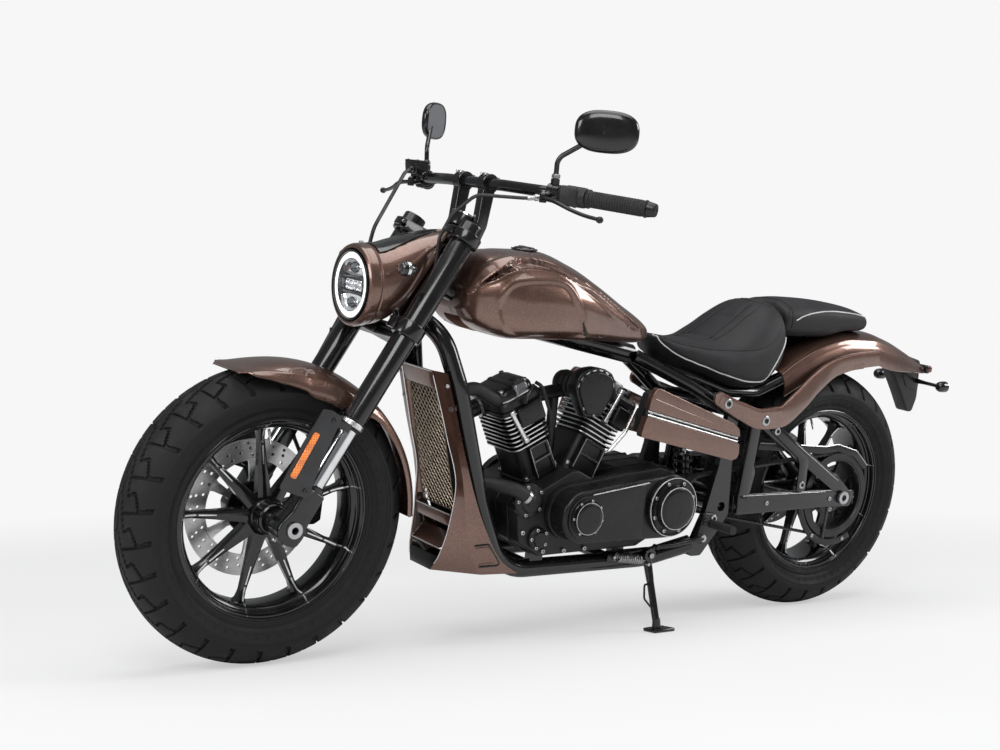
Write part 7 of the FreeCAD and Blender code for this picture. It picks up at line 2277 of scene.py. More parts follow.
    def add_clutch_parts(self, piece, mid):
        """The clutch's cable and its adjuster."""
        cable = [mid + Vector((0.006, -0.002, -0.008)), mid + Vector((0.052, -0.022, -0.016)),
                 fork_spot(90, 128, 800), fork_spot(90, 88, 750), fork_spot(86, 82, 690),
                 fork_spot(58, 80.5, 640), fork_spot(30, 74, 570), fork_spot(28, 60, 496)]
        piece.add(pipe(cable, 0.0039, bend=0.04, sides=16), "cable")
        start = cable[0]
        way = (cable[1] - start).normalized()
        adjuster = turned([(0.004, 0.0), (0.0058, 0.0), (0.0058, 0.012), (0.0072, 0.013), (0.0072, 0.02),
                           (0.0052, 0.021), (0.0048, 0.034), (0.004, 0.036)], 24, closed=True)
        piece.add(adjuster, "bolt", aimed(start + way * 0.014, way))

    def add_mirrors(self):
        """The mirrors on their stems."""
        piece = Piece("mirror_shells")
        for side in (1, -1):
            foot = (bar_point(0.02, side) + bar_point(0.14, side)) * 0.5 + Vector((0, 0.002 * side, 0.0303))
            centre = Vector((CLAMP.x - 0.093, 0.331 * side, CLAMP.z + 0.131))
            stem = [foot, foot + Vector((0.002, 0.002 * side, 0.042)),
                    centre + Vector((0.007, 0.009 * side, 0.002))]
            piece.add(pipe(stem, 0.0054, bend=0.026, sides=24), "gloss")
            piece.add(bar(foot, foot + Z_AXIS * 0.012, 0.0074, 0.0062, 28, 0.001), "gloss")
            nut = turned([(0, 0.0075), (0.0086, 0.0075), (0.0092, 0.0062), (0.0092, 0.0)], 6)
            piece.add(nut, "bolt", aimed(foot + Z_AXIS * 0.001, (0, 0, 1)))

            def head_ring(depth, grow, count=72):
                """A ring of the mirror's head at a depth."""
                ring = []
                for index in range(count):
                    angle = 2 * math.pi * index / count
                    across, rise = math.cos(angle), math.sin(angle)
                    ring.append((depth, 0.067 * grow * math.copysign(abs(across) ** 0.75, across),
                                 0.044 * grow * math.copysign(abs(rise) ** 0.75, rise)))
                return ring

            place = Matrix.Translation(centre) @ spin(52 * side, "Z")
            shell = [(0.0004, 0.89), (-0.0016, 0.905), (-0.002, 0.94), (-0.0008, 0.975), (0.002, 0.998),
                     (0.006, 1.0), (0.0105, 0.975), (0.0145, 0.915), (0.018, 0.8), (0.02, 0.64),
                     (0.021, 0.42), (0.0212, 0.2)]
            piece.add(loft([head_ring(*row) for row in shell]), "gloss", place)
            pane = loft([head_ring(0.0002, 0.895), head_ring(-0.0006, 0.895)])
            piece.add(pane, "mirror", place)
            knuckle = ball(centre + Vector((0.012, 0.006 * side, -0.002)), 0.0095, (1, 1, 1), 12, 20)
            piece.add(knuckle, "gloss")
        return piece.done(BIKE, "steering", "fork_black", ["mirrors"], sharp=40)


# Radiator with its cowl and the lattice in front, on the upright motorcycle

COWL_ROWS = [(0.64, 1.242, 0.066, 1.234, 0.086, 1.228, 0.106),
             (0.5, 1.198, 0.078, 1.19, 0.098, 1.184, 0.116),
             (0.376, 1.164, 0.084, 1.156, 0.104, 1.14, 0.12), (0.29, 1.168, 0.076, 1.14, 0.106, 1.1, 0.122),
             (0.217, 1.18, 0.062, 1.12, 0.112, 1.052, 0.124),
             (0.184, 1.188, 0.042, 1.096, 0.112, 1.003, 0.124)]
COWL_TOP, COWL_FOOT = COWL_ROWS[0][0], COWL_ROWS[-1][0]
COWL_WALL = 0.003


def cowl_ring(z, side):
    """A side panel's section at a height: outer face from front to back, then its inner face."""
    fx, fy, mx, my, bx, by = rows_at(COWL_ROWS, z)
    front, middle, back = Vector((fx, fy, z)), Vector((mx, my, z)), Vector((bx, by, z))
    outer = [front.lerp(middle, share) for share in (0, 0.06, 0.5, 0.9, 0.96)]
    outer.append(middle + (front + back - middle * 2) * 0.012)
    outer += [middle.lerp(back, share) for share in (0.04, 0.1, 0.5, 0.94, 1.0)]
    inner = [point + Vector((push, -COWL_WALL, 0))
             for point, push in ((back, -0.001), (middle, -0.003), (front, -COWL_WALL - 0.001))]
    return [sided(point, side) for point in outer + inner]


class MakeCowl(bpy.types.Operator):
    """Makes the radiator, its painted cowl and the diamond lattice in front of it"""

    bl_idname = "cruiser.cowl"
    bl_label = "Radiator cowl"

    def execute(self, context):
        return made(self.add_cowl(), self.add_core(), self.add_lattice())

    def add_cowl(self):
        """Both painted panels, the bands between them and the tray."""
        piece = Piece("cowl_panels")
        heights = [COWL_TOP - index * (COWL_TOP - COWL_FOOT) / 64 for index in range(65)]
        for side in (1, -1):
            panel = loft([cowl_ring(z, side) for z in heights])
            piece.add(panel, "paint")
            edge = []
            for z in heights[1:58:3]:
                fx, fy = rows_at(COWL_ROWS, z)[:2]
                edge.append(Vector((fx - 0.0012, (fy - 0.0015) * side, z)))
            piece.add(pipe(edge, 0.0019, sides=10, resolution=3), "paint")
            ledge = []
            for z in heights[4:46:3]:
                fx, fy = rows_at(COWL_ROWS, z)[:2]
                ledge.append((Vector((fx - 0.004, (fy - 0.003) * side, z)),
                              Vector((fx - 0.02, (fy - 0.011) * side, z)),
                              Vector((fx - 0.022, (fy - 0.009) * side, z)),
                              Vector((fx - 0.006, (fy - 0.001) * side, z))))
            piece.add(loft(ledge), "paint")
            self.add_groove_shade_line(piece, side)
            self.add_edge_highlight_line(piece, side)
            start = Vector((1.209, 0.1 * side, 0.56))
            piece.add(bar(start, start - Vector((0.035, 0.009 * side, 0)), 0.006, sides=24), "bolt")
            bx, by = rows_at(COWL_ROWS, 0.612)[4:6]
            head = Vector((bx + 0.006, by * side - 0.0035 * side, 0.612))
            piece.add(bolts([head], (0.35, side, 0), 0.0042, 0.0028), "bolt")
        bands = [[(1.242, 0.064, 0.64), (1.229, 0.067, 0.6)], [(1.165, 0.074, 0.316), (1.166, 0.073, 0.29)],
                 [(1.18, 0.06, 0.217), (1.188, 0.041, 0.184)]]
        for (top, low), finish in zip(bands, ("paint", "paint", "satin")):
            rows = []
            for share in (0, 0.08, 0.5, 0.92, 1):
                x, y, z = (top[k] + (low[k] - top[k]) * share for k in range(3))
                bow = 0.0012 * (1 - abs(share * 2 - 1)) ** 0.5
                rows.append([Vector((x + bow, -y, z)), Vector((x + bow, y, z)), Vector((x - 0.004, y, z)),
                             Vector((x - 0.004, -y, z))])
            piece.add(softened(loft(rows), 0.0008, 2, 50), finish)
        for x, y, z, radius in ((1.2405, 0.062, 0.6385, 0.0018), (1.166, 0.072, 0.3155, 0.0013)):
            piece.add(bar((x, -y, z), (x, y, z), radius, sides=12), "silver")
        floor = [(1.187, -0.041), (1.187, 0.041), (1.094, 0.11), (1.046, 0.118), (1.046, -0.118),
                 (1.094, -0.11)]
        low = slab([(x, -y) for x, y in floor], 0.184, 0.187, 0.0006, 1)
        piece.add(low, "satin", UPRIGHT)
        shelf = [(1.176, 0.06, 0.236), (1.176, -0.06, 0.236), (1.128, -0.088, 0.262), (1.128, 0.088, 0.262)]
        top = [Vector(point) for point in shelf]
        piece.add(softened(loft([top, [point - Z_AXIS * 0.003 for point in top]]), 0.0006, 1, 50), "paint")
        piece.add(bar((1.177, -0.06, 0.2362), (1.177, 0.06, 0.2362), 0.0013, sides=10), "silver")
        for side in (1, -1):
            line = [sided(point, side)
                    for point in ((1.177, 0.06, 0.2362), (1.13, 0.087, 0.2615), (1.136, 0.09, 0.288))]
            piece.add(pipe(line, 0.0013, bend=0.006, sides=8), "silver")
        return piece.done(BIKE, "root", "paint", ["radiator_cowl"], sharp=24)

    def add_groove_shade_line(self, piece, side):
        """The square bracket pressed into the panel's foot: a gloss black pipe laid on the panel as the
        groove's painted shade, with a paint step inside.
        """

        def spot(z, share, lift):
            """A point just off the panel: its height and its share of the way back."""
            mx, my, bx, by = rows_at(COWL_ROWS, z)[2:]
            point = Vector((mx, my, z)).lerp(Vector((bx, by, z)), share)
            return sided(point + Vector((lift * 0.4, lift, 0)), side)
        corners = [(0.252, 0.22), (0.256, 0.86), (0.206, 0.84), (0.203, 0.1)]
        line = [spot(z, share, -0.0004) for z, share in corners]
        # The gloss black pipe is painted shade of the pressed groove; the panel itself is not cut.
        piece.add(pipe(line, 0.0027, bend=0.006, sides=12), "gloss")
        step = [spot(z, share, -0.0006)
                for z, share in ((0.246, 0.24), (0.25, 0.78), (0.213, 0.76), (0.209, 0.14))]
        piece.add(pipe(step, 0.002, bend=0.005, sides=12), "paint")

    def add_edge_highlight_line(self, piece, side):
        """A silver pipe along the panel's front edge: a painted highlight of the edge."""
        line = []
        for index in range(31):
            z = 0.2 + 0.43 * index / 30
            fx, fy = rows_at(COWL_ROWS, z)[:2]
            line.append(sided(Vector((fx + 0.0006, fy - 0.001, z)), side))
        # Silver pipe as painted highlight along the front edge.
        piece.add(pipe(line, 0.0011, sides=8, resolution=2), "silver")

    def add_core(self):
        """The radiator with its end tanks."""
        piece = Piece("radiator_body")
        top, low = Vector((1.222, 0, 0.618)), Vector((1.136, 0, 0.33))
        way = (top - low).normalized()
        back = Vector((-way.z, 0, way.x))
        turn = placing(low, Vector((-back.x, 0, -back.z)), Y_AXIS, way)
        length = (top - low).length
        piece.add(box((-0.0335, -0.0645, 0.03), (-0.0015, 0.0645, length - 0.03), 0.001), "core", turn)
        for start, end in ((0.0, 0.032), (length - 0.032, length)):
            piece.add(box((-0.034, -0.066, start), (0, 0.066, end), 0.006, 4), "plastic", turn)
        for side in (1, -1):
            y = sorted((0.0625 * side, 0.066 * side))
            piece.add(box((-0.034, y[0], 0.02), (-0.0005, y[1], length - 0.02), 0.001), "satin", turn)
        count = 40
        for index in range(count):
            z = 0.034 + (length - 0.068) * index / (count - 1)
            piece.add(box((-0.0012, -0.0625, z - 0.0009), (-0.0004, 0.0625, z + 0.0009)), "core", turn)
        for x, z in ((1.186, 0.56), (1.122, 0.352)):
            piece.add(bar((x, -0.08, z), (x, 0.08, z), 0.006, sides=20), "bolt")
        return piece.done(BIKE, "root", "core", ["radiator"])

    def add_lattice(self):
        """Two crossing sets of wires, a little apart in depth, inside a frame."""
        piece = Piece("grille_lattice")
        top, low = Vector((1.2195, 0, 0.598)), Vector((1.1515, 0, 0.322))
        height = (top - low).length
        way = (top - low).normalized()
        turn = placing(low, Vector((way.z, 0, -way.x)), Y_AXIS, way)

        def half_at(z):
            """Half the frame's width at a height."""
            return 0.066 + (0.06 - 0.066) * z / height

        pitch, slope, steps = 0.015, 1.15, 60
        for lean in (1, -1):
            for index in range(-14, int(height / (pitch * slope)) + 2):
                run = []
                for step in range(steps + 1):
                    y = -0.066 + 0.132 * step / steps
                    z = index * pitch * slope + (y * lean + 0.066) * slope
                    if abs(y) <= half_at(z) and 0.001 < z < height - 0.001:
                        run.append(Vector((-0.0014 + 0.0004 * lean, y, z)))
                if len(run) > 2:
                    piece.add(bar(run[0], run[-1], 0.00115, sides=6), "grille", turn)
        rim = [(0, -half_at(0), 0), (0, half_at(0), 0), (0, half_at(height), height),
               (0, -half_at(height), height)]
        piece.add(pipe([Vector(point) - X_AXIS * 0.0015 for point in rim], 0.0015, bend=0.004, sides=8,
                       closed=True), "grille", turn)
        return piece.done(BIKE, "root", "black_plastic", ["grille"], sharp=45)


# Seats: leather puffed up by cloth under pressure between their seams

RIDER_ROWS = [(0.599, 0.04, 0.708, 0.738, 0.722), (0.578, 0.062, 0.69, 0.732, 0.712),
              (0.545, 0.092, 0.662, 0.724, 0.694), (0.49, 0.122, 0.636, 0.722, 0.676),
              (0.43, 0.146, 0.612, 0.728, 0.662), (0.37, 0.152, 0.596, 0.762, 0.66),
              (0.318, 0.15, 0.592, 0.798, 0.67), (0.27, 0.138, 0.606, 0.82, 0.7),
              (0.226, 0.122, 0.64, 0.823, 0.73)]
PILLION_ROWS = [(0.2257, 0.1, 0.734, 0.819, 0.778), (0.15, 0.104, 0.726, 0.827, 0.78),
                (0.06, 0.102, 0.726, 0.825, 0.782), (-0.03, 0.094, 0.742, 0.816, 0.78),
                (-0.09, 0.08, 0.743, 0.802, 0.776), (-0.126, 0.062, 0.746, 0.784, 0.77)]
# Lines on the left side, in millimetres
RIDER_PANEL = [(590, 30, 731), (576, 53, 724), (547, 73, 715), (511, 92, 709), (468, 109, 704),
               (423, 125, 705), (383, 139, 706), (349, 145, 709), (316, 144, 716), (293, 141, 726),
               (260, 126, 759), (243, 106, 788), (245, 89, 803), (259, 66, 811), (272, 36, 817),
               (276, 0, 819)]
RIDER_PIPING = [(598, 22, 733), (590, 40, 716), (579, 54, 700), (548, 80, 677), (490, 113, 656),
                (424, 137, 635), (353, 139, 621), (322, 137, 620), (307, 137, 626), (289, 141, 656),
                (253, 131, 705), (232, 121, 736)]
RIDER_CHANNELS = [[(258, 30, 812), (311, 32, 795), (360, 40, 765), (408, 42, 738), (464, 44, 720)],
                  [(262, 56, 808), (338, 64, 778), (386, 66, 747), (432, 60, 728)]]
PILLION_PIPING = [(188, 104, 776), (171, 103, 785), (140, 102, 795), (69, 95, 804), (4, 90, 802),
                  (-50, 83, 797), (-90, 70, 790), (-118, 44, 784), (-122, 0, 783)]
PILLION_COLLAR = [(200, 103, 752), (200, 104, 780), (198, 92, 806), (196, 66, 820), (195, 34, 825),
                  (195, 0, 826)]

COVER_CLOTH = {"quality": 6, "mass": 0.3, "tension_stiffness": 22, "compression_stiffness": 22,
               "bending_stiffness": 3, "use_pressure": True, "uniform_pressure_force": 4,
               "vertex_group_mass": "held"}
SETTLING_FRAMES = 20


def smooth_line(points, steps=8):
    """A line in millimetres made dense and smooth, in metres."""
    table = [(index, *(part / 1000 for part in point)) for index, point in enumerate(points)]
    return [Vector(rows_at(table, index / steps)) for index in range((len(points) - 1) * steps + 1)]


def both_sides(points):
    """The line and its like on the right; one that ends in the middle becomes a single line."""
    right = [sided(point, -1) for point in points]
    if abs(points[-1].y) < 0.001:
        return [points + right[-2::-1]]
    return [points, right]


def seat_form(rows, powers, dish, ends):
    """The seat's form before it is puffed, a little inside its outline, with round ends."""
    first, last = rows[0][0], rows[-1][0]

    def skin(across, along):
        """A point of the seat before it is puffed."""
        x = first + (last - first) * along
        half, low, high, waist = rows_at(rows, x)
        shrink = 1.0
        for edge, place in ((ends[0], along), (ends[1], 1 - along)):
            if place < edge:
                shrink = math.sqrt(max(1 - ((edge - place) / edge) ** 2, 0.0))
        y, z = oval(across, half - 0.004, low + 0.002, high - 0.004, waist, *powers)
        flat = max(1 - (y / half) ** 2, 0) * max(math.cos(2 * math.pi * across), 0)
        sink = dish * flat * eased(x, first + (last - first) * 0.92, first + (last - first) * 0.6)
        return Vector((x, y * shrink, waist + (z - waist) * shrink - sink * shrink))
    return closed_tube(80, 80, skin)


def evened(shape, name, size):
    """The shape as an object of its own with even faces all over."""
    mesh = bpy.data.meshes.new(name)
    shape.to_mesh(mesh)
    shape.free()
    form = bpy.data.objects.new(name, mesh)
    bpy.context.scene.collection.objects.link(form)
    remesh = form.modifiers.new("Remesh", "REMESH")
    remesh.mode = "VOXEL"
    remesh.voxel_size = size
    even = bpy.data.meshes.new_from_object(form.evaluated_get(bpy.context.evaluated_depsgraph_get()))
    form.modifiers.clear()
    shape = bmesh.new()
    shape.from_mesh(even)
    for _ in range(3):
        bmesh.ops.smooth_vert(shape, verts=shape.verts, factor=0.5, use_axis_x=True, use_axis_y=True,
                              use_axis_z=True)
    shape.to_mesh(even)
    shape.free()
    form.data = even
    bpy.data.meshes.remove(mesh)
    return form


def cushion(name, shape, seams, base, cap):
    """Cloth under pressure, held along its seams and underneath, and moved by no more than the cap."""
    form = evened(shape, name + "_form", 0.006)
    points = [point for seam in seams for point in seam]
    tree = KDTree(len(points))
    for number, point in enumerate(points):
        tree.insert(point, number)
    tree.balance()
    starts = [vert.co.copy() for vert in form.data.vertices]
    reach = [tree.find(start)[2] for start in starts]
    held = form.vertex_groups.new(name="held")
    for index, start in enumerate(starts):
        if start.z < base or reach[index] < 0.005:
            held.add([index], 1.0, "REPLACE")
    places = starts
    cloth = form.modifiers.new("Cloth", "CLOTH")
    for name, value in COVER_CLOTH.items():
        setattr(cloth.settings, name, value)
    cloth.settings.effector_weights.gravity = 0
    cloth.collision_settings.use_collision = False
    cloth.point_cache.frame_start = 1
    cloth.point_cache.frame_end = SETTLING_FRAMES
    for number in range(1, SETTLING_FRAMES + 1):
        bpy.context.scene.frame_set(number)
    puffed = form.evaluated_get(bpy.context.evaluated_depsgraph_get()).to_mesh()
    places = [vert.co.copy() for vert in puffed.vertices]
    bpy.context.scene.frame_set(1)
    form.modifiers.clear()
    shape = bmesh.new()
    shape.from_mesh(form.data)
    shape.verts.ensure_lookup_table()
    for vert, start, place, gap in zip(shape.verts, starts, places, reach):
        push = place - start
        if push.length > cap:
            push = push.normalized() * cap
        groove = 0.0022 * bell(gap, 0, 0.0042)
        vert.co = start + push - vert.normal * groove
    mesh = form.data
    bpy.data.objects.remove(form)
    bpy.data.meshes.remove(mesh)
    bmesh.ops.recalc_face_normals(shape, faces=shape.faces)
    return shape


def laid_on(shape, points, lift):
    """Points brought onto a shape's surface."""
    tree = BVHTree.FromBMesh(shape)
    line = []
    for point in points:
        place, normal, _, _ = tree.find_nearest(point)
        line.append(place + normal * lift)
    return line


class MakeSeats(bpy.types.Operator):
    """Makes the rider's and the passenger's seat with their seams and pale piping"""

    bl_idname = "cruiser.seats"
    bl_label = "Seats"

    def execute(self, context):
        things = []
        rider = [RIDER_PANEL, *RIDER_CHANNELS]
        things += self.add_seat("rider_seat", RIDER_ROWS, (2.4, 2.6), 0.006, (0.05, 0.045), rider,
                                RIDER_PIPING, 0.612, 0.012, 0.85)
        things += self.add_seat("pillion_seat", PILLION_ROWS, (2.6, 3.4), 0.0, (0.03, 0.07),
                                [PILLION_COLLAR], PILLION_PIPING, 0.748, 0.008, 0.9)
        return made(*things)

    def add_seat(self, node, rows, powers, dish, ends, lines, edge, base, cap, fill):
        """One seat and its piping."""
        seams = [seam for line in [*lines, edge] for seam in both_sides(smooth_line(line))]
        shape = cushion(node, seat_form(rows, powers, dish, ends), seams, base, cap)
        trim = Piece(node + "_piping")
        for line in lines:
            for seam in both_sides(smooth_line(line, 4)):
                trim.add(pipe(laid_on(shape, seam, 0.0002), 0.0011, sides=8, resolution=3), "leather")
        for seam in both_sides(smooth_line(edge, 4)):
            trim.add(pipe(laid_on(shape, seam, 0.001), 0.0017, sides=10, resolution=3), "piping")
        piece = Piece(node + "_cushion")
        piece.add(shape, "leather")
        seat = piece.done(BIKE, "root", "seat", [node], sharp=80, levels=1)
        return [seat, trim.done(BIKE, "root", "seat")]


# Tail: rear fender, its struts, the lamps on their bracket and the side covers

FENDER_ROWS = [(0.205, 0.104, 0.652, 0.582), (0.15, 0.106, 0.69, 0.612), (0.06, 0.107, 0.728, 0.655),
               (-0.03, 0.106, 0.745, 0.672), (-0.12, 0.103, 0.745, 0.664), (-0.2, 0.092, 0.728, 0.648),
               (-0.29, 0.07, 0.696, 0.64), (-0.36, 0.046, 0.668, 0.634), (-0.4, 0.03, 0.652, 0.63)]
STRUT_ROWS = [(0.478, 0.16, 0.588, 0.034, 22), (0.4, 0.16, 0.556, 0.044, 20),
              (0.33, 0.159, 0.536, 0.052, 6), (0.262, 0.154, 0.54, 0.056, -20),
              (0.19, 0.142, 0.576, 0.056, -38), (0.12, 0.128, 0.622, 0.052, -34),
              (0.04, 0.116, 0.66, 0.046, -18), (-0.06, 0.112, 0.678, 0.042, -4),
              (-0.12, 0.109, 0.682, 0.04, 4)]


def rear_fender_point(across, along, inset=0.0):
    """A point of the rear fender's skin, or of its inner face."""
    x = 0.205 - 0.605 * along
    half, top, low = rows_at(FENDER_ROWS, x)
    angle = (across * 2 - 1) * math.pi / 2
    reach = max(math.cos(angle), 0.0) ** (2 / 3.1)
    y = (half - inset) * math.copysign(abs(math.sin(angle)) ** (2 / 3.1), angle)
    drop = top - low
    share = abs(across * 2 - 1)
    crease = (0.0022 * bell(share, 0.56, 0.03) - 0.0012 * bell(share, 0.66, 0.05)) * eased(x, -0.4, -0.3)
    return Vector((x, y, low + (drop - inset) * reach + crease))


def ring_washer(piece, place, way, outer=0.0125):
    """A bright washer with a dark socket screw in it."""
    washer = [(0.0, 0.0), (outer, 0.0), (outer, 0.0022), (outer * 0.86, 0.0034), (outer * 0.6, 0.0034),
              (outer * 0.56, 0.0014), (0, 0.0014)]
    piece.add(turned(washer, 40), "bolt", aimed(place, way))
    piece.add(hex_bolt(outer * 0.48, 0.0042), "dark_bolt", aimed(place, way))


class MakeTail(bpy.types.Operator):
    """Makes the rear fender, its struts, the tail bracket with its lamps and the side covers"""

    bl_idname = "cruiser.tail"
    bl_label = "Tail"

    def execute(self, context):
        fender = Piece("rear_fender_shell")
        fender.add(shell_of(88, 110, rear_fender_point, 0.004), "paint")
        rim = [point + Z_AXIS * 0.001 for point in rim_of(rear_fender_point, 50, 16)]
        fender.add(pipe(rim, 0.0021, bend=0.003, sides=8, resolution=1), "paint")
        fender = fender.done(BIKE, "root", "paint", ["rear_fender"], sharp=40)
        return made(fender, self.add_struts(), self.add_bracket(), self.add_lamps(), self.add_covers())

    def add_struts(self):
        """The painted struts with their washers."""
        piece = Piece("strut_bands")
        thick = 0.0042
        for side in (1, -1):
            rings = []
            count = 90
            for index in range(count + 1):
                x = 0.478 - 0.598 * index / count
                y, z, tall, slope = rows_at(STRUT_ROWS, x)
                angle = math.radians(slope)
                up = Vector((-math.sin(angle), 0, math.cos(angle)))
                half = tall / 2
                section = [(-half, -thick), (half, -thick), (half, thick - 0.0028),
                           (half - 0.001, thick - 0.001), (half - 0.0042, thick),
                           (half * 0.55, thick + 0.0006), (0.0, thick + 0.0008),
                           (-half * 0.55, thick + 0.0006), (-half + 0.0042, thick),
                           (-half + 0.001, thick - 0.001), (-half, thick - 0.0028)]
                rings.append([sided(Vector((x, y, z)) + up * rise + Y_AXIS * out, side)
                              for rise, out in section])
            piece.add(loft(rings), "paint")
            y, z, tall, slope = rows_at(STRUT_ROWS, 0.478)
            low, high = sorted(((y - thick) * side, (y + thick) * side))
            nose = at(0.478, low, z)
            profile = [(0, 0), (tall / 2 - 0.001, 0), (tall / 2, 0.001), (tall / 2, high - low - 0.0012),
                       (tall / 2 - 0.0012, high - low), (0, high - low)]
            piece.add(turned(profile, 48), "paint", nose)
            for x, lift in ((0.452, 0.0), (0.318, -0.004)):
                y, z, tall, slope = rows_at(STRUT_ROWS, x)
                ring_washer(piece, (x, (y + thick) * side, z + lift), (0, side, 0))
            y, z, tall, slope = rows_at(STRUT_ROWS, -0.03)
            plate = [(-0.02, z - 0.01), (-0.06, z - 0.004), (-0.06, z - 0.018), (-0.02, z - 0.022)]
            piece.add(side_plate(plate, y + thick, y + thick + 0.0012, side, 0.0004, 1, 0.003), "paint")
        return piece.done(BIKE, "root", "paint", ["fender_struts"], sharp=34)

    def add_bracket(self):
        """The bracket behind the fender with its plate holder."""
        piece = Piece("tail_bracket_arms")
        outline = [(-0.29, 0.69), (-0.394, 0.664), (-0.398, 0.56), (-0.384, 0.52), (-0.366, 0.52),
                   (-0.33, 0.575), (-0.276, 0.65)]
        piece.add(slab(outline, -0.0215, 0.0215, 0.004, 3, 0.008), "plastic")
        cheek = [(-0.3, 0.664), (-0.384, 0.648), (-0.388, 0.58), (-0.346, 0.59)]
        for side in (1, -1):
            piece.add(side_plate(cheek, 0.021, 0.0235, side, 0.001, 2, 0.006), "satin")
            spots = [(-0.372, 0.0235 * side, 0.636), (-0.318, 0.0235 * side, 0.65)]
            piece.add(bolts(spots, (0, side, 0), 0.005, 0.003), "bolt")
        lens = slab([(-0.397, 0.552), (-0.3995, 0.6), (-0.403, 0.6), (-0.4005, 0.552)], -0.016, 0.016,
                    0.0008, 1)
        piece.add(lens, "red")
        return piece.done(BIKE, "root", "black_plastic", ["tail_bracket"])

    def add_lamps(self):
        """The tail lamp and the rear indicators."""
        piece = Piece("tail_lamp_and_flashers")
        piece.add(box((-0.4145, -0.0415, 0.6305), (-0.4, 0.0415, 0.6535), 0.005, 3), "gloss")
        piece.add(box((-0.4275, -0.0395, 0.6325), (-0.413, 0.0395, 0.6515), 0.006, 4), "red")
        piece.add(box((-0.4282, -0.03, 0.639), (-0.4265, 0.03, 0.6405), 0.0004, 1), "ring_light")
        for side in (1, -1):
            stalk = arm([(-0.384, 0.02 * side, 0.608, 0.0075, 0.0075),
                         (-0.384, 0.06 * side, 0.607, 0.0055, 0.005),
                         (-0.384, 0.1 * side, 0.606, 0.0055, 0.005)], 16, 6)
            piece.add(stalk, "gloss")
            place = aimed((-0.368, 0.112 * side, 0.606), (-1, 0, 0))
            body = [(0, 0.0), (0.0075, 0.0005), (0.0118, 0.004), (0.0142, 0.01), (0.015, 0.018),
                    (0.015, 0.0295), (0.0143, 0.0305), (0.0136, 0.0295), (0.0134, 0.028)]
            piece.add(turned(body, 48), "gloss", place)
            ring = [(0.0134, 0.0285), (0.0144, 0.0285), (0.0146, 0.0308), (0.0134, 0.0312)]
            piece.add(turned(ring, 48, closed=True), "silver", place)
            lens = [(0.0, 0.0335), (0.006, 0.0332), (0.0105, 0.032), (0.0134, 0.03), (0.0134, 0.027),
                    (0, 0.027)]
            piece.add(turned(lens, 48), "smoke", place)
        return piece.done(BIKE, "root", "smoke_lamp", ["tail_lamps"])

    def add_covers(self):
        """The side covers with the bright double line between them."""
        piece = Piece("side_cover_panels")
        upper = [(0.69, 0.602), (0.68, 0.6125), (0.672, 0.6155), (0.424, 0.5275), (0.404, 0.514),
                 (0.4, 0.5), (0.4, 0.4925), (0.7, 0.5645)]
        lower = [(0.702, 0.5495), (0.4, 0.477), (0.398, 0.452), (0.404, 0.44), (0.42, 0.436), (0.712, 0.5),
                 (0.7155, 0.506)]
        for side in (1, -1):
            for outline in (upper, lower):
                piece.add(side_plate(outline, 0.1455, 0.165, side, 0.0055, 4, 0.0035), "paint")
            gap = [(0.702, 0.566), (0.703, 0.547), (0.4015, 0.475), (0.4015, 0.4945)]
            piece.add(side_plate(gap, 0.146, 0.1575, side, 0.0008, 1), "satin")
            for rise in (0.0045, -0.0045):
                start, end = (0.699, 0.16 * side, 0.5565 + rise), (0.404, 0.16 * side, 0.4857 + rise)
                piece.add(bar(start, end, 0.0022, sides=14, bevel=0.0006), "silver")
            piece.add(bar((0.684, 0.1652 * side, 0.59), (0.42, 0.1652 * side, 0.506), 0.0011, 0.0006, 8),
                      "paint")
            inner = [(0.684, 0.598), (0.668, 0.606), (0.54, 0.56), (0.531, 0.549), (0.531, 0.476),
                     (0.54, 0.469), (0.704, 0.507), (0.699, 0.551)]
            piece.add(side_plate(inner, 0.117, 0.146, side, 0.003, 2, 0.003), "plastic")
            spots = [(0.688, 0.1575 * side, 0.5562)]
            piece.add(bolts(spots, (0, side, 0), 0.0042, 0.003), "bolt")
        return piece.done(BIKE, "root", "paint", ["side_covers"], sharp=30)


# Running gear: swingarm with its guards, belt, shock, exhaust, foot controls and the side stand

PIVOT = Vector((0.418, 0, 0.316))
STAND_EYE = Vector((0.625, 0.132, 0.205))
SILENCER_Y = -0.2


def coil(start, end, radius, wire, turns, steps=14, sides=8):
    """A coil spring between two places."""
    start, end = Vector(start), Vector(end)
    length = (end - start).length
    count = int(turns * steps)
    points = []
    for index in range(count + 1):
        angle = 2 * math.pi * index / steps
        points.append(Vector((radius * math.cos(angle), length * index / count, radius * math.sin(angle))))
    return moved(pipe(points, wire, sides=sides, resolution=2), aimed(start, end - start))


def crescent(centre, inner, outer, first, last, low, high, bevel=0.001):
    """A band of a ring in side view, as a plate."""
    steps = 40
    outline = arc_of(centre, outer, first, last, steps) + arc_of(centre, inner, last, first, steps)
    return slab(outline, low, high, bevel, 2)


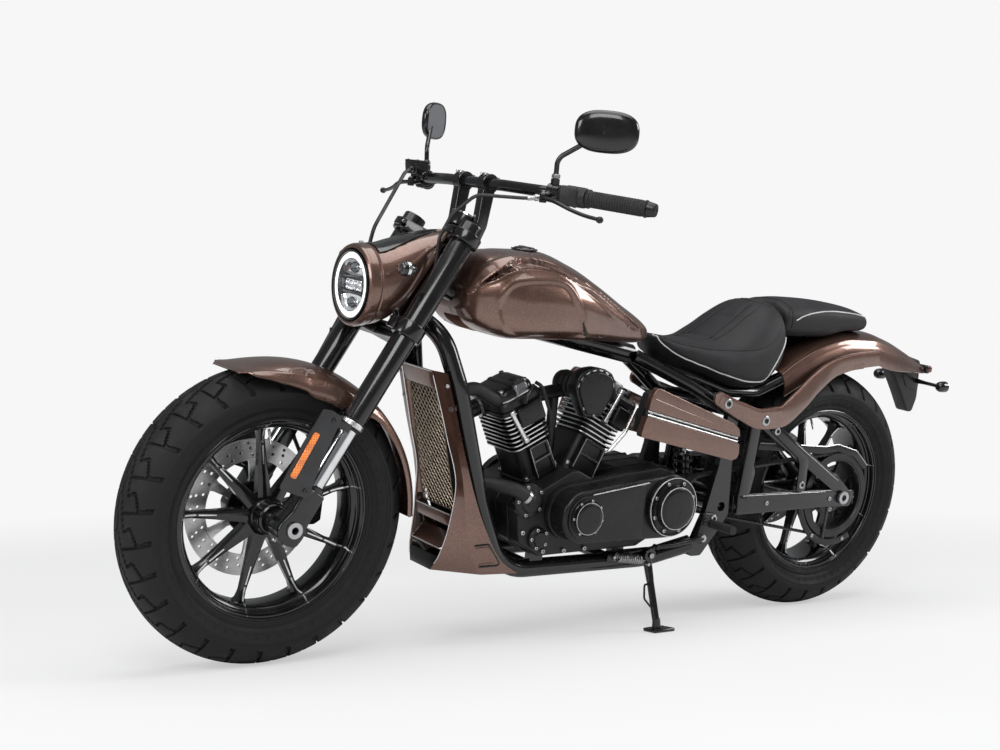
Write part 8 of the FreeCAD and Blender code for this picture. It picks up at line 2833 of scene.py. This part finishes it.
class MakeRunningGear(bpy.types.Operator):
    """Makes the swingarm, belt and guards, shock, exhaust, foot controls and sprung side stand"""

    bl_idname = "cruiser.running_gear"
    bl_label = "Running gear"

    def execute(self, context):
        return made(self.add_swingarm(), self.add_belt(), self.add_guards(), self.add_shock(),
                    self.add_headers(), self.add_silencers(), self.add_foot_controls(), self.add_bracket(),
                    self.add_stand())

    def add_swingarm(self):
        """Both sides of the swingarm with their cross tubes."""
        piece = Piece("swingarm_sides")
        lower = [(0.368, 0.346), (0.368, 0.292), (0.06, 0.298), (-0.034, 0.296), (-0.044, 0.314),
                 (-0.044, 0.34), (0.04, 0.344)]
        upper = [(-0.04, 0.326), (0.0, 0.362), (0.318, 0.554), (0.348, 0.53), (0.01, 0.326)]
        front = [(0.314, 0.54), (0.346, 0.546), (0.368, 0.332), (0.334, 0.326)]
        for side in (1, -1):
            low, high = sorted((0.132 * side, 0.15 * side))
            for outline, corner in ((lower, 0.006), (upper, 0.006), (front, 0.005)):
                piece.add(slab(outline, low, high, 0.0042, 4, corner), "gloss")
            face = 0.1492 * side
            for start, end in (((0.32, face, 0.5485), (0.02, face, 0.3675)),
                               ((0.352, face, 0.3405), (0.06, face, 0.3395))):
                piece.add(bar(start, end, 0.0011, sides=8), "edge")
            gusset = [(0.366, 0.344), (0.33, 0.344), (0.318, 0.4), (0.34, 0.44), (0.358, 0.4)]
            piece.add(slab(gusset, low + 0.002, high - 0.002, 0.003, 2, 0.006), "gloss")
            ring_washer(piece, (0.33, 0.15 * side, 0.54), (0, side, 0), 0.011)
            for x, z in ((0.045, 0.3205), (0.27, 0.3185)):
                piece.add(bolts([(x, 0.1495 * side, z)], (0, side, 0), 0.0055, 0.004), "bolt")
            end_cap = box((-0.0475, low + 0.002, 0.302), (-0.0435, high - 0.002, 0.338), 0.001)
            piece.add(end_cap, "satin")
            y = (low + high) / 2
            piece.add(bar((-0.0475, y, 0.32), (-0.05, y, 0.32), 0.006, sides=6), "bolt")
        piece.add(bar((0.33, -0.132, 0.54), (0.33, 0.132, 0.54), 0.012, sides=32), "gloss")
        piece.add(box((0.344, -0.133, 0.3), (0.368, 0.133, 0.34), 0.004, 3), "gloss")
        for side in (1, -1):
            piece.add(box((0.366, side * 0.056 - 0.014, 0.304), (0.414, side * 0.056 + 0.014, 0.33), 0.004,
                          2), "gloss")
        sleeve = [(0.01, 0.0), (0.017, 0.0), (0.017, 0.2334), (0.01, 0.2334)]
        piece.add(turned(sleeve, 40, closed=True), "gloss", at(0.418, -0.1167, 0.316))
        return piece.done(BIKE, "root", "frame_black", ["swingarm"])

    def add_belt(self):
        """A toothed belt round the engine's sprocket and the rear pulley."""
        piece = Piece("toothed_belt")
        rear, front = Vector((0, 0, 0.322)), Vector((0.47, 0, 0.345))
        big, small = 0.1083, 0.042
        gap = front - rear
        slope = math.atan2(gap.z, gap.x)
        lean = math.acos((big - small) / gap.length)

        def rim(centre, radius, start, end, steps):
            """An arc of the belt's track."""
            return [centre + Vector((math.cos(start + (end - start) * k / steps), 0,
                                     math.sin(start + (end - start) * k / steps))) * radius
                    for k in range(steps + 1)]

        def path(grow):
            """The belt's track, grown outward."""
            track = rim(rear, big + grow, slope + lean, slope + 2 * math.pi - lean, 72)
            return track + rim(front, small + grow, slope - lean, slope + lean, 28)

        rings = []
        for outer, inner in zip(path(0.0058), path(0.0016)):
            rings.append([Vector((outer.x, 0.1235, outer.z)), Vector((outer.x, 0.1005, outer.z)),
                          Vector((inner.x, 0.1005, inner.z)), Vector((inner.x, 0.1235, inner.z))])
        piece.add(loft(rings + rings[:1], capped=False), "belt")
        track = path(0.001)
        lengths = [0.0]
        for first, second in zip(track, track[1:] + track[:1]):
            lengths.append(lengths[-1] + (second - first).length)
        pitch = lengths[-1] / round(lengths[-1] / 0.0139)
        teeth = []
        place, index = 0.0, 0
        while place < lengths[-1] - pitch * 0.5:
            while lengths[index + 1] < place:
                index += 1
            first, second = track[index], track[(index + 1) % len(track)]
            share = (place - lengths[index]) / max(lengths[index + 1] - lengths[index], 1e-9)
            way = (second - first).normalized()
            teeth.append(placing(first.lerp(second, share), way, Y_AXIS, way.cross(Y_AXIS)))
            place += pitch
        piece.add(repeated(lambda: box((-0.0034, 0.1008, -0.0012), (0.0034, 0.1232, 0.0012)), teeth),
                  "belt")
        return piece.done(BIKE, "root", "belt", ["drive_belt"])

    def add_guards(self):
        """Plates over and behind the belt, and the bracket between the swingarm's tubes."""
        piece = Piece("belt_guards")
        rear = (0.0, 0.322)
        piece.add(crescent(rear, 0.1175, 0.1345, -122, 8, 0.1265, 0.1295), "satin")
        upper = [(0.3, 0.452), (0.296, 0.47), (0.06, 0.4545), (0.012, 0.459), (-0.06, 0.44), (-0.106, 0.4),
                 (-0.094, 0.388), (-0.05, 0.424), (0.01, 0.44), (0.06, 0.4345)]
        piece.add(slab(upper, 0.1265, 0.1295, 0.001, 2, 0.004), "satin")
        line = [Vector((x, 0.1296, z)) for x, z in ((0.294, 0.4695), (0.06, 0.454), (0.012, 0.4585),
                                                    (-0.06, 0.4395), (-0.106, 0.3995))]
        piece.add(pipe(line, 0.0012, bend=0.02, sides=8), "edge")
        bracket = [(0.288, 0.505), (0.262, 0.52), (0.15, 0.44), (0.142, 0.425), (0.142, 0.346),
                   (0.172, 0.346), (0.172, 0.415), (0.18, 0.432)]
        piece.add(slab(bracket, 0.15, 0.1545, 0.0012, 2, 0.006), "gloss")
        for x, z in ((0.266, 0.503), (0.157, 0.362)):
            ring_washer(piece, (x, 0.1545, z), (0, 1, 0), 0.0095)
        spots = spots_round(rear, 0.126, 0.1295, [math.radians(angle) for angle in (-110, -55, 0)])
        piece.add(bolts(spots, (0, 1, 0), 0.0048, 0.003), "bolt")
        stay = [Vector((0.03, 0.128, 0.206)), Vector((0.03, 0.13, 0.25)), Vector((0.03, 0.134, 0.3))]
        piece.add(pipe(stay, 0.0042, bend=0.02, sides=12), "gloss")
        return piece.done(BIKE, "root", "frame_black")

    def add_shock(self):
        """The damper with its spring."""
        piece = Piece("shock_and_spring")
        low, high = PIVOT + Z_AXIS * 0.01, Vector((0.455, 0, 0.566))
        way = (high - low).normalized()
        piece.add(bar(low + way * 0.012, high - way * 0.012, 0.0088, sides=28), "chrome")
        piece.add(bar(low + way * 0.034, low + way * 0.1, 0.019, sides=36, bevel=0.002), "gloss")
        piece.add(bar(high - way * 0.085, high - way * 0.04, 0.0195, sides=36, bevel=0.002), "gloss")
        for start in (0.04, (high - low).length - 0.05):
            cup = [(0.01, 0.0), (0.0245, 0.0), (0.026, 0.0015), (0.026, 0.0055), (0.0245, 0.007),
                   (0.01, 0.007)]
            piece.add(turned(cup, 44, closed=True), "satin", aimed(low + way * start, way))
        piece.add(coil(low + way * 0.048, high - way * 0.052, 0.0222, 0.0036, 7.5), "satin")
        return piece.done(BIKE, "root", "frame_black", ["rear_shock"])

    def add_headers(self):
        """The two pipes from the cylinders."""
        piece = Piece("exhaust_pipes")
        front = [(1.03, -0.03, 0.55), (1.092, -0.036, 0.52), (1.072, -0.104, 0.4), (1.048, -0.16, 0.29),
                 (0.9, -0.176, 0.236), (0.64, -0.194, 0.246), (0.56, -0.2, 0.25), (0.47, -0.2, 0.25)]
        rear = [(0.7, -0.03, 0.545), (0.65, -0.04, 0.521), (0.64, -0.084, 0.446), (0.626, -0.2, 0.4),
                (0.57, -0.2, 0.338), (0.47, -0.2, 0.338)]
        for points, bend in ((front, 0.055), (rear, 0.036)):
            points = [Vector(point) for point in points]
            piece.add(pipe(points, 0.0198, bend=bend, sides=36, resolution=10), "exhaust")
            way = (points[1] - points[0]).normalized()
            flange = turned([(0.0195, 0.0), (0.0262, 0.0), (0.027, 0.0015), (0.027, 0.0065),
                             (0.0258, 0.008), (0.0195, 0.008)], 40, closed=True)
            piece.add(flange, "bolt", aimed(points[0] + way * 0.016, way))
        return piece.done(BIKE, "root", "exhaust", ["exhaust_headers"])

    def add_silencers(self):
        """The two cans, one over the other."""
        piece = Piece("silencer_cans")
        for z, tail in ((0.25, -0.096), (0.338, 0.04)):
            place = aimed((0.47, SILENCER_Y, z), (-1, 0, 0))
            length = 0.47 - tail
            can = [(0.0202, 0.0), (0.0212, 0.0), (0.0228, 0.004), (0.0392, 0.05), (0.04, 0.054),
                   (0.04, 0.118), (0.039, 0.12), (0.039, 0.124), (0.04, 0.126), (0.04, length - 0.03),
                   (0.0392, length - 0.028), (0.0392, length - 0.024), (0.04, length - 0.022),
                   (0.04, length - 0.006), (0.038, length), (0.035, length), (0.0335, length - 0.006),
                   (0.0335, length - 0.04), (0.0, length - 0.04)]
            piece.add(turned(can, 72), "exhaust", place)
            band = turned([(0.0196, -0.018), (0.0222, -0.018), (0.0228, -0.016), (0.0228, 0.004),
                           (0.0214, 0.006)], 48)
            piece.add(band, "bolt", place)
            tip = turned([(0.0338, length - 0.0015), (0.0345, length + 0.0), (0.0378, length + 0.0),
                          (0.0384, length - 0.0015)], 64)
            piece.add(tip, "silver", place)
        hanger = slab([(0.25, 0.376), (0.22, 0.376), (0.226, 0.284), (0.244, 0.284)], -0.164, -0.158, 0.001,
                      2)
        piece.add(hanger, "gloss")
        return piece.done(BIKE, "root", "exhaust", ["silencers"])

    def add_foot_controls(self):
        """Pegs and pedals."""
        piece = Piece("pegs_and_levers")
        outline = [(0.482, 0.306), (0.434, 0.3), (0.44, 0.262), (0.478, 0.226), (0.5, 0.236)]
        for side in (1, -1):
            piece.add(side_plate(outline, 0.1453, 0.157, side, 0.003, 3, 0.006), "satin")
            ring_washer(piece, (0.45, 0.157 * side, 0.29), (0, side, 0), 0.0095)
            start, end = Vector((0.47, 0.149 * side, 0.282)), Vector((0.476, 0.257 * side, 0.286))
            way = (end - start).normalized()
            piece.add(bar(start, start + way * 0.03, 0.0095, 0.0085, 28, 0.001), "bolt")
            grooves = [(0.008, 0.024), (0.0105, 0.024)]
            spot = 0.03
            while spot < 0.098:
                grooves += [(0.011, spot), (0.011, spot + 0.0042), (0.0096, spot + 0.0052),
                            (0.0096, spot + 0.0068)]
                spot += 0.0078
            grooves += [(0.011, 0.1035), (0.0105, 0.1075), (0.0, 0.108)]
            piece.add(turned(grooves, 36), "rubber", aimed(start, way))
            lever = [(0.484, 0.163 * side, 0.244, 0.007, 0.007), (0.53, 0.166 * side, 0.24, 0.0052, 0.006),
                     (0.585, 0.169 * side, 0.235, 0.005, 0.0056),
                     (0.64, 0.165 * side, 0.232, 0.0048, 0.0056)]
            piece.add(arm(lever, 16, 8), "satin")
            near, far = (0.632, 0.156 * side, 0.2326), (0.632, 0.174 * side, 0.2326)
            piece.add(bar(near, far, 0.006, sides=24, bevel=0.001), "rubber")
            piece.add(bar((0.484, 0.146 * side, 0.244), (0.484, 0.168 * side, 0.244), 0.0088, sides=32,
                          bevel=0.001), "bolt")
        return piece.done(BIKE, "root", "steel", ["foot_controls"])

    def add_bracket(self):
        """The bracket that holds the side stand, with its spring."""
        piece = Piece("stand_bracket_plate")
        x, z = STAND_EYE.x, STAND_EYE.z
        outline = [(x - 0.03, z + 0.008), (x + 0.112, z + 0.006), (x + 0.116, z - 0.016),
                   (x + 0.02, z - 0.026), (x - 0.022, z - 0.022)]
        piece.add(slab(outline, 0.0915, 0.119, 0.003, 3, 0.006), "gloss")
        piece.add(bar((x, 0.111, z), (x, 0.145, z), 0.0068, sides=32, bevel=0.0008), "gloss")
        piece.add(bolts([(x, 0.1445, z)], (0, 1, 0), 0.0064, 0.002), "bolt")
        piece.add(bolts([(x + 0.05, 0.119, z - 0.008), (x + 0.092, 0.119, z - 0.006)], (0, 1, 0), 0.0065,
                        0.005), "bolt")
        post = Vector((x + 0.104, 0.117, z + 0.0))
        piece.add(bar(post, post + Vector((0, 0.017, 0)), 0.0042, sides=20, bevel=0.0006), "bolt")
        near, far = post + Vector((-0.008, 0.014, -0.001)), Vector((x + 0.024, 0.134, z - 0.01))
        piece.add(coil(near, far, 0.0098, 0.002, 12, 14, 8), "bolt")
        for start, end in ((post + Vector((0, 0.012, 0)), near),
                           (far, Vector((x + 0.01, 0.135, z - 0.014)))):
            piece.add(bar(start, end, 0.0019, sides=10), "bolt")
        return piece.done(BIKE, "root", "frame_black", ["stand_bracket"])

    def add_stand(self):
        """The leg with its fork, foot, hook and a small tab; its spring is on the bracket."""
        piece = Piece("stand_leg")
        x, z = STAND_EYE.x, STAND_EYE.z
        foot = Vector((0.617, 0.186, 0.0301))
        ring = [(0.0075, 0.0), (0.016, 0.0), (0.017, 0.001), (0.017, 0.017), (0.016, 0.018),
                (0.0075, 0.018)]
        piece.add(turned(ring, 44, closed=True), "gloss", at(x, 0.123, z))
        points = [Vector((x, 0.132, z - 0.008)), Vector((x - 0.001, 0.139, z - 0.04)),
                  foot + Vector((0.002, -0.003, 0.012))]
        piece.add(pipe(points, 0.0088, bend=0.03, sides=28), "gloss")
        way = (points[2] - points[1]).normalized()
        piece.add(bar(points[1] - way * 0.016, points[1] + way * 0.022, 0.0105, 0.0092, 32, 0.001), "gloss")
        low, high = foot + Vector((0.002, -0.003, 0.006)), foot + Vector((0.003, -0.006, 0.03))
        piece.add(bar(low, high, 0.011, 0.0092, 28, 0.001), "gloss")
        sole = Matrix.Translation(foot) @ spin(9.5, "X")
        piece.add(box((-0.0335, -0.0195, 0.0002), (0.0295, 0.0255, 0.0088), 0.003, 3), "gloss", sole)
        for y in (-0.012, 0.003, 0.018):
            piece.add(box((-0.028, y - 0.002, 0.0082), (0.024, y + 0.002, 0.0098), 0.0006, 1), "gloss",
                      sole)
        hook = [points[1] + way * 0.03 + Vector((0.004, 0, 0)),
                points[1] + way * 0.034 + Vector((0.026, 0.006, 0.006)),
                points[1] + way * 0.06 + Vector((0.034, 0.01, 0)),
                points[1] + way * 0.082 + Vector((0.014, 0.004, 0))]
        piece.add(pipe(hook, 0.0026, bend=0.008, sides=12), "gloss")
        tab = Vector((x + 0.01, 0.1395, z - 0.02))
        piece.add(bar(tab, tab + Vector((0, 0.01, 0)), 0.0038, sides=16), "bolt")
        return piece.done(BIKE, "stand", "steel", ["side_stand"])


PIECE_OPERATORS = [MakeFrontWheel, MakeRearWheel, MakeTank, MakeHeadlamp, MakeFork, MakeFrontFender,
                   MakeEngine, MakeHandlebar, MakeCowl, MakeSeats, MakeTail, MakeRunningGear]


CLASSES = [CruiserSettings, MakeStage] + PIECE_OPERATORS


class CruiserPanel(bpy.types.Panel):
    """Lists the steps that build the motorcycle"""

    bl_idname = "VIEW3D_PT_cruiser"
    bl_label = "Cruiser motorcycle"
    bl_space_type = "VIEW_3D"
    bl_region_type = "UI"
    bl_category = "Cruiser"

    def draw(self, context):
        chosen = context.scene.cruiser
        for name in ("paint", "leather", "piping", "reflector", "tread_depth", "tread_pitches", "spokes",
                     "fins", "lens"):
            self.layout.prop(chosen, name)
        self.layout.operator(MakeStage.bl_idname)
        for operator in PIECE_OPERATORS:
            self.layout.operator(operator.bl_idname)


def register():
    """Registers the classes and the scene's settings."""
    for kind in CLASSES + [CruiserPanel]:
        bpy.utils.register_class(kind)
    bpy.types.Scene.cruiser = PointerProperty(type=CruiserSettings)


def unregister():
    """Takes away what register added."""
    del bpy.types.Scene.cruiser
    for kind in reversed(CLASSES + [CruiserPanel]):
        bpy.utils.unregister_class(kind)


def main():
    """Builds everything in order."""
    register()
    for operator in [MakeStage] + PIECE_OPERATORS:
        group, name = operator.bl_idname.split(".")
        getattr(getattr(bpy.ops, group), name)()


if __name__ == "__main__":
    main()
